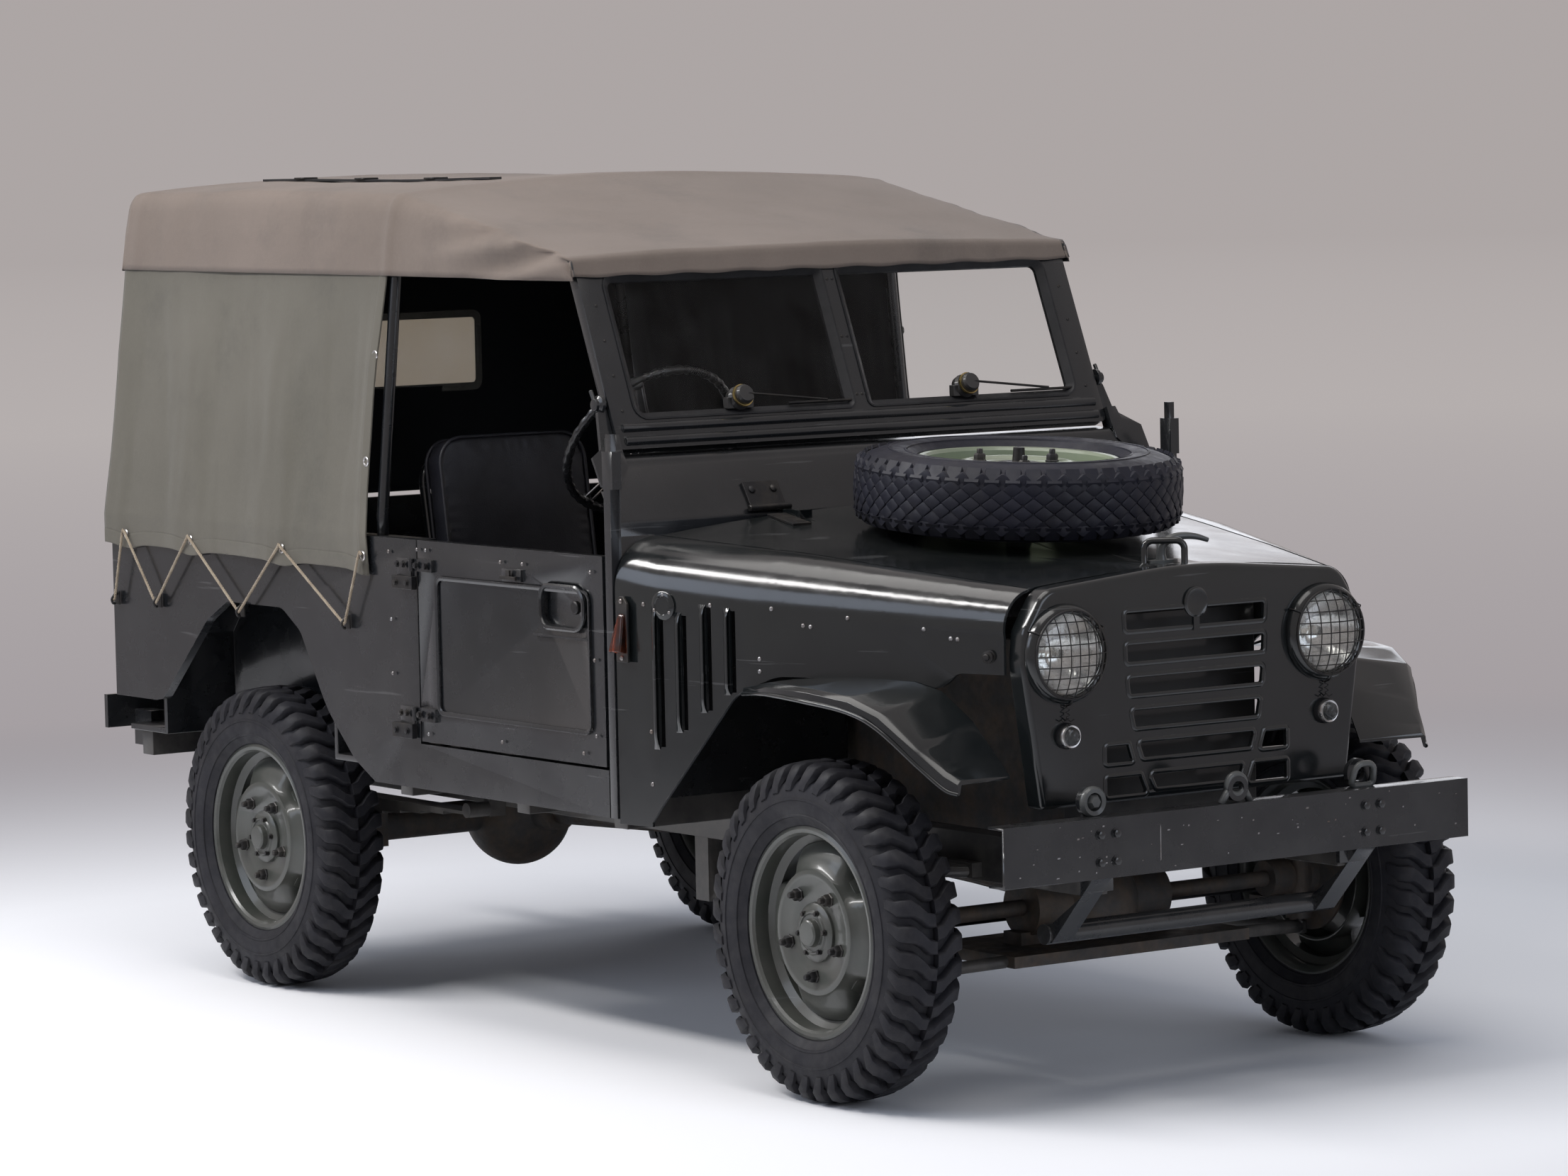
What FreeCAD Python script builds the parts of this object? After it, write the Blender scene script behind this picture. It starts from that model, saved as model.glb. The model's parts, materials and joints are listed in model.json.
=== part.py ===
"""Light army 4x4 car with a canvas top, right-hand drive.

Millimetres. +X forward, +Y left, +Z up. The origin is on the ground, under the middle of the
car. Driving dimensions are cells of the sheet; each piece is one object of the document.
"""
import FreeCAD
import Part
import math
import os

import Sketcher
from FreeCAD import Placement, Rotation, Vector

doc = FreeCAD.newDocument("light_army_car")

# ---------------------------------------------------------------- driving dimensions
# alias, value in mm (or degrees), what it sets
DIMENSIONS = [
    ("front_axle_x", 1253, "front axle ahead of the origin"),
    ("wheel_base", 2200, "front axle to rear axle"),
    ("track_half", 650, "tyre centre from the middle"),
    ("wheel_radius", 348, "tyre outside radius, to the lug tips"),
    ("tyre_half", 84, "half of the tyre's section width"),
    ("rim_radius", 220, "rim flange radius"),
    ("rim_half", 64, "half of the rim's width over its flanges"),
    ("pivot_half", 575, "steering pivot from the middle"),
    ("spindle_radius", 18, "wheel spindle radius"),
    ("running_gap", 0.05, "radial clearance of a wheel on its spindle"),
    ("body_half", 760, "outside of the tub from the middle"),
    ("wall", 22, "thickness of doors and tub walls"),
    ("sheet_gauge", 6, "thickness of the bonnet and wing panels"),
    ("sill_z", 530, "underside of the sills"),
    ("floor_z", 562, "underside of the floor"),
    ("rail_z", 1080, "top of the tub and doors"),
    ("tub_rear_x", -1528, "back of the tub"),
    ("door_rear_x", -138, "rear edge of the door"),
    ("door_front_x", 603, "front edge of the door"),
    ("door_low_z", 636, "bottom edge of the door"),
    ("cowl_x", 620, "firewall"),
    ("nose_x", 1620, "front face of the grille shell"),
    ("nose_half", 442, "half width of the grille shell"),
    ("bumper_x", 1760, "front face of the bumper"),
    ("bumper_half", 605, "half length of the bumper"),
    ("bumper_low", 473, "bumper underside"),
    ("bumper_high", 594, "bumper top"),
    ("bumper_deep", 50, "bumper channel depth"),
    ("bumper_gauge", 5, "bumper plate thickness"),
    ("rail_half", 330, "chassis rail from the middle"),
    ("rail_low", 432, "chassis rail underside"),
    ("rail_high", 528, "chassis rail top"),
    ("rail_wide", 58, "chassis rail width"),
    ("screen_x", 505, "foot of the windscreen"),
    ("screen_z", 1286, "foot of the windscreen"),
    ("screen_rake", 22.6, "lean of the windscreen, degrees"),
    ("screen_half", 655, "half width of the windscreen frame"),
    ("screen_rise", 436, "windscreen height along its lean"),
    ("hoop_x", -330, "middle hoop"),
    ("hoop_rear_x", -1488, "rear hoop"),
    ("tube_radius", 13, "hoop tube radius"),
    ("roof_z", 1876, "roof crown"),
    ("cloth", 5, "thickness of the canvas"),
    ("engine_long", 620, "engine block length"),
    ("engine_wide", 330, "engine block width"),
    ("engine_tall", 430, "engine block height"),
    ("radiator_deep", 60, "radiator core depth"),
    ("radiator_wide", 460, "radiator core width"),
    ("radiator_tall", 430, "radiator core height"),
    ("hitch_x", -1760, "rear end of the towing hook"),
]

sheet = doc.addObject("Spreadsheet::Sheet", "Dimensions")
for row, (alias, value, meaning) in enumerate(DIMENSIONS, start=1):
    sheet.set("A%d" % row, meaning)
    sheet.set("B%d" % row, str(value))
    sheet.setAlias("B%d" % row, alias)
doc.recompute()


def dim(alias):
    """Value of one cell of the sheet."""
    return float(sheet.get(alias))


# ---------------------------------------------------------------- helpers
pieces = []
Y_AXIS = Vector(0, 1, 0)
Z_AXIS = Vector(0, 0, 1)
X_AXIS = Vector(1, 0, 0)


def keep(thing, label):
    """Name a finished piece, and list it for export."""
    thing.Label = label
    pieces.append(thing)
    return thing


def piece(label, solids):
    """A piece whose shape is made with Part's own functions."""
    thing = doc.addObject("Part::Feature", label)
    shape = solids[0]
    if len(solids) > 1:
        shape = solids[0].multiFuse(solids[1:])
    thing.Shape = shape.removeSplitter()
    thing.Placement = Placement()
    return keep(thing, label)


def loose(label, solids):
    """A piece made of like solids that don't touch."""
    thing = doc.addObject("Part::Feature", label)
    thing.Shape = Part.makeCompound([one for solid in solids for one in solid.Solids])
    thing.Placement = Placement()
    return keep(thing, label)


def fused(solids):
    """One solid from several that overlap."""
    return solids[0].multiFuse(solids[1:]).removeSplitter()


def mirrored(shape):
    """The same shape on the other side of the car."""
    return shape.mirror(Vector(0, 0, 0), Y_AXIS)


def both(shape):
    """A shape on the right, and its mirror image on the left."""
    return [shape, mirrored(shape)]


def block(x_range, y_range, z_range):
    """Box between three pairs of limits."""
    low = Vector(x_range[0], y_range[0], z_range[0])
    return Part.makeBox(x_range[1] - x_range[0], y_range[1] - y_range[0], z_range[1] - z_range[0], low)


def rod(start, end, radius):
    """Round bar between two points."""
    first = Vector(*start)
    along = Vector(*end) - first
    return Part.makeCylinder(radius, along.Length, first, along)


def rounded_edges(corners, place):
    """Closed outline with a radius at each corner. corners: (a, b, radius)."""
    count = len(corners)
    spans = []
    for index in range(count):
        before = corners[index - 1]
        here = corners[index]
        after = corners[(index + 1) % count]
        into = FreeCAD.Vector(here[0] - before[0], here[1] - before[1], 0).normalize()
        out = FreeCAD.Vector(after[0] - here[0], after[1] - here[1], 0).normalize()
        point = FreeCAD.Vector(here[0], here[1], 0)
        turn = into.getAngle(out)
        if here[2] <= 0 or turn < 0.01:
            spans.append((point, None, point))
            continue
        reach = here[2] * math.tan(turn / 2)
        start = point - into * reach
        end = point + out * reach
        inward = (out - into).normalize()
        middle = point + inward * (here[2] / math.cos(turn / 2) - here[2])
        spans.append((start, middle, end))
    edges = []
    for index in range(count):
        start, middle, end = spans[index]
        if middle is not None:
            edges.append(Part.Arc(place(start), place(middle), place(end)).toShape())
        following = spans[(index + 1) % count][0]
        if end.distanceToPoint(following) > 0.001:
            edges.append(Part.LineSegment(place(end), place(following)).toShape())
    return Part.Wire(edges)


def side_plate(corners, near, far):
    """Plate drawn in side view, (x, z, radius), between two values of y."""
    wire = rounded_edges(corners, lambda spot: Vector(spot.x, near, spot.y))
    return Part.Face(wire).extrude(Vector(0, far - near, 0))


def front_plate(corners, rear, front):
    """Plate drawn in front view, (y, z, radius), between two values of x."""
    wire = rounded_edges(corners, lambda spot: Vector(rear, spot.x, spot.y))
    return Part.Face(wire).extrude(Vector(front - rear, 0, 0))


def tube(route, radius, bend):
    """Bar along straight runs joined by tangent arcs of one bend radius."""
    points = [Vector(*spot) for spot in route]
    edges = []
    last = points[0]
    for index in range(1, len(points) - 1):
        into = (points[index] - points[index - 1]).normalize()
        out = (points[index + 1] - points[index]).normalize()
        turn = into.getAngle(out)
        reach = bend * math.tan(turn / 2)
        start = points[index] - into * reach
        end = points[index] + out * reach
        middle = points[index] + (out - into).normalize() * (bend / math.cos(turn / 2) - bend)
        if start.distanceToPoint(last) > 0.001:
            edges.append(Part.LineSegment(last, start).toShape())
        edges.append(Part.Arc(start, middle, end).toShape())
        last = end
    edges.append(Part.LineSegment(last, points[-1]).toShape())
    path = Part.Wire(edges)
    ring = Part.Wire(Part.makeCircle(radius, points[0], (points[1] - points[0])))
    return path.makePipeShell([ring], True, False)


def turned(profile, centre, axis_out):
    """Solid of revolution from (radius, along) points about an axis through centre."""
    spots = [Vector(radius, 0, along) for radius, along in profile]
    face = Part.Face(Part.makePolygon(spots + [spots[0]]))
    solid = face.revolve(Vector(0, 0, 0), Z_AXIS, 360)
    solid.Placement = Placement(Vector(*centre), Rotation(Z_AXIS, Vector(*axis_out)))
    return solid


def sketch_body(label, rows, plane_role, axis_role):
    """Body revolved from a sketch. rows: (radius expression, height expression)."""
    body = doc.addObject("PartDesign::Body", label)
    origin = {part.Role: part for part in body.Origin.OriginFeatures}
    sketch = body.newObject("Sketcher::SketchObject", label + "_profile")
    sketch.AttachmentSupport = [(origin[plane_role], "")]
    sketch.MapMode = "FlatFace"
    values = [[sheet_value(across), sheet_value(along)] for across, along in rows]
    count = len(rows)
    for index in range(count):
        start = Vector(values[index][0], values[index][1], 0)
        end = Vector(values[(index + 1) % count][0], values[(index + 1) % count][1], 0)
        sketch.addGeometry(Part.LineSegment(start, end), False)
    for index in range(count):
        sketch.addConstraint(Sketcher.Constraint("Coincident", index, 2, (index + 1) % count, 1))
    for index, (across, along) in enumerate(rows):
        for kind, expression, value in (("DistanceX", across, values[index][0]),
                                        ("DistanceY", along, values[index][1])):
            number = sketch.addConstraint(Sketcher.Constraint(kind, index, 1, value))
            sketch.setExpression("Constraints[%d]" % number, bound(expression))
    turn = body.newObject("PartDesign::Revolution", label + "_turn")
    turn.Profile = sketch
    turn.ReferenceAxis = (origin[axis_role], [""])
    turn.Angle = 360
    body.Tip = turn
    return body, origin, turn


def bound(expression):
    """Expression text with each alias written as a cell of the sheet."""
    words = expression.replace("+", " + ").replace("-", " - ").replace("*", " * ").split()
    names = {alias for alias, value, meaning in DIMENSIONS}
    return " ".join("Dimensions." + word if word in names else word for word in words)


def sheet_value(expression):
    """Number that an expression of aliases, + and - comes to."""
    words = expression.replace("+", " + ").replace("-", " - ").split()
    total, sign = 0.0, 1.0
    for word in words:
        if word == "+":
            sign = 1.0
        elif word == "-":
            sign = -1.0
        else:
            total += sign * (dim(word) if word[0].isalpha() else float(word))
    return total


def parametric_box(label, sizes, place):
    """Part::Box whose sizes and place are bound to the sheet."""
    thing = doc.addObject("Part::Box", label)
    for name, expression in zip(("Length", "Width", "Height"), sizes):
        thing.setExpression(name, bound(expression))
    for name, expression in zip(("x", "y", "z"), place):
        thing.setExpression("Placement.Base." + name, bound(expression))
    return thing


# ---------------------------------------------------------------- short names for places
AXLE_F = dim("front_axle_x")
AXLE_R = AXLE_F - dim("wheel_base")
AXLE_Z = dim("wheel_radius")
TRACK = dim("track_half")
PIVOT = dim("pivot_half")
SIDE = dim("body_half")
WALL = dim("wall")
GAUGE = dim("sheet_gauge")
SILL = dim("sill_z")
FLOOR = dim("floor_z")
RAIL = dim("rail_z")
TAIL = dim("tub_rear_x")
COWL = dim("cowl_x")
NOSE = dim("nose_x")
FRAME_Y = dim("rail_half")
FRAME_LOW = dim("rail_low")
FRAME_HIGH = dim("rail_high")
DOOR_GAP = 6
CLOTH = dim("cloth")

# ---------------------------------------------------------------- wheels and tyres
# where each wheel stands: name, x, side (+1 left, -1 right)
WHEELS = [
    ("front_right", AXLE_F, -1),
    ("front_left", AXLE_F, 1),
    ("rear_right", AXLE_R, -1),
    ("rear_left", AXLE_R, 1),
]
BARREL = 203
SPARE_TILT = 3.5
SPARE_X = 1040
SPARE_Z = 1201

# half of the tyre's section, outer skin then inner skin: radius, from the middle
LUG_SECTORS = 40
SPARE_SECTORS = 30
CAVITY_SECTORS = 16
# half of a road tyre, from its middle outward: y, radius in a groove, radius on a lug
LUGGED_HALF = [
    (4, 336, 348),
    (50, 335, 347),
    (84, 290, 290),
    (57, 221.6, 221.6),
]
PLAIN_HALF = [
    (4, 345, 345),
    (50, 344, 344),
    (84, 300, 300),
    (57, 221.8, 221.8),
]
# cavity of the tyre, from one bead round to the other: y, radius
CAVITY = [(57, 207.4), (40, 207.4), (62, 258), (36, 322), (-36, 322), (-62, 258), (-40, 207.4), (-57, 207.4)]


def on_circle(radius, along, index, sectors):
    """Corner of a many-sided ring about the wheel's axis, with a flat side lowest."""
    angle = math.pi * (2 * index + 1) / sectors
    reach = radius / math.cos(math.pi / sectors)
    return Vector(reach * math.sin(angle), along, -reach * math.cos(angle))


def flat_face(spots):
    """Plane face with these corners."""
    return Part.Face(Part.makePolygon(list(spots) + [spots[0]]))


def band(near, far, index, sectors):
    """Flat face between two rings, each given as y and radius."""
    return flat_face([on_circle(near[1], near[0], index, sectors), on_circle(near[1], near[0], index + 1, sectors),
                      on_circle(far[1], far[0], index + 1, sectors), on_circle(far[1], far[0], index, sectors)])


def tyre_shape(half, sectors):
    """Many-sided hollow tyre; the lugs of its two halves alternate, with a narrow groove between them."""
    faces = []
    lugs = half[0][2] > half[0][1]
    middle = [(-half[0][0], half[0][1]), (half[0][0], half[0][1])]
    for index in range(sectors):
        faces.append(band(*middle, index, sectors))
        for side in (-1, 1):
            on_lug = (index + (side > 0)) % 2
            strip = [(side * along, top if on_lug else groove) for along, groove, top in half]
            for near, far in zip(strip, strip[1:]):
                faces.append(band(near, far, index, sectors))
            if lugs:
                low, high = (side * half[0][0], half[0][1]), (side * half[0][0], half[0][2])
                if on_lug:
                    faces.append(band(low, high, index, sectors))
                tops = [(side * along, top) for along, groove, top in half[:3]]
                grooves = [(side * along, groove) for along, groove, top in half[:2]]
                faces.append(flat_face([on_circle(radius, along, index, sectors)
                                        for along, radius in tops + grooves[::-1]]))
    for side in (-1, 1):
        rings = [Part.Face(Part.makePolygon([on_circle(radius, side * 57, index, count) for index in range(count + 1)]))
                 for radius, count in ((half[-1][1], sectors), (CAVITY[0][1], CAVITY_SECTORS))]
        faces += rings[0].cut(rings[1]).Faces
    for near, far in zip(CAVITY, CAVITY[1:]):
        faces += [band(near, far, index, CAVITY_SECTORS) for index in range(CAVITY_SECTORS)]
    shell = Part.makeShell(faces)
    shell.sewShape()
    solid = Part.makeSolid(shell)
    if solid.Volume < 0:
        solid.reverse()
    return solid


ROAD_TYRE = tyre_shape(LUGGED_HALF, LUG_SECTORS)
SPARE_TYRE = tyre_shape(PLAIN_HALF, SPARE_SECTORS)


def tyre(label, shape, place):
    """A copy of a tyre, put on its wheel."""
    copy = shape.copy()
    copy.Placement = place
    return piece(label, [copy])


# wheel section: rim barrel with flanges, then the dished disc and hub; radius, outward
WHEEL_ROWS = [
    ("203", "0 - rim_half + 6"),
    ("203", "rim_half - 6"),
    ("rim_radius", "rim_half - 5"),
    ("rim_radius", "rim_half"),
    ("198", "rim_half"),
    ("197", "30"),
    ("150", "36"),
    ("112", "52"),
    ("70", "52"),
    ("62", "40"),
    ("46", "40"),
    ("46", "62"),
    ("30", "72"),
    ("0", "72"),
    ("0", "42"),
    ("spindle_radius + running_gap", "42"),
    ("spindle_radius + running_gap", "0 - 40"),
    ("40", "0 - 40"),
    ("40", "24"),
    ("108", "32"),
    ("146", "24"),
    ("197", "18"),
    ("197", "0 - rim_half"),
    ("rim_radius", "0 - rim_half"),
    ("rim_radius", "0 - rim_half + 5"),
]


# the brake drum takes the place of these points behind the disc
PLAIN_BACK = [("40", "24"), ("108", "32"), ("146", "24")]
DRUM_BACK = [("40", "6"), ("138", "6"), ("138", "0 - 42"), ("146", "0 - 42"), ("146", "24")]


def wheel(label, place, drum):
    """Steel wheel, with its brake drum on the road wheels, and four openings beside the rim."""
    rows = list(WHEEL_ROWS)
    if drum:
        start = rows.index(PLAIN_BACK[0])
        rows[start:start + len(PLAIN_BACK)] = DRUM_BACK
    body, origin, turn = sketch_body(label, rows, "XY_Plane", "Y_Axis")
    doc.recompute()
    window = body.newObject("Sketcher::SketchObject", label + "_window")
    window.AttachmentSupport = [(origin["XZ_Plane"], "")]
    window.MapMode = "FlatFace"
    low, high, half = 160.0, 188.0, 46.0
    spots = [Vector(-half, low, 0), Vector(half, low, 0), Vector(half - 8, high, 0), Vector(8 - half, high, 0)]
    for index in range(4):
        window.addGeometry(Part.LineSegment(spots[index], spots[(index + 1) % 4]), False)
    cut = body.newObject("PartDesign::Pocket", label + "_opening")
    cut.Profile = window
    cut.Type = "ThroughAll"
    cut.Midplane = True
    ring = body.newObject("PartDesign::PolarPattern", label + "_openings")
    ring.Originals = [cut]
    ring.Axis = (origin["Y_Axis"], [""])
    ring.Angle = 360
    ring.Occurrences = 4
    body.Tip = ring
    body.Placement = place
    return keep(body, label)


for name, wheel_x, side in WHEELS:
    facing = Rotation(Z_AXIS, 0 if side > 0 else 180)
    spot = Placement(Vector(wheel_x, side * TRACK, AXLE_Z), facing)
    wheel("wheel_" + name, spot, True)
    tyre("tyre_" + name, ROAD_TYRE, spot)

LYING = Rotation(Y_AXIS, SPARE_TILT).multiply(Rotation(X_AXIS, 90))
SPARE_SPOT = Placement(Vector(SPARE_X, 0, SPARE_Z), LYING)
wheel("spare_wheel", SPARE_SPOT, False)
tyre("spare_tyre", SPARE_TYRE, SPARE_SPOT)


# ---------------------------------------------------------------- chassis
def chassis():
    """Two box rails, cross members and body outriggers."""
    half = dim("rail_wide") / 2
    rail = block((-1500, 1700), (-FRAME_Y - half, -FRAME_Y + half), (FRAME_LOW, FRAME_HIGH))
    solids = both(rail)
    # cross member: x of its rear face, depth, bottom z, top z
    for rear, deep, low, high in ((-1500, 60, 440, FRAME_HIGH), (-620, 70, 440, FRAME_HIGH),
                                  (-60, 80, 440, FRAME_HIGH), (840, 50, 436, 472),
                                  (1440, 60, 470, FRAME_HIGH), (1660, 40, 480, FRAME_HIGH)):
        solids.append(block((rear, rear + deep), (-FRAME_Y, FRAME_Y), (low, high)))
    # outriggers under the tub
    for rear in (-1480, -300, 180, 560):
        solids += both(block((rear, rear + 50), (-SIDE + 40, -FRAME_Y), (FLOOR - 60, FLOOR - 1)))
    return fused(solids)


piece("chassis_frame", [chassis()])


LOWER_PLATE = (250, 274)
PLATE_HALF = FRAME_Y - 20


def front_suspension():
    """Final drive with its half shafts, on a cross plate and an upper bearer."""
    solids = [Part.makeSphere(105, Vector(AXLE_F, 0, AXLE_Z)),
              rod((AXLE_F, -175, AXLE_Z), (AXLE_F, 175, AXLE_Z), 62),
              rod((AXLE_F, -536, AXLE_Z), (AXLE_F, 536, AXLE_Z), 17),
              block((AXLE_F - 60, AXLE_F + 60), (-FRAME_Y + 29.5, FRAME_Y - 29.5), (AXLE_Z + 70, AXLE_Z + 110)),
              block((AXLE_F - 150, AXLE_F + 150), (-PLATE_HALF, PLATE_HALF), LOWER_PLATE),
              block((AXLE_F - 30, AXLE_F + 30), (-200, 200), (262, 300))]
    solids += both(rod((AXLE_F, 478, AXLE_Z), (AXLE_F, 536, AXLE_Z), 38))
    return fused(solids)


def wishbone(side, spread, inner_y, inner_z, outer_z, pin):
    """Forked arm that ends in an eye, with half of the steering pivot's pin in it."""
    pivot = side * PIVOT
    solids = [rod((AXLE_F + end, side * inner_y, inner_z), (AXLE_F, pivot, outer_z), 13) for end in (-spread, spread)]
    solids.append(rod((AXLE_F, pivot, outer_z - 13), (AXLE_F, pivot, outer_z + 13), 15))
    solids.append(rod((AXLE_F, pivot, pin[0]), (AXLE_F, pivot, pin[1]), 10))
    return solids


def wishbones():
    """Lower arms on the cross plate, upper arms on a bracket outside each rail."""
    shapes = []
    for side in (-1, 1):
        lower = fused(wishbone(side, 120, 300, 262, 236, (236, 300)))
        shapes.append(lower.cut(block((AXLE_F - 200, AXLE_F + 200), (-PLATE_HALF, PLATE_HALF), (200, 320))))
        foot = block((AXLE_F - 110, AXLE_F + 110), sorted((side * 359.2, side * 384)), (440, 470))
        shapes.append(fused(wishbone(side, 90, 376, 452, 460, (400, 460)) + [foot]))
    return shapes


def torsion_bar():
    """Bar from the lower arm back to its anchor under the rail, left side."""
    bar = rod((AXLE_F - 120, 300, 262), (300, 300, 300), 13)
    bar = bar.cut(block((AXLE_F - 150, AXLE_F), (200, 400), (200, 320)))
    return fused([bar, block((280, 330), (275, 325), (285, FRAME_LOW - 0.2))])


piece("front_suspension", [front_suspension()])
loose("wishbones", wishbones())
loose("torsion_bars", both(torsion_bar()))


def knuckle(side):
    """Upright on its pivot, with the spindle, brake plate and steering arm."""
    pivot = side * PIVOT
    axle = Vector(AXLE_F, pivot, AXLE_Z)
    solids = [rod((AXLE_F, pivot, 256), (AXLE_F, pivot, 440), 30),
              rod((AXLE_F, pivot, AXLE_Z), (AXLE_F, side * (TRACK - 48), AXLE_Z), 44),
              rod((AXLE_F, side * (TRACK - 54), AXLE_Z), (AXLE_F, side * (TRACK - 48), AXLE_Z), 120),
              rod((AXLE_F, side * (TRACK - 60), AXLE_Z), (AXLE_F, side * (TRACK + 38), AXLE_Z),
                  dim("spindle_radius")),
              block((AXLE_F - 150, AXLE_F), (pivot - 14, pivot + 14), (270, 292))]
    solid = fused(solids)
    for low, high in ((250, 302), (398, 445)):
        solid = solid.cut(rod((AXLE_F, pivot, low), (AXLE_F, pivot, high), 10.06))
    return solid


piece("knuckle_right", [knuckle(-1)])
piece("knuckle_left", [knuckle(1)])

ARM_TIP = AXLE_F - 136
piece("tie_rod", [rod((ARM_TIP, -PIVOT, 312), (ARM_TIP, PIVOT, 312), 11),
                  rod((ARM_TIP, -PIVOT, 299), (ARM_TIP, -PIVOT, 325), 14),
                  rod((ARM_TIP, PIVOT, 299), (ARM_TIP, PIVOT, 325), 14)])


def rear_axle():
    """Rigid axle: final drive, tubes, brake plates and spindles."""
    solids = [Part.makeSphere(128, Vector(AXLE_R, 0, AXLE_Z)),
              rod((AXLE_R, -(TRACK - 48), AXLE_Z), (AXLE_R, TRACK - 48, AXLE_Z), 38),
              rod((AXLE_R, 0, AXLE_Z), (AXLE_R + 190, 0, AXLE_Z + 12), 42)]
    for side in (-1, 1):
        solids.append(rod((AXLE_R, side * (TRACK - 54), AXLE_Z), (AXLE_R, side * (TRACK - 48), AXLE_Z), 150))
        solids.append(rod((AXLE_R, side * (TRACK - 60), AXLE_Z), (AXLE_R, side * (TRACK + 38), AXLE_Z),
                          dim("spindle_radius")))
        solids.append(block((AXLE_R - 60, AXLE_R + 60), (side * 430 - 30, side * 430 + 30),
                            (AXLE_Z - 44, AXLE_Z + 44)))
    return fused(solids)


piece("rear_axle", [rear_axle()])


def leaf_spring():
    """Five leaves above the axle, with eyes and shackles."""
    low = AXLE_Z + 44
    solids = []
    for index, half in enumerate((500, 400, 300, 210, 130)):
        drop = 7 * index
        solids.append(block((AXLE_R - half, AXLE_R + half), (-458, -402), (low + 28 - drop, low + 35.5 - drop)))
    for end in (-500, 500):
        solids.append(rod((AXLE_R + end, -458, low + 38), (AXLE_R + end, -402, low + 38), 17))
        solids.append(block((AXLE_R + end - 12, AXLE_R + end + 12), (-402, -FRAME_Y - 29.5), (low + 20, low + 110)))
        solids.append(rod((AXLE_R + end, -404, low + 38), (AXLE_R + end, -380, low + 38), 10))
    return fused(solids)


loose("rear_springs", both(leaf_spring()))


TRANSFER_CASE = ((180, 400), (-60, 190), (320, 470))


def driveline():
    """Clutch housing, gearbox and transfer case on their bearer."""
    return fused([block((470, 800), (-120, 120), (474, 720)),
                  block((240, 480), (-110, 130), (400, 640)),
                  block(*TRANSFER_CASE),
                  block((280, 330), (-FRAME_Y + 29.5, FRAME_Y - 29.5), (490, 520))])


def propeller_shafts():
    """Shafts from the transfer case to the front and rear final drives."""
    boxes = driveline()
    return [rod((390, 70, 380), (AXLE_F - 108, 10, AXLE_Z), 24).cut(boxes),
            rod((190, 70, 390), (AXLE_R + 194, 0, AXLE_Z + 12), 27).cut(boxes)]


piece("driveline", [driveline()])
loose("propeller_shafts", propeller_shafts())

engine = parametric_box("engine_block", ("engine_long", "engine_wide", "engine_tall"),
                        ("801", "0 - 165", "475"))
keep(engine, "engine_block")
radiator = parametric_box("radiator", ("radiator_deep", "radiator_wide", "radiator_tall"),
                          ("nose_x - 150", "0 - 230", "rail_high + 12"))
keep(radiator, "radiator")

piece("exhaust", [tube(((802, 192, 560), (740, 217, 368), (-160, 217, 368)), 22, 60),
                  rod((-600, 217, 368), (-150, 217, 368), 60),
                  tube(((-590, 217, 368), (-830, 217, 468), (-1200, 217, 468), (-1380, 217, 395),
                        (-1590, 217, 395)), 20, 70)])


# ---------------------------------------------------------------- bumpers and hitch
RING_Z = 622


def front_bumper():
    """Channel bumper with its stays, cross tube and rings."""
    low, high = dim("bumper_low"), dim("bumper_high")
    half, front = dim("bumper_half"), dim("bumper_x")
    deep, plate = dim("bumper_deep"), dim("bumper_gauge")
    channel = block((front - deep, front), (-half, half), (low, high))
    hollow = block((front - deep - 1, front - plate), (-half - 1, half + 1), (low + plate, high - plate))
    solids = [channel.cut(hollow)]
    for side in (-1, 1):
        solids.append(side_plate(((1745, 476, 0), (1700.4, 476, 0), (1700.4, 431, 0), (1568, 345, 8),
                                  (1555, 330, 8), (1605, 330, 8)), side * 345 - 25, side * 345 + 25))
        solids.append(block((1700.2, 1712), (side * FRAME_Y - 34, side * FRAME_Y + 34), (440, 594)))
        solids.append(rod((1700.2, side * 349, RING_Z), (1712.2, side * 349, RING_Z), 30))
    solids.append(rod((1585, -375, 346), (1585, 375, 346), 21))
    solids.append(rod((1732, 0, RING_Z), (1748, 0, RING_Z), 26))
    solid = fused(solids)
    for side in (-1, 1):
        solid = solid.cut(rod((1690, side * 349, RING_Z), (1720, side * 349, RING_Z), 17))
    return solid.cut(rod((1720, 0, RING_Z), (1760, 0, RING_Z), 15))


piece("front_bumper", [front_bumper()])


def rear_bumpers():
    """Corner bumperettes, and the towing hook on its plate."""
    solids = []
    for side in (-1, 1):
        solids.append(block((-1600, -1585), (side * 660 - 95, side * 660 + 95), (560, 640)))
        solids.append(block((-1590, -1507), (side * 660 - 20, side * 660 + 20), (515, 600)))
        solids.append(block((-1510, -1480.2), (side * 660 - 20, side * 660 + 20), (515, 556)))
    plate = block((-1516, -1500), (-150, 150), (432, 528))
    shank = rod((-1516, 0, 480), (-1650, 0, 480), 20)
    hook = fused([block((-1760, -1740), (-24, 24), (470, 570)), block((-1750, -1640), (-24, 24), (462, 490)),
                  block((-1680, -1650), (-20, 20), (462, 530))])
    return fused(solids[0:3]), fused(solids[3:6]), fused([plate, shank, hook])


loose("rear_bumpers", list(rear_bumpers()))


# ---------------------------------------------------------------- tub
# arch over the rear wheel in side view: x, z, corner radius
REAR_ARCH = [(-1330, SILL - 60, 0), (-1330, 646, 0), (-1300, 650, 30), (-1080, 850, 120), (-985, 898, 60),
             (-735, 898, 60), (-655, 850, 60), (-545, 680, 300), (-430, 575, 150), (-341, 530, 0),
             (-341, SILL - 60, 0)]


# door hinges: bottom z and top z of each leaf
HINGE_LEAVES = [(682, 711), (1012, 1039)]


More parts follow.
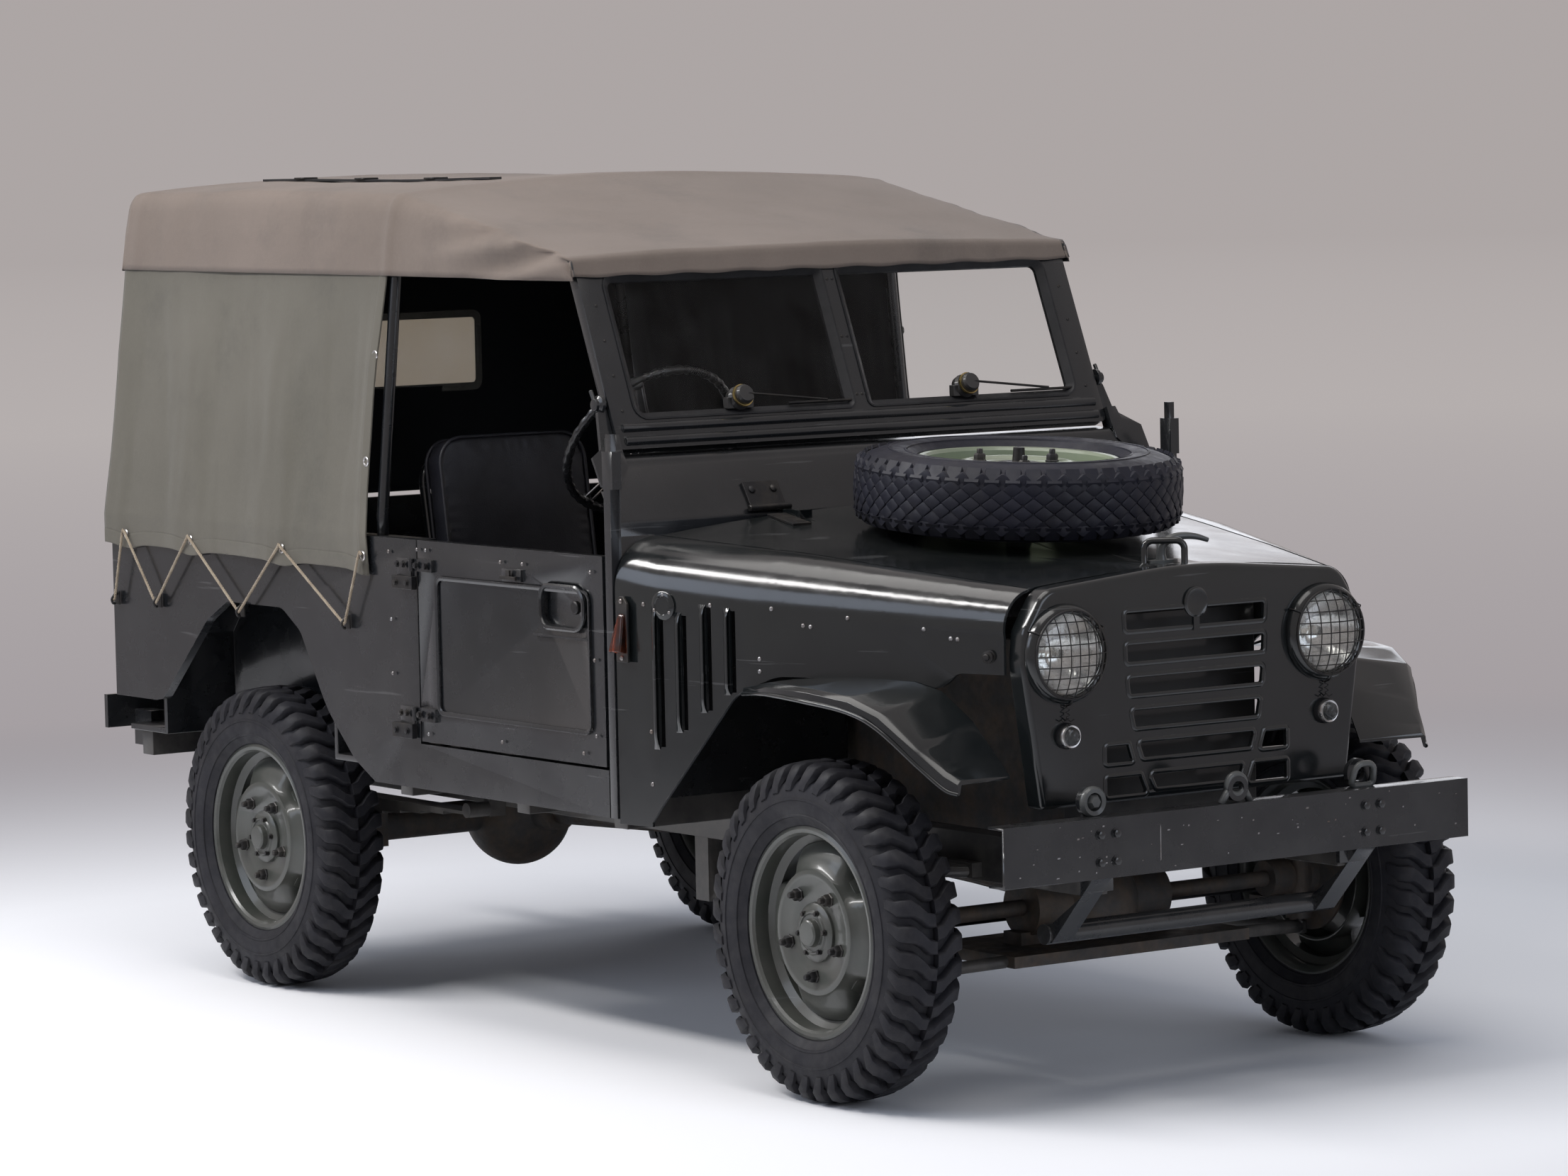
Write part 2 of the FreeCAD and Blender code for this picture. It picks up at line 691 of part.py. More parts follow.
def tub_side():
    """Rear quarter, rear corner and sill of the right side, with the wheel arch cut."""
    outer, inner = -SIDE, -SIDE + WALL
    door_rear, door_low = dim("door_rear_x") - DOOR_GAP, dim("door_low_z") - DOOR_GAP
    quarter = block((TAIL, door_rear), (outer, inner), (SILL, RAIL))
    sill = block((door_rear - 1, COWL - 15), (outer, inner), (SILL, door_low))
    corner = block((TAIL, TAIL + WALL), (outer, -520), (645, RAIL))
    rail = block((TAIL, door_rear), (outer, outer + 55), (RAIL - 14, RAIL))
    solid = fused([quarter, sill, corner, rail])
    solid = solid.cut(side_plate(REAR_ARCH, outer - 5, inner + 300))
    for low, high in HINGE_LEAVES:
        solid = solid.fuse(block((-216, -158), (outer - 6, outer + 1), (low - 38, high)))
    tail_cut = block((TAIL - 5, -1320), (outer - 5, 0), (SILL - 5, 645))
    return solid.cut(tail_cut)


loose("tub_sides", both(tub_side()))


def tub_floor():
    """Floor pan with its tunnel, wheel boxes and seat boxes."""
    inner = SIDE - WALL - 1
    gauge = 14
    pan = block((TAIL + WALL + 1, COWL - 16), (-inner, inner), (FLOOR, FLOOR + gauge))
    # tunnel over gearbox and transfer case
    tunnel = block((150, COWL - 16), (-190, 215), (FLOOR, 760))
    tunnel_inside = block((164, COWL), (-176, 201), (FLOOR - 1, 746))
    solids = [pan, tunnel]
    house = side_plate(((-1340, FLOOR, 0), (-1340, 800, 0), (-1240, 915, 0), (-640, 915, 0), (-540, 800, 0),
                        (-540, FLOOR, 0)), -inner, -535)
    house_inside = side_plate(((-1326, FLOOR - 1, 0), (-1326, 795, 0), (-1234, 901, 0), (-646, 901, 0),
                               (-554, 795, 0), (-554, FLOOR - 1, 0)), -inner - 1, -549)
    solids += both(house)
    seat_box = block((-240, 200), (-600, -210), (FLOOR + gauge - 1, 760))
    solids += both(seat_box)
    solid = fused(solids).cut(tunnel_inside)
    for hollow in both(house_inside):
        solid = solid.cut(hollow)
    return solid


piece("tub_floor", [tub_floor()])


def door(side):
    """Hollow-fronted door panel with its handle cup, strap hinges and catch."""
    outer, inner = -SIDE, -SIDE + WALL
    rear, front, low = dim("door_rear_x"), dim("door_front_x"), dim("door_low_z")
    panel = block((rear, front - DOOR_GAP), (outer, inner), (low, RAIL))
    panel = panel.cut(block((-58, 545), (outer - 1, outer + 2.5), (705, 1000)))
    cup = side_plate(((362, 922, 30), (362, 1006, 30), (527, 1006, 34), (527, 922, 34)), outer - 1, outer + 14)
    panel = panel.cut(cup)
    solids = [panel]
    for leaf_low, leaf_high in HINGE_LEAVES:
        solids.append(block((-142, -69), (outer - 8, outer + 1), (leaf_low, leaf_high)))
        solids.append(rod((-146, outer - 12, leaf_low), (-146, outer - 12, leaf_high), 6))
    # catch below the rail, and the push button in the cup
    solids.append(block((216, 290), (outer - 7, outer + 1), (1010, 1036)))
    solids.append(rod((490, outer + 15, 966), (490, outer + 3, 966), 10))
    solid = fused(solids)
    return mirrored(solid) if side > 0 else solid


piece("door_right", [door(-1)])
piece("door_left", [door(1)])


def tailgate():
    """Drop-down tailboard with two pressed ribs."""
    panel = block((TAIL, TAIL + WALL), (-514, 514), (664, RAIL))
    ribs = [block((TAIL - 4, TAIL + 1), (-430, 430), (low, low + 30)) for low in (760, 940)]
    return fused([panel] + ribs)


piece("tailgate", [tailgate()])

# ---------------------------------------------------------------- front body
# bonnet sections: x, side half width, lid edge half width, lid edge z, shoulder z, crown z
SECTIONS = [
    (COWL + 17, 756, 638, 1119, 1018, 1156),
    (760, 736, 601, 1110, 1008, 1130),
    (1000, 668, 533, 1094, 990, 1107),
    (1300, 560, 461, 1067, 965, 1081),
    (NOSE - 46, 454, 387, 1040, 947, 1063),
]


def arc_edge(start, middle, end):
    """Arc through three points."""
    return Part.Arc(start, middle, end).toShape()


def line_edge(start, end):
    """Straight edge."""
    return Part.LineSegment(start, end).toShape()


def shoulder_section(station, low):
    """Closed section of the right bonnet side at one station."""
    along, wide, edge, edge_z, shoulder, crown = station

    def skin(inset):
        side, top = wide - inset, edge_z - inset
        start = Vector(along, -(edge + DOOR_GAP / 2), top)
        end = Vector(along, -side, shoulder)
        bulge_y = -(edge + (side - edge) * 0.74)
        bulge_z = shoulder + (top - shoulder) * 0.70
        return start, Vector(along, bulge_y, bulge_z), end

    a_start, a_middle, a_end = skin(0)
    b_start, b_middle, b_end = skin(GAUGE)
    foot_out = Vector(along, -wide, low)
    foot_in = Vector(along, -wide + GAUGE, low)
    return Part.Wire([arc_edge(a_start, a_middle, a_end), line_edge(a_end, foot_out),
                      line_edge(foot_out, foot_in), line_edge(foot_in, b_end),
                      arc_edge(b_end, b_middle, b_start), line_edge(b_start, a_start)])


# lower edge of the bonnet side in side view, cut away below: x, z, radius
SIDE_EDGE = [(735, 400, 0), (735, SILL, 0), (960, 806, 90), (1060, 850, 120), (1300, 850, 300), (1440, 836, 60),
             (1470, 872, 30), (1700, 872, 0), (1700, 400, 0)]
# louvres: x, bottom z, top z
LOUVRES = [(762, 690, 980), (822, 728, 966), (886, 772, 985), (948, 812, 980)]


def bonnet_side():
    """Right side panel of the bonnet with its shoulder, cut over the wing, with louvre slots."""
    solid = Part.makeLoft([shoulder_section(station, 520) for station in SECTIONS], True, True)
    solid = solid.cut(side_plate(SIDE_EDGE, -900, 0))
    for along, low, high in LOUVRES:
        solid = solid.cut(block((along, along + 15), (-900, -500), (low, high)))
    return solid


loose("bonnet_sides", both(bonnet_side()))


def lid_section(station):
    """Closed crowned section of the bonnet lid at one station."""
    along, wide, edge, edge_z, shoulder, crown = station
    half = edge - DOOR_GAP / 2
    low = edge_z - GAUGE
    left, right = Vector(along, half, edge_z), Vector(along, -half, edge_z)
    top = Vector(along, 0, crown)
    under_left, under_right = Vector(along, half, low), Vector(along, -half, low)
    under_top = Vector(along, 0, crown - GAUGE)
    return Part.Wire([arc_edge(right, top, left), line_edge(left, under_left),
                      arc_edge(under_left, under_top, under_right), line_edge(under_right, right)])


def bonnet_lid():
    """Crowned lid with its rear hinge straps, handle and spare wheel seat."""
    lid = Part.makeLoft([lid_section(station) for station in SECTIONS], True, True)
    lid = lid.cut(block((NOSE - 52, NOSE), (-700, 700), (900, 1300)))
    handle = tube(((1505, -38, 1060), (1505, -38, 1112), (1552, 30, 1112), (1552, 30, 1058)), 7, 18)
    seat = rod((SPARE_X, 0, 1095), (SPARE_X, 0, SPARE_Z - 41.6), 26)
    solids = [lid, handle, seat]
    for side in (-1, 1):
        solids.append(block((COWL + 8, 690), (side * 300 - 16, side * 300 + 16), (1138, 1156)))
    return fused(solids)


piece("bonnet_lid", [bonnet_lid()])


# grille openings: half width at the top, half width at the bottom, bottom z, top z
GRILLE_ROWS = [
    (182, 180, 945, 982),
    (180, 178, 880, 917),
    (176, 172, 815, 850),
    (168, 160, 748, 784),
    (152, 140, 685, 718),
    (122, 108, 622, 652),
]
# small side openings: inner y at top, inner y at bottom, outer y, bottom z, top z
GRILLE_CORNERS = [(178, 166, 236, 680, 716), (148, 132, 236, 614, 652)]


RIM_ROUND = 12


def grille_shell():
    """Pressed front panel with its rim, slots and lamp holes."""
    half = dim("nose_half")
    outline = [(-half, 890, 200), (-half + 6, 960, 60), (-385, 1040, 60), (0, 1074, 1400), (385, 1040, 60),
               (half - 6, 960, 60), (half, 890, 200), (400, 600, 10), (-400, 600, 10)]
    inside = [(y_value * (half - 7) / half, z_value - (7 if z_value > 900 else -7) * (1 if z_value != 890 else 0),
               max(radius - 7, 0)) for y_value, z_value, radius in outline]
    shell = front_plate(outline, NOSE - 45, NOSE)
    rim = [edge for edge in shell.Edges if edge.BoundBox.XMin > NOSE - 0.01 and edge.BoundBox.ZMax > 600.5]
    shell = shell.makeFillet(RIM_ROUND, rim)
    shell = shell.cut(front_plate(inside, NOSE - 46, NOSE - 8))
    shell = shell.cut(block((NOSE - 46, NOSE - 8), (-390, 390), (590, 620)))
    for top_half, low_half, low, high in GRILLE_ROWS:
        slot = [(-low_half, low, 6), (-top_half, high, 6), (top_half, high, 6), (low_half, low, 6)]
        shell = shell.cut(front_plate(slot, NOSE - 20, NOSE + 5))
    for top_inner, low_inner, outer, low, high in GRILLE_CORNERS:
        for side in (-1, 1):
            slot = [(side * low_inner, low, 5), (side * top_inner, high, 5), (side * outer, high, 5),
                    (side * outer, low, 5)]
            shell = shell.cut(front_plate(slot, NOSE - 20, NOSE + 5))
    for side in (-1, 1):
        shell = shell.cut(rod((NOSE - 20, side * 338, 909), (NOSE + 5, side * 338, 909), 88))
    return shell


piece("grille_shell", [grille_shell()])

# wing stations: inner x, y, z, outer x, y, z, lip height
WING = [
    (985, 673, 822, 1010, 696, 826, 14),
    (1110, 630, 848, 1140, 728, 848, 26),
    (1253, 578, 855, 1290, 738, 848, 30),
    (1380, 532, 852, 1410, 722, 836, 32),
    (1440, 509, 836, 1480, 700, 808, 34),
    (1505, 482, 778, 1550, 655, 738, 36),
    (1560, 466, 712, 1600, 628, 694, 36),
    (1592, 458, 672, 1624, 612, 678, 30),
]


def wing():
    """Right front wing: flat top that drops to the bumper, with a turned-down lip."""
    wires = []
    for in_x, in_y, in_z, out_x, out_y, out_z, lip in WING:
        inner = Vector(in_x, -in_y, in_z)
        outer = Vector(out_x, -out_y, out_z)
        across = Vector(outer.x - inner.x, outer.y - inner.y, 0).normalize()
        down = Vector(0, 0, -lip)
        under = Vector(0, 0, -GAUGE)
        spots = [inner, outer - across * 10, outer + Vector(0, 0, -9), outer + down,
                 outer + down - across * GAUGE, outer - across * (GAUGE + 6) + under - Vector(0, 0, 4),
                 inner + under]
        wires.append(Part.makePolygon(spots + [spots[0]]))
    solid = Part.makeLoft(wires, True, True)
    return solid


loose("front_wings", both(wing()))


def leaned(shape):
    """Shape drawn upright at the origin, leaned back and set on the windscreen's foot."""
    place = Placement(Vector(dim("screen_x"), 0, dim("screen_z")), Rotation(Y_AXIS, -dim("screen_rake")))
    result = shape.copy()
    result.Placement = place
    return result


STEER_HUB = Vector(170, -350, 1290)
STEER_LEAN = 52
COLUMN_DIR = Vector(math.sin(math.radians(STEER_LEAN)), 0, -math.cos(math.radians(STEER_LEAN)))


def cowl():
    """Firewall, scuttle, dash and door posts."""
    wall = front_plate(((-735, FLOOR - 1, 0), (-735, 1010, 0), (-640, 1112, 60), (0, 1158, 3000), (640, 1112, 60),
                        (735, 1010, 0), (735, FLOOR - 1, 0)), COWL - 14, COWL - 2)
    wall = wall.cut(block((COWL - 20, COWL + 5), (-150, 160), (FLOOR - 5, 730)))
    half = dim("screen_half") - 2
    broad = 733
    scuttle = side_plate(((COWL - 14, 1096, 0), (COWL - 2, 1096, 0), (COWL - 6, 1150, 20), (532, 1278, 20),
                          (478, 1283, 0), (478, 1268, 0), (524, 1264, 10), (COWL - 20, 1150, 20)), -broad, broad)
    dash = block((478, 492), (-half, half), (1080, 1280))
    solids = [wall, scuttle, dash]
    for side in (-1, 1):
        # the scuttle's upper corner is cut off aslant
        corner = front_plate(((side * (half + 2), 1300, 0), (side * (half + 2), 1272, 0), (side * 700, 1213, 0),
                              (side * 740, 1213, 0), (side * 740, 1300, 0)), 400, COWL)
        solids[1] = solids[1].cut(corner)
        cheek = side_plate(((478, 1080, 0), (478, 1283, 0), (530, 1278, 20), (COWL - 6, 1150, 20),
                            (COWL - 4, 1080, 0)), side * half, side * (half - 12))
        outside = sorted((side * 735, side * SIDE))
        post = block((COWL - 11, COWL + 14), outside, (SILL, 1222))
        socket = block((COWL - 15, COWL + 23), sorted((side * 737, side * SIDE)), (1221, 1300))
        lug = block((COWL - 6, COWL + 12), sorted((side * 742, side * 756)), (1299, 1336))
        web = block((COWL - 15, COWL - 2), sorted((side * 640, side * 736)), (1005, 1120))
        brace = front_plate(((side * 738, 1222, 0), (side * 738, 1290, 0), (side * 676, 1330, 0),
                             (side * 657, 1300, 0), (side * 657, 1262, 0), (side * 700, 1206, 0)), 0, 6)
        brace.Placement = Placement(Vector(565, 0, 1222), Rotation(Y_AXIS, -30)).multiply(
            Placement(Vector(0, 0, -1222), Rotation()))
        ear = leaned(front_plate(((side * 656.5, -20, 6), (side * 656.5, 101, 6), (side * 679, 101, 12),
                                  (side * 700, -20, 6)), -5, 5))
        foot = leaned(front_plate(((side * 656.5, -14, 0), (side * 656.5, 34, 0), (side * 681, 34, 0),
                                   (side * 694, -14, 0)), -5, 26))
        solids += [cheek, post, socket, lug, web, brace, ear, foot]
    column_hole = rod(tuple(STEER_HUB), tuple(STEER_HUB + COLUMN_DIR * 620), 23)
    return fused(solids).cut(column_hole)


piece("cowl", [cowl()])


# ---------------------------------------------------------------- windscreen
SCREEN_OPENING = (22, 590, 74, 398)


def screen_frame():
    """Frame of two panes with its lower rails and hinge knobs."""
    half, rise = dim("screen_half"), dim("screen_rise")
    frame = front_plate(((-half, 4, 14), (-half, rise, 40), (half, rise, 40), (half, 4, 14)), -14, 14)
    inner, outer, low, high = SCREEN_OPENING
    for side in (-1, 1):
        pane = front_plate(((side * inner, low, 8), (side * inner, high, 8), (side * outer, high, 26),
                            (side * outer, low, 26)), -20, 20)
        frame = frame.cut(pane)
    solids = [frame]
    for height in (22, 52):
        solids.append(rod((10, -half + 20, height), (10, half - 20, height), 11))
    for side in (-1, 1):
        solids.append(rod((0, side * half, 112), (0, side * (half + 18), 112), 9))
    return leaned(fused(solids))


piece("windscreen_frame", [screen_frame()])


def screen_glass():
    """Two flat panes."""
    inner, outer, low, high = SCREEN_OPENING
    panes = []
    for side in (-1, 1):
        pane = front_plate(((side * (inner + 0.5), low + 0.5, 8), (side * (inner + 0.5), high - 0.5, 8),
                            (side * (outer - 0.5), high - 0.5, 26), (side * (outer - 0.5), low + 0.5, 26)), -3, 3)
        panes.append(leaned(pane))
    return panes


loose("windscreen_glass", screen_glass())


# ---------------------------------------------------------------- inside
def seat_pads():
    """Cushion and back of both front seats, and the two side benches behind."""
    pads = []
    for side in (-1, 1):
        cushion = block((-215, 215), (side * 405 - 195, side * 405 + 195), (764, 856))
        back = block((-45, 45), (side * 405 - 200, side * 405 + 200), (0, 430))
        back.Placement = Placement(Vector(-268, 0, 868), Rotation(Y_AXIS, -9))
        bench = block((-1290, -590), (min(side * 545, side * 732), max(side * 545, side * 732)), (918, 970))
        pads += [cushion, back, bench]
    return [pad.makeFillet(22, pad.Edges) for pad in pads]


loose("seat_pads", seat_pads())


def seat_frames():
    """Tubular frames behind the front seats' backs, stood on the floor."""
    frames = []
    for side in (-1, 1):
        inner, outer = side * 405 - 175, side * 405 + 175
        frames.append(tube(((-332, inner, FLOOR + 14.2), (-332, inner, 850), (-406, inner, 1240),
                            (-406, outer, 1240), (-332, outer, 850), (-332, outer, FLOOR + 14.2)), 11, 60))
    return frames


loose("seat_frames", seat_frames())



def steering_wheel():
    """Thin rim with three spokes."""
    rim = Part.makeTorus(198, 9, Vector(0, 0, 0), Z_AXIS)
    hub = rod((0, 0, -18), (0, 0, 14), 30)
    solids = [rim, hub]
    for angle in (90, 210, 330):
        reach = Vector(math.cos(math.radians(angle)) * 196, math.sin(math.radians(angle)) * 196, 0)
        solids.append(rod((0, 0, -4), tuple(reach), 6))
    solid = fused(solids)
    solid = solid.cut(rod((0, 0, -30), (0, 0, 2), 11.05))
    solid.Placement = Placement(STEER_HUB, Rotation(Z_AXIS, COLUMN_DIR * -1))
    return solid


piece("steering_wheel", [steering_wheel()])


def steering_column():
    """Column tube from the wheel to the steering box on the frame, with the shaft end."""
    shaft_top = STEER_HUB
    sleeve_top = STEER_HUB + COLUMN_DIR * 26
    foot = STEER_HUB + COLUMN_DIR * 590
    return fused([rod(tuple(shaft_top), tuple(foot), 11),
                  rod(tuple(sleeve_top), tuple(foot), 22)])


piece("steering_column", [steering_column()])


# ---------------------------------------------------------------- canvas top
# canopy outline stations: x, side half width at the hem, hem z, shoulder half width, shoulder z,
# top half width, top z, crown z
CANOPY = [
    (-1536, 706, 1660, 690, 1770, 610, 1846, 1868),
    (-1000, 706, 1658, 692, 1772, 612, 1850, 1876),
    (dim("hoop_x"), 704, 1656, 690, 1768, 610, 1842, 1872),
    (344, 670, 1650, 668, 1678, 642, 1701, 1712),
]


def canopy_section(station, inset):
    """Points of the canvas skin at one station, from the right hem to the left hem."""
    along, hem, hem_z, shoulder, shoulder_z, top, top_z, crown = station
    bend_y = (shoulder + top) / 2 + (shoulder - top) * 0.24
    bend_z = (shoulder_z + top_z) / 2 + (top_z - shoulder_z) * 0.24
    lower = inset
    return [Vector(along, -hem + lower, hem_z), Vector(along, -shoulder + lower, shoulder_z - lower * 0.3),
            Vector(along, -bend_y + lower * 0.8, bend_z - lower * 0.8),
            Vector(along, -top + lower * 0.3, top_z - lower), Vector(along, 0, crown - lower),
            Vector(along, top - lower * 0.3, top_z - lower),
            Vector(along, bend_y - lower * 0.8, bend_z - lower * 0.8),
            Vector(along, shoulder - lower, shoulder_z - lower * 0.3), Vector(along, hem - lower, hem_z)]


def skin_wire(outer, inner):
    """Closed wire from the outer and inner skin points."""
    edges = [line_edge(outer[0], outer[1]), arc_edge(outer[1], outer[2], outer[3]),
             arc_edge(outer[3], outer[4], outer[5]), arc_edge(outer[5], outer[6], outer[7]),
             line_edge(outer[7], outer[8]), line_edge(outer[8], inner[8]), line_edge(inner[8], inner[7]),
             arc_edge(inner[7], inner[6], inner[5]), arc_edge(inner[5], inner[4], inner[3]),
             arc_edge(inner[3], inner[2], inner[1]), line_edge(inner[1], inner[0]), line_edge(inner[0], outer[0])]
    return Part.Wire(edges)


def canopy_top():
    """Canvas roof with its side valances and rear face."""
    wires = [skin_wire(canopy_section(station, 0), canopy_section(station, CLOTH)) for station in CANOPY]
    roof = Part.makeLoft(wires, True, True)
    outer = canopy_section(CANOPY[0], 0)
    rear = Part.Wire([line_edge(outer[0], outer[1]), arc_edge(outer[1], outer[2], outer[3]),
                      arc_edge(outer[3], outer[4], outer[5]), arc_edge(outer[5], outer[6], outer[7]),
                      line_edge(outer[7], outer[8]), line_edge(outer[8], outer[0])])
    panel = Part.Face(rear).extrude(Vector(CLOTH, 0, 0))
    return fused([roof, panel])


piece("canopy_top", [canopy_top()])


def side_curtain():
    """Right side curtain, from under the valance to below the tub rail."""
    rear, front = -1530.5, dim("hoop_x") + 8
    # hem, tub rail and top edge: y of the outer face, z
    hem, rail, top = (-SIDE - 6, 1008), (-SIDE - 6, RAIL + 8), (-702, 1654)
    spots = [Vector(rear, *top), Vector(rear, *rail), Vector(rear, *hem), Vector(rear, hem[0] + CLOTH, hem[1]),
             Vector(rear, rail[0] + CLOTH, rail[1]), Vector(rear, top[0] + CLOTH, top[1])]
    face = Part.Face(Part.makePolygon(spots + [spots[0]]))
    return face.extrude(Vector(front - rear, 0, 0))


loose("side_curtains", both(side_curtain()))


def rear_curtain():
    """Rear curtain with its clear window, hung above the tailgate."""
    panel = front_plate(((-758, RAIL + 8, 0), (-702, 1656, 0), (702, 1656, 0), (758, RAIL + 8, 0)),
                        -1536, -1536 + CLOTH)
    hole = front_plate(((-300, 1330, 25), (-300, 1530, 25), (300, 1530, 25), (300, 1330, 25)), -1540, -1525)
    window = front_plate(((-300, 1330, 25), (-300, 1530, 25), (300, 1530, 25), (300, 1330, 25)), -1535, -1533)
    return panel, hole, window


curtain, curtain_hole, curtain_window = rear_curtain()
piece("rear_curtain", [curtain.cut(curtain_hole)])
piece("rear_window", [curtain_window])


def canopy_frame():
    """Two hoops and the rails that carry the canvas."""
    radius = dim("tube_radius")
    solids = []
    for along in (dim("hoop_x"), dim("hoop_rear_x")):
        solids.append(tube(((along, -730, RAIL + 0.3), (along, -730, RAIL + 40), (along, -676, 1680),
                            (along, -664, 1817), (along, 0, 1838), (along, 664, 1817), (along, 676, 1680),
                            (along, 730, RAIL + 40), (along, 730, RAIL + 0.3)), radius, 80))
    for side in (-1, 1):
        solids.append(rod((dim("hoop_rear_x"), side * 560, 1818), (dim("hoop_x"), side * 560, 1818), 10))
        solids.append(rod((dim("hoop_x"), side * 560, 1818), (312, side * 590, 1668), 10))
    return fused(solids)


piece("canopy_frame", [canopy_frame()])


# ---------------------------------------------------------------- lamps
def lamps():
    """Headlamps with their guards, side lamps, turn lamps and tail lamps."""
    solids = []
    for side in (-1, 1):
        centre = side * 338
        bowl = turned(((0, -90), (50, -80), (84, -20), (84, 6), (97, 6), (97, 20), (80, 30), (0, 30)),
                      (NOSE, centre, 909), (1, 0, 0))
        solids.append(bowl)
        solids.append(turned(((0, -6), (24, -6), (24, 14), (16, 26), (0, 30)), (NOSE + 0.2 + 6, side * 337, 745),
                             (1, 0, 0)))
        turn_low, turn_high = 880, 975
        wedge = side_plate(((640, turn_low, 6), (640, turn_low + 30, 6), (662, turn_high, 6), (690, turn_high, 6),
                            (690, turn_low, 6)), side * 757.4, side * 790)
        solids.append(wedge)
        solids.append(rod((TAIL - 30, side * 640, 900), (TAIL - 0.2, side * 640, 900), 38))
    return solids


loose("lamps", lamps())


# ---------------------------------------------------------------- lacing
# knots of the right lacing, from the rear forward: x, z; hem eyelets above, body hooks below
LACING = [(-1495, 880), (-1430, 1040), (-1290, 884), (-1120, 1040), (-900, 884), (-700, 1040), (-430, 884), (-345, 1040)]


def lacing():
    """Rope that zigzags between the curtain's eyelets and the tub's hooks."""
    route = []
    for along, height in LACING:
        out = SIDE + 17 if height > 1000 else SIDE + 12
        route.append((along, -out, height))
    rope = tube(route, 3.5, 9)
    solids = [rope]
    for along, height in LACING:
        if height < 1000:
            solids.append(rod((along, -SIDE - 16, height), (along, -SIDE - 0.1, height), 5))
    return fused(solids)


loose("lacing", both(lacing()))

# ---------------------------------------------------------------- check and write
doc.recompute()
for thing in doc.Objects:
    if "Invalid" in thing.State or "Error" in thing.State:
        raise RuntimeError("failed: " + thing.Label)
os.makedirs("parts", exist_ok=True)
faults = []
for thing in pieces:
    if thing.Shape.isNull() or not thing.Shape.isValid() or thing.Shape.Volume <= 0:
        faults.append(thing.Label)
        continue
    thing.Shape.exportStep("parts/%s.step" % thing.Label)
    size = thing.Shape.BoundBox
    print("%-18s %3d %9.0f cm3 x %6.0f %6.0f y %6.0f %6.0f z %6.0f %6.0f" % (
        thing.Label, len(thing.Shape.Solids), thing.Shape.Volume / 1000, size.XMin, size.XMax,
        size.YMin, size.YMax, size.ZMin, size.ZMax))
if faults:
    raise RuntimeError("bad shapes: " + ", ".join(faults))
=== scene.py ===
# %% [markdown]
# # Dressing a light 4x4 field car
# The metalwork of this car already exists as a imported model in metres: +X is forward, +Y is the
# car's left, and the ground is at z = 0. This lesson gives that model its look. It rolls the edges
# of the pressed panels, laces a canvas top over the hoops, stuffs the seats, and puts on the
# screws, lugs and lamps that a plain model lacks.

# %% Load the frame
import json
import math
import random

import bmesh
import bpy
from mathutils import Matrix, Vector, noise
from mathutils.bvhtree import BVHTree
from mathutils.kdtree import KDTree

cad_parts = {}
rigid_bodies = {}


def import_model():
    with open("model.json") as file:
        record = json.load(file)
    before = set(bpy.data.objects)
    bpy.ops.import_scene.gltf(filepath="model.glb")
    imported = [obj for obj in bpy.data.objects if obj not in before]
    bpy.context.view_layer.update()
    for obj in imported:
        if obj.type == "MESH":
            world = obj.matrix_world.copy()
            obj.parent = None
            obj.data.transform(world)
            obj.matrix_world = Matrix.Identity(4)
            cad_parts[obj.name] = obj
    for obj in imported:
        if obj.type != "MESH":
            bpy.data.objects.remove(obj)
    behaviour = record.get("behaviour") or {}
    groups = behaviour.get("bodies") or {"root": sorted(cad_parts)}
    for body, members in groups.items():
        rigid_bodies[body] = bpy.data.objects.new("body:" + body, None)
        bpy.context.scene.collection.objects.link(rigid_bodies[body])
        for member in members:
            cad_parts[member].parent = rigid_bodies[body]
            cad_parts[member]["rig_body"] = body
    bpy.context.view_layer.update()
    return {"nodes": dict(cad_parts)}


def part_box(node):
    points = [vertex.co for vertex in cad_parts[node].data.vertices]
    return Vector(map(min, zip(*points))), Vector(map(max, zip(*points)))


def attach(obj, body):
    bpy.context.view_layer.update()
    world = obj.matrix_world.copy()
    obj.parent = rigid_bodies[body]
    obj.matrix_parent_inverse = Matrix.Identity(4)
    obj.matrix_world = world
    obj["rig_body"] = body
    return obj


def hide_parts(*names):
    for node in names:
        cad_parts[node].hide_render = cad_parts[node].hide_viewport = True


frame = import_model()

# %% [markdown]
# ## The camera
# A long lens from far off keeps the car's sides nearly parallel, as in a studio portrait. The
# camera is placed from a yaw, a pitch and a small roll, because a Track To constraint can't
# hold a roll.

# %% Camera
CAMERA_SPOT = Vector((10.670, -7.399, 1.974))
YAW, PITCH, ROLL = (math.radians(angle) for angle in (144.809, -4.592, -1.226))
look = Vector((math.cos(PITCH) * math.cos(YAW), math.cos(PITCH) * math.sin(YAW), math.sin(PITCH)))
level_right = look.cross(Vector((0, 0, 1))).normalized()
level_up = level_right.cross(look)
camera_right = math.cos(ROLL) * level_right + math.sin(ROLL) * level_up
camera_up = math.cos(ROLL) * level_up - math.sin(ROLL) * level_right
camera = bpy.data.objects.new("camera", bpy.data.cameras.new("camera"))
bpy.context.scene.collection.objects.link(camera)
camera.data.sensor_width = 36
camera.data.lens = 132.73
camera.data.clip_end = 200
turned_camera = Matrix((camera_right, camera_up, -look)).transposed().to_4x4()
camera.matrix_world = Matrix.Translation(CAMERA_SPOT) @ turned_camera
bpy.context.scene.camera = camera
bpy.context.scene.view_settings.view_transform = "Standard"

# %% [markdown]
# ## Finishes
# Each finish is one node material. Real paint is never one colour: it fades in patches, gathers
# dust on top and mud below, and rubs through at its edges. All of these are masks made from noise
# on Object coordinates, so the pattern stays on the piece from every side. A small class keeps the
# node wiring short.


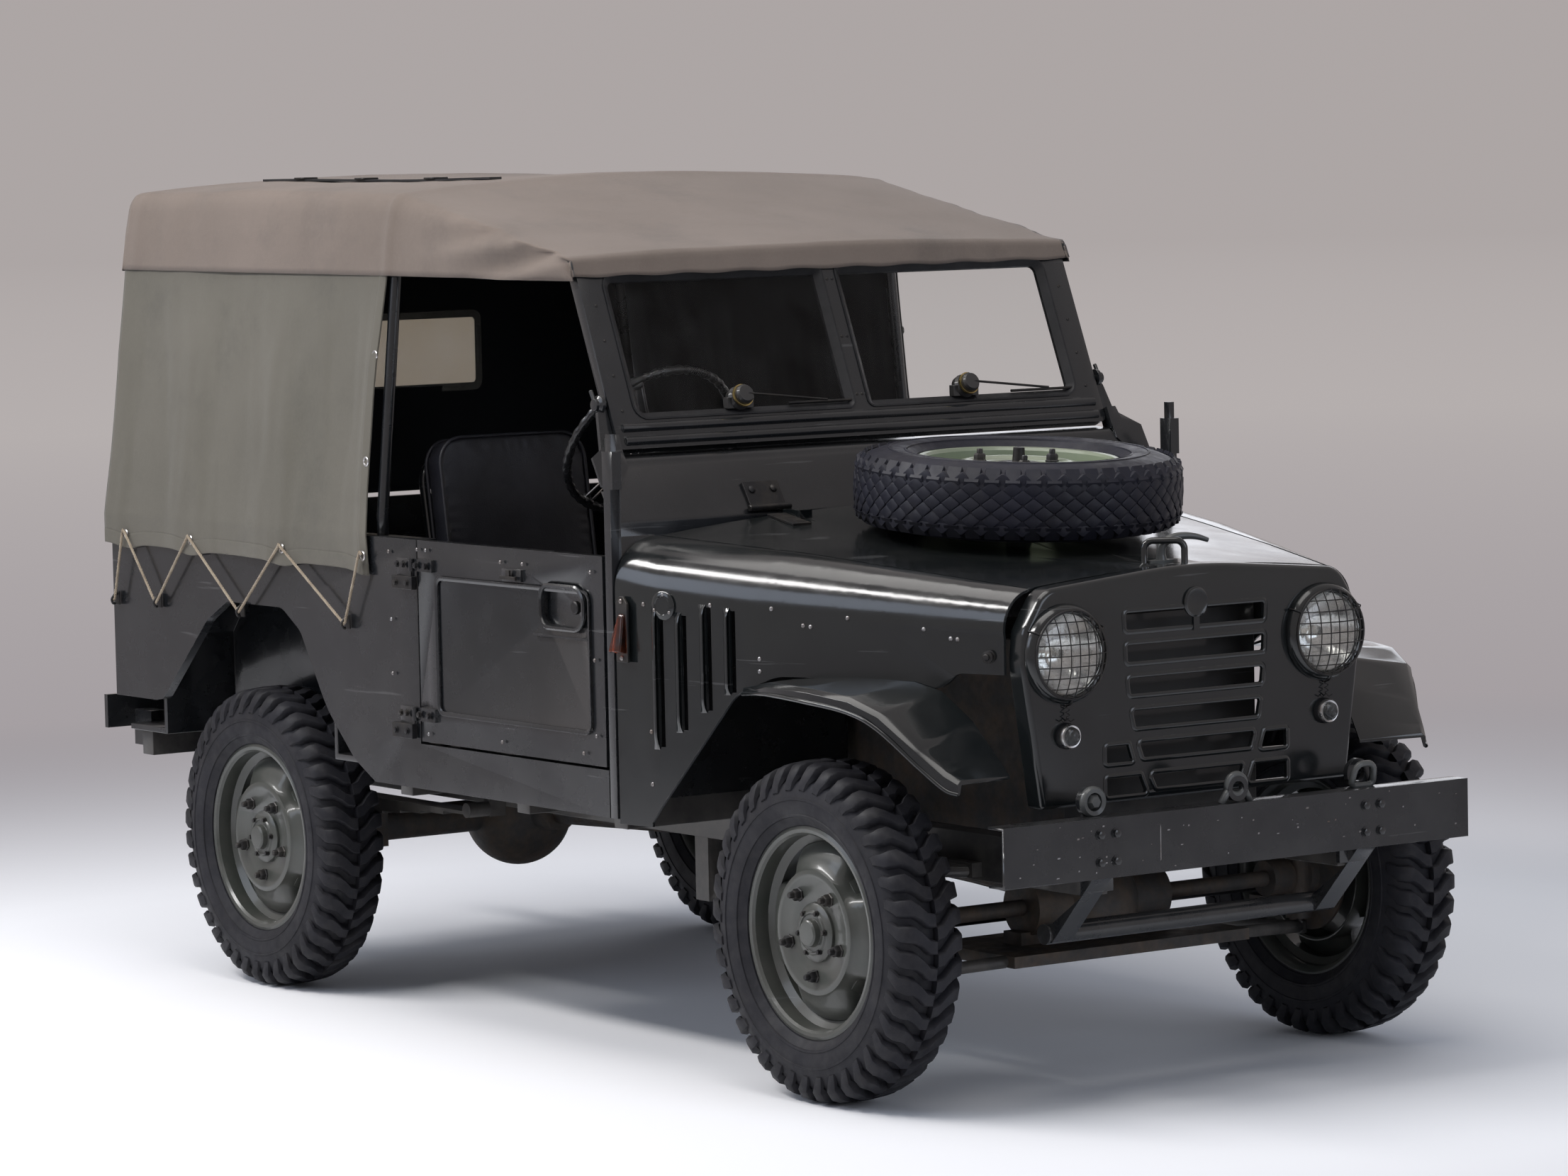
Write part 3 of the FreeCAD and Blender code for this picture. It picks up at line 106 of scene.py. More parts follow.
# %% A helper that wires nodes
class Finish:
    """One node material, with short calls for the nodes that every finish needs."""

    def __init__(self, name):
        self.material = bpy.data.materials.new(name)
        self.material.use_nodes = True
        self.tree = self.material.node_tree
        self.shader = self.tree.nodes["Principled BSDF"]
        self.place = self.node("ShaderNodeTexCoord").outputs["Object"]

    def node(self, kind, **inputs):
        made = self.tree.nodes.new(kind)
        for key, value in inputs.items():
            self.put(made, key.replace("_", " "), value)
        return made

    def feed(self, socket, value):
        """Link another node's output to a socket, or set the socket to a plain value."""
        if isinstance(value, bpy.types.NodeSocket):
            self.tree.links.new(value, socket)
        else:
            socket.default_value = value

    def put(self, node, socket, value):
        self.feed(node.inputs[socket], value)

    def set(self, **inputs):
        for key, value in inputs.items():
            self.put(self.shader, key.replace("_", " "), value)

    def stretched(self, scale, turn=(0, 0, 0)):
        node = self.node("ShaderNodeMapping", Vector=self.place)
        node.inputs["Scale"].default_value = scale
        node.inputs["Rotation"].default_value = turn
        return node.outputs["Vector"]

    def noise(self, scale, detail=4.0, rough=0.55, vector=None):
        node = self.node("ShaderNodeTexNoise", Vector=vector or self.place, Scale=scale, Detail=detail,
                         Roughness=rough)
        return node.outputs["Fac"]

    def cells(self, scale):
        return self.node("ShaderNodeTexVoronoi", Vector=self.place, Scale=scale).outputs["Distance"]

    def ramp(self, value, low, high, start=0.0, end=1.0):
        node = self.node("ShaderNodeMapRange", Value=value)
        for socket, number in (("From Min", low), ("From Max", high), ("To Min", start), ("To Max", end)):
            node.inputs[socket].default_value = number
        return node.outputs["Result"]

    def math(self, how, first, second):
        node = self.tree.nodes.new("ShaderNodeMath")
        node.operation = how
        for index, value in enumerate((first, second)):
            self.put(node, index, value)
        return node.outputs["Value"]

    def blend(self, share, first, second):
        node = self.tree.nodes.new("ShaderNodeMix")
        node.data_type = "RGBA"
        for name, value in (("Factor", share), ("A", first), ("B", second)):
            for socket in node.inputs:
                if socket.name == name and socket.type == ("VALUE" if name == "Factor" else "RGBA"):
                    self.feed(socket, value)
        return next(socket for socket in node.outputs if socket.type == "RGBA")

    def bump(self, height, strength, distance, under=None):
        node = self.node("ShaderNodeBump", Height=height, Strength=strength, Distance=distance)
        if under is not None:
            self.put(node, "Normal", under)
        return node.outputs["Normal"]

    def height(self):
        return self.node("ShaderNodeSeparateXYZ", Vector=self.place).outputs["Z"]

    def facing_up(self):
        normal = self.node("ShaderNodeNewGeometry").outputs["Normal"]
        return self.node("ShaderNodeSeparateXYZ", Vector=normal).outputs["Z"]

    def edges(self, width):
        """Mask of worn edges: where a rounded normal leaves the true one."""
        rounded = self.tree.nodes.new("ShaderNodeBevel")
        rounded.samples = 4
        rounded.inputs["Radius"].default_value = width
        dot = self.tree.nodes.new("ShaderNodeVectorMath")
        dot.operation = "DOT_PRODUCT"
        self.tree.links.new(rounded.outputs["Normal"], dot.inputs[0])
        self.tree.links.new(self.node("ShaderNodeNewGeometry").outputs["Normal"], dot.inputs[1])
        return self.ramp(self.math("SUBTRACT", 1.0, dot.outputs["Value"]), 0.02, 0.10)


def rgb(red, green, blue):
    return (red, green, blue, 1.0)


# %% [markdown]
# ### Army paint
# The body is dark green-grey enamel sprayed over steel: satin, a little wavy from panel beating,
# and slightly orange-peeled. A slow noise makes the waves that bend the reflections, a fine one
# makes the peel. Dust lies where the surface faces up, mud colour rises from the sills, and the
# edges rub to bare metal in places.


# %% Sprayed steel
def sprayed(name, base, faded, gloss, dust=0.16, wear=0.6, waves=0.35):
    """Enamel on sheet steel."""
    coat = Finish(name)
    patches = coat.ramp(coat.noise(2.3, 5), 0.35, 0.7)
    colour = coat.blend(patches, base, faded)
    speckle = coat.ramp(coat.noise(60, 6, 0.7), 0.52, 0.75, 0, 0.4)
    colour = coat.blend(speckle, colour, faded)
    dusty = coat.math("MULTIPLY", coat.ramp(coat.facing_up(), 0.35, 1.0, 0, dust),
                      coat.ramp(coat.noise(7, 6, 0.65), 0.3, 0.7))
    low = coat.math("MULTIPLY", coat.ramp(coat.height(), 0.75, 0.25, 0, dust * 1.4),
                    coat.ramp(coat.noise(11, 7, 0.7), 0.35, 0.65))
    dirt = coat.math("MAXIMUM", dusty, low)
    colour = coat.blend(dirt, colour, rgb(0.090, 0.082, 0.074))
    rubbed = coat.math("MULTIPLY", coat.edges(0.0025),
                       coat.ramp(coat.noise(24, 5, 0.7), 0.55, 0.66, 0, wear))
    colour = coat.blend(rubbed, colour, rgb(0.17, 0.17, 0.165))
    streaks = coat.noise(3.0, 3, 0.5, coat.stretched((1.0, 1.0, 26.0), (0.35, 0.5, 0.2)))
    fine = coat.ramp(streaks, 0.69, 0.72, 0, 0.30)
    colour = coat.blend(fine, colour, rgb(0.12, 0.12, 0.12))
    rough = coat.math("ADD", coat.ramp(coat.noise(9, 5, 0.6), 0.3, 0.7, gloss - 0.06, gloss + 0.08),
                      coat.math("MULTIPLY", dirt, 0.5))
    peel = coat.bump(coat.noise(420, 2), 0.10, 0.0006)
    panel = coat.bump(coat.noise(3.6, 2, 0.4), waves, 0.02, peel)
    coat.set(Base_Color=colour, Roughness=rough, Normal=panel)
    coat.shader.inputs["Specular IOR Level"].default_value = 0.42
    coat.shader.inputs["Coat Weight"].default_value = 0.5
    coat.shader.inputs["Coat Roughness"].default_value = 0.12
    return coat.material


BODY_PAINT = sprayed("body_enamel", rgb(0.0080, 0.0090, 0.0105), rgb(0.0150, 0.0160, 0.0178), 0.25)
BONNET_PAINT = sprayed("bonnet_enamel", rgb(0.0075, 0.0092, 0.0098), rgb(0.0120, 0.0140, 0.0145), 0.15,
                       0.10, 0.6, 0.25)
WHEEL_PAINT = sprayed("wheel_enamel", rgb(0.036, 0.041, 0.035), rgb(0.052, 0.056, 0.048), 0.34, 0.3, 0.9,
                      0.1)
STAY_PAINT = sprayed("stay_enamel", rgb(0.060, 0.064, 0.062), rgb(0.085, 0.088, 0.085), 0.42, 0.5, 0.8, 0.1)
CHASSIS_BLACK = sprayed("chassis_black", rgb(0.012, 0.012, 0.013), rgb(0.03, 0.028, 0.026), 0.5, 0.9, 0.7,
                        0.1)
SPARE_GREEN = sprayed("spare_rim_green", rgb(0.20, 0.24, 0.16), rgb(0.27, 0.30, 0.21), 0.38, 0.6, 0.9, 0.1)


# %% [markdown]
# ### Bare and cast metal
# Bolts, hooks and wire are steel that has dulled; axle and gearbox castings are rough, sandy iron
# with oil and road dirt on them. Both use the same recipe with another grain.


# %% Metal
def bare_metal(name, base, stained, rough, grain, depth, shine=1.0):
    """Metal without paint, stained in patches."""
    metal = Finish(name)
    stains = metal.ramp(metal.noise(14, 6, 0.7), 0.4, 0.68)
    colour = metal.blend(stains, base, stained)
    gloss = metal.ramp(metal.noise(45, 4), 0.3, 0.7, rough - 0.1, rough + 0.15)
    metal.set(Base_Color=colour, Metallic=shine, Roughness=gloss,
              Normal=metal.bump(metal.noise(grain, 5, 0.7), 0.4, depth))
    return metal.material


DULL_STEEL = bare_metal("dull_steel", rgb(0.34, 0.34, 0.35), rgb(0.16, 0.13, 0.11), 0.38, 300, 0.0005)
BRIGHT_WIRE = bare_metal("bright_wire", rgb(0.62, 0.62, 0.63), rgb(0.35, 0.33, 0.31), 0.25, 500, 0.0002)
CAST_IRON = bare_metal("cast_iron", rgb(0.055, 0.052, 0.05), rgb(0.10, 0.075, 0.055), 0.62, 160, 0.0015,
                       0.35)
BRASS = bare_metal("brass", rgb(0.52, 0.40, 0.16), rgb(0.30, 0.22, 0.10), 0.35, 300, 0.0003)
RUSTED = bare_metal("rusted_pipe", rgb(0.16, 0.085, 0.05), rgb(0.07, 0.045, 0.035), 0.78, 220, 0.0015, 0.3)
BLACKENED = bare_metal("blackened_steel", rgb(0.022, 0.022, 0.024), rgb(0.05, 0.045, 0.04), 0.4, 260,
                       0.0005, 0.6)

# %% [markdown]
# ### Rubber
# Tyre rubber is nearly black with a cool bloom, and dust lies on it in patches. The walls carry
# faint moulded rings, which come from the mesh, so the finish only needs grain.


# %% Rubber and seals
def rubber(name, base, bloom, dust, rough=0.62):
    """Rubber with a dusty bloom."""
    skin = Finish(name)
    patches = skin.ramp(skin.noise(9, 6, 0.6), 0.3, 0.72)
    colour = skin.blend(patches, base, bloom)
    dirt = skin.math("MULTIPLY", skin.ramp(skin.noise(23, 7, 0.7), 0.45, 0.75), dust)
    colour = skin.blend(dirt, colour, rgb(0.060, 0.056, 0.054))
    skin.set(Base_Color=colour, Roughness=skin.ramp(skin.noise(35, 4), 0.3, 0.7, rough - 0.1, rough + 0.12),
             Normal=skin.bump(skin.noise(260, 4, 0.6), 0.25, 0.0006))
    skin.shader.inputs["Specular IOR Level"].default_value = 0.3
    return skin.material


TYRE_RUBBER = rubber("tyre_rubber", rgb(0.0075, 0.0075, 0.0105), rgb(0.016, 0.016, 0.021), 0.28)
SPARE_RUBBER = rubber("spare_rubber", rgb(0.0065, 0.0070, 0.0130), rgb(0.014, 0.015, 0.026), 0.20, 0.5)
SEAL_RUBBER = rubber("seal_rubber", rgb(0.008, 0.008, 0.009), rgb(0.02, 0.02, 0.022), 0.2, 0.5)


# %% [markdown]
# ### Canvas
# Two weights of cotton duck cover this car: a sun-bleached tan roof and greener curtains. The weave
# is drawn by two crossed Wave textures on the cloth's own UV map, in metres, so the threads follow
# the folds. Slow noise gives the bleaching and damp stains.


# %% Woven cotton
THREADS = 520
MIDDLE_OF_CAB = (-0.6, 0, 1.3)


def canvas(name, base, faded, stain):
    """Plain weave cotton on the cloth's UV map, which is in metres."""
    cloth = Finish(name)
    spread = cloth.node("ShaderNodeUVMap").outputs["UV"]
    bands = []
    for direction in "XY":
        bands.append(cloth.node("ShaderNodeTexWave", Vector=spread, Scale=THREADS, Distortion=1.2,
                                Detail=2.0))
        bands[-1].bands_direction = direction
    weave = cloth.math("MULTIPLY", *(band.outputs["Fac"] for band in bands))
    slub = cloth.noise(130, 5, 0.7)
    bleached = cloth.ramp(cloth.noise(1.7, 6, 0.6), 0.32, 0.7)
    colour = cloth.blend(bleached, base, faded)
    marks = cloth.math("MULTIPLY", cloth.ramp(cloth.noise(4.2, 7, 0.68), 0.52, 0.74), 0.55)
    colour = cloth.blend(marks, colour, stain)
    colour = cloth.blend(cloth.ramp(weave, 0.0, 0.6, 0.30, 0.0), colour, stain)
    colour = cloth.blend(cloth.ramp(slub, 0.45, 0.75, 0, 0.25), colour, faded)
    # the inner face is coloured near black: its normal points back at the middle of the cab
    reach = cloth.node("ShaderNodeVectorMath", Vector=cloth.place)
    reach.operation = "SUBTRACT"
    reach.inputs[1].default_value = MIDDLE_OF_CAB
    inward = cloth.node("ShaderNodeVectorMath", Vector=reach.outputs["Vector"])
    inward.operation = "DOT_PRODUCT"
    cloth.tree.links.new(cloth.node("ShaderNodeNewGeometry").outputs["Normal"], inward.inputs[1])
    colour = cloth.blend(cloth.ramp(inward.outputs["Value"], -0.02, -0.06), colour,
                         rgb(0.010, 0.010, 0.012))
    threads_up = cloth.bump(weave, 0.30, 0.0006)
    cloth.set(Base_Color=colour, Roughness=0.88, Normal=cloth.bump(slub, 0.22, 0.0015, threads_up))
    cloth.shader.inputs["Sheen Weight"].default_value = 0.12
    cloth.shader.inputs["Sheen Roughness"].default_value = 0.5
    return cloth.material


ROOF_CANVAS = canvas("roof_canvas", rgb(0.150, 0.115, 0.092), rgb(0.205, 0.160, 0.132),
                     rgb(0.095, 0.076, 0.064))
SIDE_CANVAS = canvas("side_canvas", rgb(0.098, 0.088, 0.067), rgb(0.135, 0.122, 0.096),
                     rgb(0.060, 0.055, 0.043))
HEM_CANVAS = canvas("hem_canvas", rgb(0.095, 0.086, 0.066), rgb(0.135, 0.120, 0.094),
                    rgb(0.06, 0.055, 0.042))


# %% [markdown]
# ### Leather, glass, rope and moulded parts
# The small finishes follow the same pattern: a base colour broken by noise, and a bump at the scale
# of the real grain. Voronoi cells make leather's creases. The panes are thick solid glass with a
# thin film of dust.


# %% Leathercloth
def leathercloth():
    """Black leathercloth with a fine pebble."""
    hide = Finish("black_leathercloth")
    colour = hide.blend(hide.ramp(hide.noise(6, 5), 0.35, 0.7), rgb(0.010, 0.010, 0.013),
                        rgb(0.024, 0.024, 0.031))
    pebble = hide.bump(hide.cells(420), 0.35, 0.0006)
    hide.set(Base_Color=colour, Roughness=hide.ramp(hide.noise(22, 5), 0.3, 0.7, 0.38, 0.55),
             Normal=hide.bump(hide.noise(14, 4), 0.3, 0.004, pebble))
    return hide.material


LEATHER = leathercloth()


# %% Glass, lamps and rope
def clear(name, tint, rough, dust=0.0, index=1.45):
    """Glass or clear sheet with a film of dust."""
    pane = Finish(name)
    film = pane.ramp(pane.noise(12, 7, 0.7), 0.35, 0.8, 0.0, dust)
    pane.set(Base_Color=pane.blend(film, tint, rgb(0.5, 0.48, 0.44)),
             Roughness=pane.math("ADD", film, rough))
    pane.put(pane.shader, "Transmission Weight", pane.math("SUBTRACT", 1.0, film))
    pane.shader.inputs["IOR"].default_value = index
    return pane.material


PANE = clear("window_glass", rgb(0.97, 0.98, 0.98), 0.0, 0.008, 1.15)
LAMP_GLASS = clear("lamp_glass", rgb(0.95, 0.96, 0.94), 0.03, 0.12)
AMBER = clear("amber_lens", rgb(0.95, 0.16, 0.03), 0.12, 0.10)
RED_LENS = clear("red_lens", rgb(0.60, 0.02, 0.015), 0.12, 0.10)


def frosted_sheet():
    """Yellowed clear plastic of the rear window."""
    film = Finish("celluloid")
    colour = film.blend(film.ramp(film.noise(3, 5), 0.3, 0.7), rgb(0.80, 0.76, 0.66), rgb(0.70, 0.63, 0.48))
    creases = film.noise(9, 3, 0.5, film.stretched((1, 3.0, 1)))
    film.set(Base_Color=colour, Roughness=0.22, Normal=film.bump(creases, 0.5, 0.004))
    film.shader.inputs["Transmission Weight"].default_value = 0.72
    return film.material


CELLULOID = frosted_sheet()


def twisted_cotton():
    """Cream cotton with a loose fuzz; the lay of the rope is in its mesh."""
    yarn = Finish("cotton_rope")
    colour = yarn.blend(yarn.ramp(yarn.noise(40, 5), 0.3, 0.7), rgb(0.40, 0.33, 0.24),
                        rgb(0.26, 0.20, 0.14))
    fuzz = yarn.bump(yarn.noise(900, 4, 0.7), 0.5, 0.0008)
    yarn.set(Base_Color=colour, Roughness=0.9, Normal=fuzz)
    yarn.shader.inputs["Sheen Weight"].default_value = 0.2
    return yarn.material


ROPE = twisted_cotton()


def moulded(name, base, speck, rough):
    """Moulded plastic or bakelite."""
    part = Finish(name)
    colour = part.blend(part.ramp(part.noise(50, 5), 0.4, 0.75), base, speck)
    part.set(Base_Color=colour, Roughness=part.ramp(part.noise(18, 4), 0.3, 0.7, rough - 0.06, rough + 0.1),
             Normal=part.bump(part.noise(330, 3), 0.15, 0.0004))
    return part.material


BAKELITE = moulded("bakelite", rgb(0.012, 0.012, 0.013), rgb(0.03, 0.03, 0.03), 0.25)
MIRROR = bare_metal("lamp_reflector", rgb(0.80, 0.80, 0.80), rgb(0.62, 0.62, 0.62), 0.12, 60, 0.0003)
print("finishes:", len(bpy.data.materials))

# %% [markdown]
# ## The studio
# A pale floor with a painted pool of light in its colour, white round the car and grey further off,
# with a large soft lamp overhead, a long strip that draws the highlights, and three weak fills. The
# world gives the rest. Camera, mirror and glass rays see a plain grey, so that paint reflects a room
# and the backdrop costs the car no light. Far off, these rays see the floor as a painted glow.


# %% Floor, lamps and world
SEEN_AIR = rgb(0.415, 0.380, 0.375)


def seen_rays(tree):
    """1 for rays from the camera and for those that mirrors and glass send on, else 0."""
    rays = tree.nodes.new("ShaderNodeLightPath")
    share = rays.outputs["Is Camera Ray"]
    for kind in ("Is Glossy Ray", "Is Transmission Ray"):
        either = tree.nodes.new("ShaderNodeMath")
        either.operation = "MAXIMUM"
        tree.links.new(share, either.inputs[0])
        tree.links.new(rays.outputs[kind], either.inputs[1])
        share = either.outputs["Value"]
    return share


def placed(name, data):
    """New object in the scene, at the origin."""
    made = bpy.data.objects.new(name, data)
    bpy.context.scene.collection.objects.link(made)
    return made


# half of the floor's side, and how far it lies below the tyres
FLOOR_REACH, FLOOR_DROP = 90, 0.001
# soft lamps: name, place, point it faces, way of its long side, long side, short side, watts,
# colour
LAMPS = [
    ("overhead", (0.6, -1.0, 6.2), (0.2, 0.0, 0.9), (1, 0, 0), 7.0, 3.2, 170, (1.0, 0.98, 0.95)),
    ("strip", (-1.2, -3.8, 5.0), (1.1, -0.6, 1.05), (1, 0, 0), 5.6, 0.65, 240, (1.0, 0.99, 0.98)),
    ("side_fill", (-2.0, -8.0, 4.6), (0.2, 0.0, 0.9), (1, 0, 0), 6.0, 3.0, 120, (0.72, 0.82, 1.0)),
    ("front_fill", (8.5, 1.5, 3.0), (1.0, 0.0, 0.9), (0, 1, 0), 4.0, 3.0, 80, (0.76, 0.85, 1.0)),
    ("back_fill", (-5.5, 6.5, 4.0), (0.0, 0.0, 0.9), (1, 1, 0), 5.0, 3.0, 70, (0.88, 0.92, 1.0)),
]


def studio_floor():
    floor_mesh = bpy.data.meshes.new("studio_floor")
    corners = [(x * FLOOR_REACH, y * FLOOR_REACH, -FLOOR_DROP) for x,
               y in ((-1, -1), (1, -1), (1, 1), (-1, 1))]
    floor_mesh.from_pydata(corners, [], [(0, 1, 2, 3)])
    floor = placed("studio_floor", floor_mesh)
    paper = Finish("studio_paper")
    away = paper.node("ShaderNodeVectorMath", Vector=paper.place)
    away.operation = "LENGTH"
    away = away.outputs["Value"]
    # painted pool of light: the paper's colour is near white within 2.4 m of the middle and grey beyond 6.5
    # m
    paper.set(Base_Color=paper.blend(paper.ramp(away, 2.4, 6.5), rgb(0.93, 0.92, 0.93),
                                     rgb(0.50, 0.475, 0.475)),
              Roughness=0.9)
    # far off, where no lamp reaches, camera and mirror rays see the paper as a painted glow, graded towards
    # the colour of the air behind it
    painted_far_glow = paper.blend(paper.ramp(away, 6.0, 26.0), rgb(0.375, 0.345, 0.360), rgb(0.460, 0.425, 0.420))
    painted_far_glow = paper.blend(paper.ramp(away, 28.0, 80.0), painted_far_glow, SEEN_AIR)
    glow = paper.node("ShaderNodeEmission", Color=painted_far_glow)
    seen_share = paper.math("MULTIPLY", paper.ramp(away, 2.6, 7.0), seen_rays(paper.tree))
    mixed = paper.node("ShaderNodeMixShader", Fac=seen_share)
    paper.tree.links.new(paper.shader.outputs["BSDF"], mixed.inputs[1])
    paper.tree.links.new(glow.outputs["Emission"], mixed.inputs[2])
    paper.tree.links.new(mixed.outputs["Shader"], paper.tree.nodes["Material Output"].inputs["Surface"])
    floor_mesh.materials.append(paper.material)


def studio_air():
    world = bpy.data.worlds.new("studio_air")
    bpy.context.scene.world = world
    world.use_nodes = True
    tree = world.node_tree
    out, light = tree.nodes["World Output"], tree.nodes["Background"]
    light.inputs["Color"].default_value = (0.78, 0.85, 1.0, 1)
    light.inputs["Strength"].default_value = 0.34
    seen = tree.nodes.new("ShaderNodeBackground")
    seen.inputs["Color"].default_value = SEEN_AIR
    mix = tree.nodes.new("ShaderNodeMixShader")
    tree.links.new(seen_rays(tree), mix.inputs[0])
    tree.links.new(light.outputs["Background"], mix.inputs[1])
    tree.links.new(seen.outputs["Background"], mix.inputs[2])
    tree.links.new(mix.outputs["Shader"], out.inputs["Surface"])


def soft_lamps():
    for name, spot, target, way, long, wide, watts, colour in LAMPS:
        lamp = bpy.data.lights.new(name, "AREA")
        lamp.shape, lamp.size, lamp.size_y = "RECTANGLE", long, wide
        lamp.energy, lamp.color = watts, colour
        back = (Vector(spot) - Vector(target)).normalized()
        up = back.cross(Vector(way)).normalized()
        turned_lamp = Matrix((up.cross(back), up, back)).transposed().to_4x4()
        placed(name, lamp).matrix_world = Matrix.Translation(spot) @ turned_lamp


studio_floor()
studio_air()
soft_lamps()

# %% [markdown]
# ## Shop tools
# Sheet-metal parts are slabs, bars, turned shapes and bent pipe. Each tool below adds one of them
# to a bmesh, so that a bracket of ten bits still ends as one closed, outward-facing mesh. All
# coordinates are car coordinates, because every finished piece stays at the origin.


# %% Slab, block, bar, turned shape and pipe
def joined(work, rings, closed=False):
    """Faces between each ring of points and the next, and from the last back to the first if closed."""
    faces = []
    for lower, upper in list(zip(rings, rings[1:])) + ([(rings[-1], rings[0])] if closed else []):
        for index in range(len(lower)):
            following = (index + 1) % len(lower)
            faces.append(work.faces.new([lower[index], lower[following], upper[following], upper[index]]))
    return faces


def capped(work, rings):
    """A closed body through rings of points, with a face on its first ring and on its last."""
    faces = [work.faces.new(rings[0]), work.faces.new(rings[-1])] + joined(work, rings)
    bmesh.ops.recalc_face_normals(work, faces=faces)


def slab(work, outline, push):
    """A flat outline pushed along a vector."""
    push = Vector(push)
    near = [work.verts.new(Vector(spot)) for spot in outline]
    far = [work.verts.new(Vector(spot) + push) for spot in outline]
    capped(work, [near, far])


def block(work, low, high):
    """A block between two corners."""
    x0, y0, z0 = low
    x1, y1, z1 = high
    slab(work, [(x0, y0, z0), (x1, y0, z0), (x1, y1, z0), (x0, y1, z0)], (0, 0, z1 - z0))


def across(axis):
    """An axis at unit length, and two directions square to it."""
    axis = Vector(axis).normalized()
    helper = Vector((0, 0, 1)) if abs(axis.z) < 0.9 else Vector((1, 0, 0))
    first = axis.cross(helper).normalized()
    return axis, first, axis.cross(first)


def angles(count, start=0.0):
    """Even steps round a full turn."""
    return [start + 2 * math.pi * index / count for index in range(count)]


def ways_round(axis, turns):
    """Directions square to an axis, one for each angle."""
    _, first, second = across(axis)
    return [first * math.cos(angle) + second * math.sin(angle) for angle in turns]


def turned(work, profile, centre, axis, sides):
    """A profile of (radius, distance along the axis), turned round. A radius of 0 closes a pole."""
    axis = Vector(axis).normalized()
    ways = ways_round(axis, angles(sides))
    rings = []
    for radius, along in profile:
        middle = Vector(centre) + axis * along
        rings.append([work.verts.new(middle + way * radius) for way in (ways if radius > 0 else ways[:1])])
    faces = []
    for lower, upper in zip(rings, rings[1:]):
        for index in range(sides):
            following = (index + 1) % sides
            corners = []
            for vert in (lower[index % len(lower)], lower[following % len(lower)],
                         upper[following % len(upper)], upper[index % len(upper)]):
                if vert not in corners:
                    corners.append(vert)
            if len(corners) > 2:
                faces.append(work.faces.new(corners))
    for ring in (rings[0], rings[-1]):
        if len(ring) > 1 and profile[0] != profile[-1]:
            faces.append(work.faces.new(ring))
    bmesh.ops.recalc_face_normals(work, faces=faces)


def bar(work, start, end, radius, sides=12):
    """Round bar between two points, with small chamfers at its ends."""
    start, end = Vector(start), Vector(end)
    long = (end - start).length
    cut = min(radius * 0.24, long * 0.2)
    turned(work, [(radius - cut, 0), (radius, cut), (radius, long - cut), (radius - cut, long)], start,
           end - start, sides)


def pipe(work, route, radius, sides, closed=False):
    """Round pipe along a route of points; radius may be one number or one for each point."""
    route = [Vector(spot) for spot in route]
    count = len(route)
    radii = radius if hasattr(radius, "__len__") else [radius] * count
    rings = []
    side_way = None
    for index, spot in enumerate(route):
        before = route[index - 1] if closed or index else spot
        after = route[(index + 1) % count] if closed or index < count - 1 else spot
        along = (after - before).normalized()
        if side_way is None:
            side_way = across(along)[1]
        side_way = (side_way - along * side_way.dot(along)).normalized()
        other = along.cross(side_way)
        ways = (side_way * math.cos(turn) + other * math.sin(turn) for turn in angles(sides))
        rings.append([work.verts.new(spot + way * radii[index]) for way in ways])
    if closed:
        bmesh.ops.recalc_face_normals(work, faces=joined(work, rings, True))
    else:
        capped(work, rings)


def bent(route, steps):
    """Smooth run through the points of a route."""
    route = [Vector(spot) for spot in route]
    count = len(route)
    result = []
    for index in range(count - 1):
        p0 = route[index - 1] if index else route[0] * 2 - route[1]
        p1, p2 = route[index], route[index + 1]
        p3 = route[index + 2] if index + 2 < count else p2 * 2 - p1
        for step in range(steps):
            t = step / steps
            result.append(0.5 * (2 * p1 + (p2 - p0) * t + (2 * p0 - 5 * p1 + 4 * p2 - p3) * t * t
                                 + (3 * p1 - p0 - 3 * p2 + p3) * t ** 3))
    return result + [route[-1]]


# %% [markdown]
# A mesh becomes a finished piece when it has a finish and rides on the car body that carries it.
# Bevel softens every edge by a millimetre or so, which is what makes sheet metal catch light.


def mesh_from(name, work):
    """Mesh of a bmesh, which is used up."""
    mesh = bpy.data.meshes.new(name)
    work.to_mesh(mesh)
    work.free()
    return mesh


def thicken(piece, thick):
    """Give a sheet its thickness, inward."""
    wall = piece.modifiers.new("thickness", "SOLIDIFY")
    wall.thickness, wall.offset = thick, -1


def finer(piece):
    divided = piece.modifiers.new("fine", "SUBSURF")
    divided.levels = divided.render_levels = 1


def carried(piece, body, replaced):
    """Let a piece ride on a body, in place of the nodes it stands for."""
    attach(piece, body)
    if replaced:
        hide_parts(*replaced)
    return piece


def put_on(name, work, finish, body, soften, smooth=40, replaced=(), thick=None):
    """Turn a bmesh into a finished piece that rides on a body."""
    mesh = mesh_from(name, work)
    piece = placed(name, mesh)
    mesh.materials.append(finish)
    if thick:
        thicken(piece, thick)
    if soften:
        rounded = piece.modifiers.new("edges", "BEVEL")
        rounded.width, rounded.segments, rounded.limit_method = soften, 2, "ANGLE"
        rounded.angle_limit = math.radians(30)
        rounded.harden_normals = True
    mesh.shade_smooth()
    if smooth:
        mesh.set_sharp_from_angle(angle=math.radians(smooth))
    return carried(piece, body, replaced)


def rolled(node, finish, width):
    """Copy of a CAD node with its corners merged and its edges rolled; it stands for the node."""
    work = bmesh.new()
    work.from_mesh(frame["nodes"][node].data)
    bmesh.ops.remove_doubles(work, verts=work.verts, dist=1e-5)
    bmesh.ops.dissolve_limit(work, angle_limit=math.radians(0.6), verts=work.verts, edges=work.edges)
    bmesh.ops.triangulate(work, faces=[face for face in work.faces if len(face.verts) > 4])
    bmesh.ops.recalc_face_normals(work, faces=work.faces)
    put_on(node + "_dressed", work, finish, frame["nodes"][node]["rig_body"], width, 32, (node,))


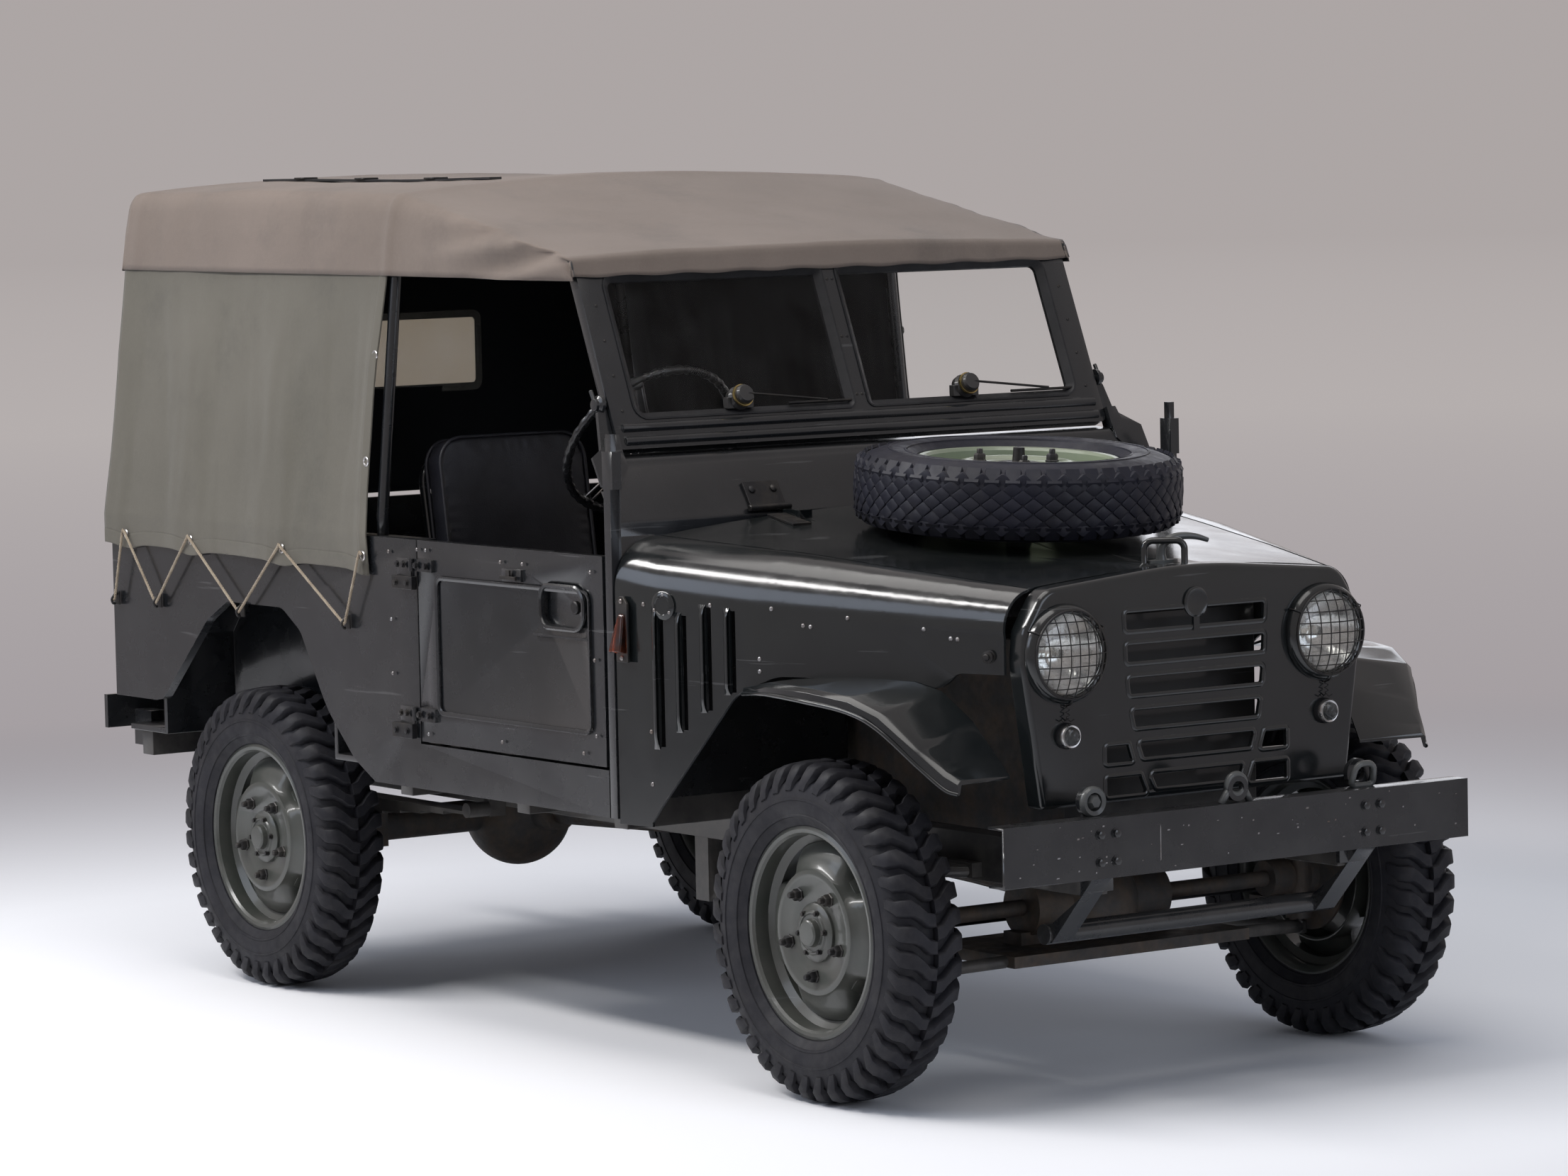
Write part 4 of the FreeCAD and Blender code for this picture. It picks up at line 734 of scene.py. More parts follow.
# %% [markdown]
# ### A tree for everything that repeats
# Screws, hooks, nuts and lugs are one small shape set down many times. This Geometry Nodes tree
# puts a shape on every point of a carrier mesh and stands it along that point's stored direction.
# Its inputs have names, so the same tree serves a ring of wheel nuts and a row of rivets.


# %% Geometry Nodes tree: one shape at many places
def stamping_tree():
    tree = bpy.data.node_groups.new("set_at_places", "GeometryNodeTree")
    face = tree.interface
    face.new_socket("Places", in_out="INPUT", socket_type="NodeSocketGeometry")
    face.new_socket("Shape", in_out="INPUT", socket_type="NodeSocketObject")
    face.new_socket("Finish", in_out="INPUT", socket_type="NodeSocketMaterial")
    face.new_socket("Result", in_out="OUTPUT", socket_type="NodeSocketGeometry")
    nodes, links = tree.nodes, tree.links
    given, result = nodes.new("NodeGroupInput"), nodes.new("NodeGroupOutput")
    shape = nodes.new("GeometryNodeObjectInfo")
    links.new(given.outputs["Shape"], shape.inputs["Object"])
    # each point stores two directions: what the shape stands along, and where its front faces
    stand = nodes.new("GeometryNodeInputNamedAttribute")
    front = nodes.new("GeometryNodeInputNamedAttribute")
    for reader, stored in ((stand, "stand"), (front, "front")):
        reader.data_type = "FLOAT_VECTOR"
        reader.inputs["Name"].default_value = stored
    turn = nodes.new("FunctionNodeAxesToRotation")
    turn.primary_axis, turn.secondary_axis = "Z", "X"
    links.new(stand.outputs["Attribute"], turn.inputs["Primary Axis"])
    links.new(front.outputs["Attribute"], turn.inputs["Secondary Axis"])
    copies = nodes.new("GeometryNodeInstanceOnPoints")
    real = nodes.new("GeometryNodeRealizeInstances")
    paint = nodes.new("GeometryNodeSetMaterial")
    links.new(given.outputs["Places"], copies.inputs["Points"])
    links.new(shape.outputs["Geometry"], copies.inputs["Instance"])
    links.new(turn.outputs["Rotation"], copies.inputs["Rotation"])
    links.new(copies.outputs["Instances"], real.inputs["Geometry"])
    links.new(real.outputs["Geometry"], paint.inputs["Geometry"])
    links.new(given.outputs["Finish"], paint.inputs["Material"])
    links.new(paint.outputs["Geometry"], result.inputs["Result"])
    return tree


SET_AT_PLACES = stamping_tree()


def stamped(name, shape, places, finish, body="chassis"):
    """One shape at every place; places: (point, direction it stands along, direction its front faces)."""
    pattern = placed(name + "_shape", mesh_from(name + "_shape", shape))
    carrier = bpy.data.meshes.new(name + "_places")
    carrier.from_pydata([tuple(spot) for spot, _, _ in places], [], [])
    for stored, column in (("stand", 1), ("front", 2)):
        layer = carrier.attributes.new(stored, "FLOAT_VECTOR", "POINT")
        ways = (Vector(place[column]).normalized() for place in places)
        layer.data.foreach_set("vector", [value for way in ways for value in way])
    holder = placed(name + "_places", carrier)
    step = holder.modifiers.new("set_at_places", "NODES")
    step.node_group = SET_AT_PLACES
    for item in SET_AT_PLACES.interface.items_tree:
        if item.name in ("Shape", "Finish"):
            step[item.identifier] = pattern if item.name == "Shape" else finish
    holder.update_tag()
    seen = holder.evaluated_get(bpy.context.evaluated_depsgraph_get())
    mesh = bpy.data.meshes.new_from_object(seen)
    mesh.name = name
    for used in (holder, pattern):
        bpy.data.objects.remove(used)
    for stored in ("stand", "front"):
        if stored in mesh.attributes:
            mesh.attributes.remove(mesh.attributes[stored])
    mesh.shade_smooth()
    mesh.set_sharp_from_angle(angle=math.radians(40))
    return carried(placed(name, mesh), body, ())


def screw_head(radius):
    """Domed screw head that stands along +Z, with its slot along X."""
    work = bmesh.new()
    turned(work, [(0, -0.0005), (radius, -0.0005), (radius, radius * 0.25), (radius * 0.7, radius * 0.55),
                  (0, radius * 0.65)], (0, 0, 0), (0, 0, 1), 12)
    block(work, (-radius * 0.8, -radius * 0.12, radius * 0.5), (radius * 0.8, radius * 0.12, radius * 0.72))
    return work


def hex_bolt(radius, tall):
    """Hexagon bolt on a washer, standing along +Z."""
    work = bmesh.new()
    turned(work, [(0, -0.0005), (radius * 1.35, -0.0005), (radius * 1.35, tall * 0.2), (0, tall * 0.2)],
           (0, 0, 0), (0, 0, 1), 16)
    turned(work, [(0, tall * 0.2), (radius, tall * 0.2), (radius, tall * 0.9), (radius * 0.8, tall),
                  (0, tall)],
           (0, 0, 0), (0, 0, 1), 6)
    return work


def both_sides(places):
    """Places and their mirror images across the car's middle."""
    return places + [tuple(Vector((x, -y, z)) for x, y, z in place) for place in places]


# %% [markdown]
# ## Body panels
# The tub, doors, scuttle and bonnet are folded sheet. Their forms come from the frame; here they
# get rolled edges and paint. A copy is used because a bevel needs merged corners, which the frame's
# mesh doesn't have.

# %% Roll the edges of the panels
# frame node, finish, width of the rolled edge
PANELS = [
    ("tub_sides", BODY_PAINT, 0.003),
    ("tub_floor", BODY_PAINT, 0.002),
    ("door_right", BODY_PAINT, 0.003),
    ("door_left", BODY_PAINT, 0.003),
    ("tailgate", BODY_PAINT, 0.003),
    ("bonnet_sides", BONNET_PAINT, 0.0012),
    ("bonnet_lid", BONNET_PAINT, 0.0012),
    ("grille_shell", BONNET_PAINT, 0.003),
    ("front_wings", BONNET_PAINT, 0.0015),
    ("cowl", BODY_PAINT, 0.002),
    ("windscreen_frame", BODY_PAINT, 0.003),
    ("front_bumper", BODY_PAINT, 0.002),
    ("rear_bumpers", BODY_PAINT, 0.002),
    ("seat_frames", BODY_PAINT, 0.0),
    ("canopy_frame", BODY_PAINT, 0.0),
    ("steering_column", BLACKENED, 0.0),
    ("chassis_frame", CHASSIS_BLACK, 0.002),
    ("front_suspension", CAST_IRON, 0.0015),
    ("wishbones", CHASSIS_BLACK, 0.0015),
    ("torsion_bars", CHASSIS_BLACK, 0.0),
    ("propeller_shafts", CAST_IRON, 0.0),
    ("knuckle_right", CAST_IRON, 0.0015),
    ("knuckle_left", CAST_IRON, 0.0015),
    ("tie_rod", BLACKENED, 0.001),
    ("rear_axle", CAST_IRON, 0.0015),
    ("rear_springs", CHASSIS_BLACK, 0.0012),
    ("driveline", CAST_IRON, 0.004),
    ("engine_block", CAST_IRON, 0.006),
    ("radiator", CHASSIS_BLACK, 0.003),
    ("exhaust", RUSTED, 0.0),
    ("windscreen_glass", PANE, 0.0),
    ("rear_window", CELLULOID, 0.0),
]
for node, finish, width in PANELS:
    rolled(node, finish, width)
print("panels dressed:", len(PANELS))

# %% [markdown]
# ## Wheels and tyres
# A cross-country tyre is a round carcass with lugs that meet in a chevron and step down over the
# shoulder. The carcass is a turned profile. One pair of lugs is modelled by stations, and the tree
# above sets it down forty times round the wheel. Modelling every lug by hand would give the same
# form at forty times the work.

# %% One pair of lugs
tyre_low, tyre_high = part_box("tyre_front_right")
TYRE_RADIUS = (tyre_high.z - tyre_low.z) / 2
TYRE_HALF = (tyre_high.y - tyre_low.y) / 2
LUG_COUNT = 40
# stations of a lug from the middle outward: top y, top radius, root y, root radius, angle
# (degrees), half width
LUG_STATIONS = [
    (0.001, 0.0, 0.001, 0.018, 0.0, 0.0135),
    (0.018, 0.0, 0.018, 0.018, 0.6, 0.0145),
    (0.034, 0.0015, 0.034, 0.019, 3.2, 0.0155),
    (TYRE_HALF - 0.034, 0.003, TYRE_HALF - 0.037, 0.021, 5.0, 0.0165),
    (TYRE_HALF - 0.018, 0.009, TYRE_HALF - 0.026, 0.026, 5.2, 0.0160),
    (TYRE_HALF - 0.0075, 0.024, TYRE_HALF - 0.014, 0.034, 5.6, 0.0150),
    (TYRE_HALF - 0.0040, 0.040, TYRE_HALF - 0.010, 0.044, 7.4, 0.0130),
    (TYRE_HALF - 0.0040, 0.056, TYRE_HALF - 0.008, 0.058, 8.4, 0.0095),
]


def lug_pair():
    """A lug of each side, in the wheel's own axes: x outward from the axle, z along it."""
    work = bmesh.new()
    for side, lag in ((1, 0.0), (-1, 180.0 / LUG_COUNT)):
        rings = []
        for top_y, top_drop, root_y, root_drop, angle, half in LUG_STATIONS:
            ring = []
            for reach, spread, lift in (("root", -1.25, 0), ("top", -1.0, 0.0025), ("top", -0.82, 0),
                                        ("top", 0.82, 0), ("top", 1.0, 0.0025), ("root", 1.25, 0)):
                along = root_y if reach == "root" else top_y
                radius = TYRE_RADIUS - (root_drop if reach == "root" else top_drop + lift)
                turn = math.radians(angle + lag) + half * spread / TYRE_RADIUS
                ring.append(work.verts.new((radius * math.cos(turn), radius * math.sin(turn),
                                            side * along)))
            rings.append(ring)
        capped(work, rings)
    return work


# half of the carcass: distance from the middle, radius; the wall carries two moulded rings
CARCASS = [
    (0.0, TYRE_RADIUS - 0.0165), (0.035, TYRE_RADIUS - 0.0172), (TYRE_HALF - 0.036, TYRE_RADIUS - 0.020),
    (TYRE_HALF - 0.022, TYRE_RADIUS - 0.029), (TYRE_HALF - 0.011, TYRE_RADIUS - 0.044),
    (TYRE_HALF - 0.006, TYRE_RADIUS - 0.060), (TYRE_HALF - 0.0035, TYRE_RADIUS - 0.072),
    (TYRE_HALF - 0.0015, TYRE_RADIUS - 0.073), (TYRE_HALF - 0.0012, TYRE_RADIUS - 0.077),
    (TYRE_HALF - 0.0030, TYRE_RADIUS - 0.078), (TYRE_HALF - 0.0030, TYRE_RADIUS - 0.092),
    (TYRE_HALF - 0.0060, TYRE_RADIUS - 0.106), (TYRE_HALF - 0.0045, TYRE_RADIUS - 0.1075),
    (TYRE_HALF - 0.0055, TYRE_RADIUS - 0.1115), (TYRE_HALF - 0.0085, TYRE_RADIUS - 0.1125),
    (TYRE_HALF - 0.0150, TYRE_RADIUS - 0.122), (TYRE_HALF - 0.0200, TYRE_RADIUS - 0.1290),
    (TYRE_HALF - 0.0230, TYRE_RADIUS - 0.1295), (TYRE_HALF - 0.0260, TYRE_RADIUS - 0.1360),
]


def carcass(work, centre, axis, top_drop=0.0):
    """Closed ring of rubber, outer skin and a plain inner skin."""
    outer = [(radius + (top_drop if radius > TYRE_RADIUS - 0.03 else 0), along) for along,
             radius in CARCASS]
    inner = [(TYRE_RADIUS - 0.134, TYRE_HALF - 0.034), (TYRE_RADIUS - 0.115, TYRE_HALF - 0.020),
             (TYRE_RADIUS - 0.060, TYRE_HALF - 0.020), (TYRE_RADIUS - 0.035, TYRE_HALF - 0.045)]
    half = outer + inner
    mirror = [(radius, -along) for radius, along in reversed(half) if along > 0]
    loop = mirror[len(inner):] + outer + inner + mirror[:len(inner)]
    turned(work, loop + [loop[0]], centre, axis, 96)
    bmesh.ops.remove_doubles(work, verts=work.verts, dist=1e-5)


def middle_of(node):
    low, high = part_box(node)
    return (low + high) / 2


def road_tyre(corner):
    centre, body = middle_of("tyre_" + corner), "wheel_" + corner
    work = bmesh.new()
    carcass(work, centre, (0, 1, 0))
    put_on("carcass_" + corner, work, TYRE_RUBBER, body, 0, 28, ("tyre_" + corner,))
    places = [(centre, (0, -1, 0), (math.cos(turn), 0, math.sin(turn))) for turn in angles(LUG_COUNT)]
    return stamped("lugs_" + corner, lug_pair(), places, TYRE_RUBBER, body)


CORNERS = ("front_right", "front_left", "rear_right", "rear_left")
for corner in CORNERS:
    lugs = road_tyre(corner)
print("lug faces on a tyre:", len(lugs.data.polygons))

# %% [markdown]
# ### Pressed steel wheels
# The rim is a deep-well channel with a side ring; the dished disc is bitten away at four places
# next to the rim. Turning gives both, if the disc's outer radius is allowed to change with the
# angle. Nuts, studs and hub bolts then go round on circles.


# %% Rim, disc and hub
RIM_EDGE = TYRE_RADIUS - 0.1345


def rim_channel(work, centre, axis):
    """Rim with rolled flanges, a deep well and the side ring."""
    edge, half = RIM_EDGE, TYRE_HALF - 0.0225
    skin = [(edge - 0.002, -half), (edge + 0.002, -half + 0.001), (edge + 0.003, -half + 0.005),
            (edge - 0.004, -half + 0.009), (edge - 0.011, -half + 0.014), (edge - 0.012, -0.030),
            (edge - 0.028, -0.020), (edge - 0.028, 0.012), (edge - 0.012, 0.022),
            (edge - 0.011, half - 0.016),
            (edge - 0.003, half - 0.009), (edge + 0.0035, half - 0.006), (edge + 0.0035, half),
            (edge - 0.003, half + 0.003), (edge - 0.010, half + 0.0015), (edge - 0.0145, half - 0.004),
            (edge - 0.0155, half - 0.018), (edge - 0.0155, 0.026), (edge - 0.031, 0.015),
            (edge - 0.031, -0.023),
            (edge - 0.0155, -0.033), (edge - 0.0145, -half + 0.012), (edge - 0.008, -half + 0.003)]
    turned(work, skin + [skin[0]], centre, axis, 72)
    bmesh.ops.remove_doubles(work, verts=work.verts, dist=1e-5)


# disc skin: radius, distance outward from the wheel's middle
DISC = [(0.030, 0.0440), (0.062, 0.0445), (0.070, 0.0475), (0.084, 0.0500), (0.104, 0.0510),
        (0.112, 0.0545),
        (0.119, 0.0560), (0.127, 0.0535), (0.132, 0.0470), (0.150, 0.0400), (0.168, 0.0300),
        (0.181, 0.0170),
        (0.184, 0.0020)]
BITES, DISC_THICK = 4, 0.004
NUT_CIRCLE, HUB_BOLT_CIRCLE = 0.089, 0.0445


def disc(work, centre, axis):
    """Dished disc, bitten away four times at its edge."""
    axis = Vector(axis).normalized()
    turns = angles(96)
    grids = []
    for inset in (0.0, DISC_THICK):
        rows = []
        for radius, along in DISC:
            row = []
            for angle, way in zip(turns, ways_round(axis, turns)):
                gap = (angle * BITES / (2 * math.pi)) % 1 - 0.5
                bite = max(0.0, 1 - (gap / 0.17) ** 2) ** 0.5
                share = max(0.0, min(1.0, (radius - 0.128) / 0.056))
                reach = radius - 0.044 * bite * share
                drop = along - inset - 0.004 * bite * share
                row.append(work.verts.new(centre + axis * drop + way * reach))
            rows.append(row)
        grids.append(rows)
    outer, inner = grids
    bmesh.ops.recalc_face_normals(work, faces=joined(work, outer + inner[::-1], True))


def ring_places(centre, axis, radius, count, out, start=0.0):
    """Places on a circle round an axis."""
    axis = Vector(axis).normalized()
    return [(centre + axis * out + way * radius, axis, way) for way in ways_round(axis,
                                                                                  angles(count, start))]


def wheel_nut():
    """Cone nut with the stud's end showing."""
    work = bmesh.new()
    turned(work, [(0, 0), (0.0145, 0), (0.0145, 0.003), (0.0125, 0.005), (0.0125, 0.014), (0.0095, 0.018),
                  (0, 0.018)], (0, 0, 0), (0, 0, 1), 6)
    turned(work, [(0, 0.015), (0.0065, 0.015), (0.0065, 0.026), (0.005, 0.028), (0, 0.028)], (0, 0, 0),
           (0, 0, 1), 12)
    return work


def road_wheel(corner, side):
    centre, body = middle_of("tyre_" + corner), "wheel_" + corner
    axis = Vector((0, side, 0))
    work = bmesh.new()
    rim_channel(work, centre, axis)
    disc(work, centre, axis)
    # brake drum behind the disc
    turned(work, [(0.135, 0.020), (0.139, 0.012), (0.139, -0.036), (0.143, -0.040), (0.146, -0.040),
                  (0.146, 0.010), (0.140, 0.026), (0.030, 0.030), (0.030, 0.024), (0.132, 0.020),
                  (0.135, 0.020)],
           centre, axis, 48)
    put_on("rim_" + corner, work, WHEEL_PAINT, body, 0, 34, ("wheel_" + corner,))
    hub = bmesh.new()
    turned(hub, [(0, 0.040), (0.060, 0.040), (0.060, 0.050), (0.052, 0.0555), (0.046, 0.0565),
                 (0.043, 0.0600),
                 (0.040, 0.0600), (0.038, 0.0570), (0.029, 0.0570), (0.0275, 0.0690), (0.0235, 0.0720),
                 (0, 0.0730)],
           centre, axis, 40)
    put_on("hub_" + corner, hub, WHEEL_PAINT, body, 0.0008, 30)
    nuts = ring_places(centre, axis, NUT_CIRCLE, 5, 0.0495, 0.3)
    stamped("wheel_nuts_" + corner, wheel_nut(), nuts, BLACKENED, body)
    bolts = ring_places(centre, axis, HUB_BOLT_CIRCLE, 6, 0.0580, 0.1)
    stamped("hub_bolts_" + corner, hex_bolt(0.0048, 0.0075), bolts, BLACKENED, body)


for corner in CORNERS:
    road_wheel(corner, 1 if corner.endswith("left") else -1)

# %% [markdown]
# ### The spare
# The spare lies on the bonnet, tipped slightly to its slope, and wears a road tread: diamond blocks
# between slanting grooves, with short cleats over the shoulder. Its rim is pale green inside.

# %% Spare wheel and road tread
LID_SLOPE = math.radians(3.5)
SPARE_AXIS = Vector((math.sin(LID_SLOPE), 0, math.cos(LID_SLOPE)))
SPARE_CENTRE = middle_of("spare_tyre")
# blocks round the tread, and the distance between its rows
TREAD_COUNT, ROW_PITCH = 50, 0.0165


def tread_block(long, wide, tall):
    """Diamond block that stands along +Z, with its long diagonal along Y."""
    work = bmesh.new()
    rings = []
    for share, height in ((1.0, -0.003), (0.90, tall * 0.8), (0.80, tall)):
        rings.append([work.verts.new((x * wide * share, y * long * share, height))
                      for x, y in ((0.5, -0.06), (0.5, 0.06), (0.06, 0.5), (-0.06, 0.5), (-0.5, 0.06),
                                   (-0.5, -0.06), (-0.06, -0.5), (0.06, -0.5))])
    capped(work, rings)
    return work


def spare():
    work = bmesh.new()
    carcass(work, SPARE_CENTRE, SPARE_AXIS, 0.0125)
    put_on("spare_carcass", work, SPARE_RUBBER, "bonnet", 0, 28, ("spare_tyre",))
    blocks, cleats = [], []
    for row in range(-3, 4):
        lift = TYRE_RADIUS - 0.0045 - 0.0006 * row ** 2
        for way in ways_round(SPARE_AXIS, angles(TREAD_COUNT, math.pi / TREAD_COUNT if row % 2 else 0)):
            spot = SPARE_CENTRE + way * lift + SPARE_AXIS * row * ROW_PITCH
            blocks.append((spot, way, SPARE_AXIS.cross(way)))
    stamped("spare_tread", tread_block(0.031, 0.0405, 0.0035), blocks, SPARE_RUBBER, "bonnet")
    shoulder = bmesh.new()
    slab(shoulder, [(-0.0175, -0.020, -0.004), (0.0175, -0.020, -0.004), (0.0150, -0.016, 0.002),
                    (-0.0150, -0.016, 0.002)], (0, 0.034, 0))
    for side in (-1, 1):
        for way in ways_round(SPARE_AXIS, angles(TREAD_COUNT)):
            spot = SPARE_CENTRE + way * (TYRE_RADIUS - 0.0135) + SPARE_AXIS * side * (TYRE_HALF - 0.0255)
            cleats.append((spot, way * 0.80 + SPARE_AXIS * side * 0.60, SPARE_AXIS.cross(way)))
    stamped("spare_shoulder", shoulder, cleats, SPARE_RUBBER, "bonnet")
    rim = bmesh.new()
    rim_channel(rim, SPARE_CENTRE, SPARE_AXIS)
    disc(rim, SPARE_CENTRE, SPARE_AXIS)
    put_on("spare_rim", rim, SPARE_GREEN, "bonnet", 0, 34, ("spare_wheel",))
    cap = bmesh.new()
    turned(cap, [(0.040, 0.036), (0.052, 0.044), (0.046, 0.053), (0.014, 0.056), (0.012, 0.085),
                 (0, 0.087)],
           SPARE_CENTRE, SPARE_AXIS, 24)
    put_on("spare_clamp", cap, BLACKENED, "bonnet", 0.001)
    nuts = ring_places(SPARE_CENTRE, SPARE_AXIS, NUT_CIRCLE, 3, 0.0495)
    stamped("spare_nuts", wheel_nut(), nuts, BLACKENED, "bonnet")


spare()

# %% [markdown]
# ## The face of the car
# The pressed front has a raised border round each slot, a plain disc over the top slot, and two
# headlamps behind dished wire guards. A border is one small section swept round the slot's outline,
# which keeps its corners soft.


# %% Swept border
def rounded_loop(corners, plane, steps=5):
    """Loop for an outline of (across, up, corner radius); plane turns (across, up) into a car point."""
    loop = []
    count = len(corners)
    for index, (a, b, radius) in enumerate(corners):
        here = Vector((a, b))
        before = (Vector(corners[index - 1][:2]) - here).normalized()
        after = (Vector(corners[(index + 1) % count][:2]) - here).normalized()
        if radius <= 0:
            loop.append(plane(here.x, here.y))
            continue
        half = before.angle(after) / 2
        middle = here + (before + after).normalized() * (radius / math.sin(half))
        start, end = here + before * (radius / math.tan(half)), here + after * (radius / math.tan(half))
        for step in range(steps + 1):
            way = (start.lerp(end, step / steps) - middle).normalized()
            spot = middle + way * radius
            loop.append(plane(spot.x, spot.y))
    return loop


def border(work, loop, normal, section):
    """A closed section of (outward, proud) points swept along a loop that lies on a panel."""
    count = len(loop)
    middle = sum(loop, Vector()) / count
    normal = Vector(normal).normalized()
    rings = []
    for index, spot in enumerate(loop):
        out = (loop[(index + 1) % count] - loop[index - 1]).normalized().cross(normal)
        if out.dot(spot - middle) < 0:
            out = -out
        rings.append([work.verts.new(spot + out * a + normal * b) for a, b in section])
    bmesh.ops.recalc_face_normals(work, faces=joined(work, rings, True))


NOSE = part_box("grille_shell")[1].x
LIP = [(-0.0015, -0.007), (-0.0015, 0.0012), (0.0010, 0.0030), (0.0050, 0.0028), (0.0085, 0.0006),
       (0.0085, -0.004),
       (0.0010, -0.007)]
# slots: half width at the top, half width at the bottom, bottom z, top z
SLOTS_IN_FRONT = [(0.182, 0.180, 0.945, 0.982), (0.180, 0.178, 0.880, 0.917), (0.176, 0.172, 0.815, 0.850),
                  (0.168, 0.160, 0.748, 0.784), (0.152, 0.140, 0.685, 0.718), (0.122, 0.108, 0.622, 0.652)]
# small side openings: inner y at the top, inner y at the bottom, outer y, bottom z, top z
SIDE_SLOTS = [(0.178, 0.166, 0.236, 0.680, 0.716), (0.148, 0.132, 0.236, 0.614, 0.652)]


def slot_borders():
    work = bmesh.new()

    def front(across_y, up):
        return Vector((NOSE, across_y, up))

    for top, foot, low, high in SLOTS_IN_FRONT:
        loop = rounded_loop([(-foot, low, 0.006), (-top, high, 0.006), (top, high, 0.006),
                             (foot, low, 0.006)], front)
        border(work, loop, (1, 0, 0), LIP)
    for top, foot, outer, low, high in SIDE_SLOTS:
        for side in (-1, 1):
            loop = rounded_loop([(side * foot, low, 0.005), (side * top, high, 0.005),
                                 (side * outer, high, 0.005),
                                 (side * outer, low, 0.005)], front)
            border(work, loop, (1, 0, 0), LIP)
    # plain disc on its stem over the top slot
    turned(work, [(0, -0.003), (0.030, -0.003), (0.031, 0.004), (0.027, 0.007), (0.022, 0.0055),
                  (0, 0.0075)],
           (NOSE, 0, 0.992), (1, 0, 0), 40)
    block(work, (NOSE - 0.002, -0.0075, 0.935), (NOSE + 0.0045, 0.0075, 0.966))
    put_on("slot_borders", work, BONNET_PAINT, "chassis", 0, 50)


slot_borders()
print("front plane x", round(NOSE, 4))

# %% [markdown]
# ### Headlamps
# A lamp is four things: a painted rim, a silvered bowl, a bulb, and a bulging glass with upright
# flutes. The guard in front is a grid of wire bent over a shallow dome. The wires are pipes that
# stop at the guard's ring.

# %% Headlamps and guards
HEADLAMP_Y, HEADLAMP_Z = 0.338, 0.909
SIDE_LAMP_Y, SIDE_LAMP_Z = 0.337, 0.745
TAIL_LAMP_Y, TAIL_LAMP_Z = 0.640, 0.900
# distance between the wires of a guard, and the radius of its ring
WIRE_PITCH, GUARD_REACH = 0.0222, 0.0885


def side_name(side):
    return "left" if side > 0 else "right"


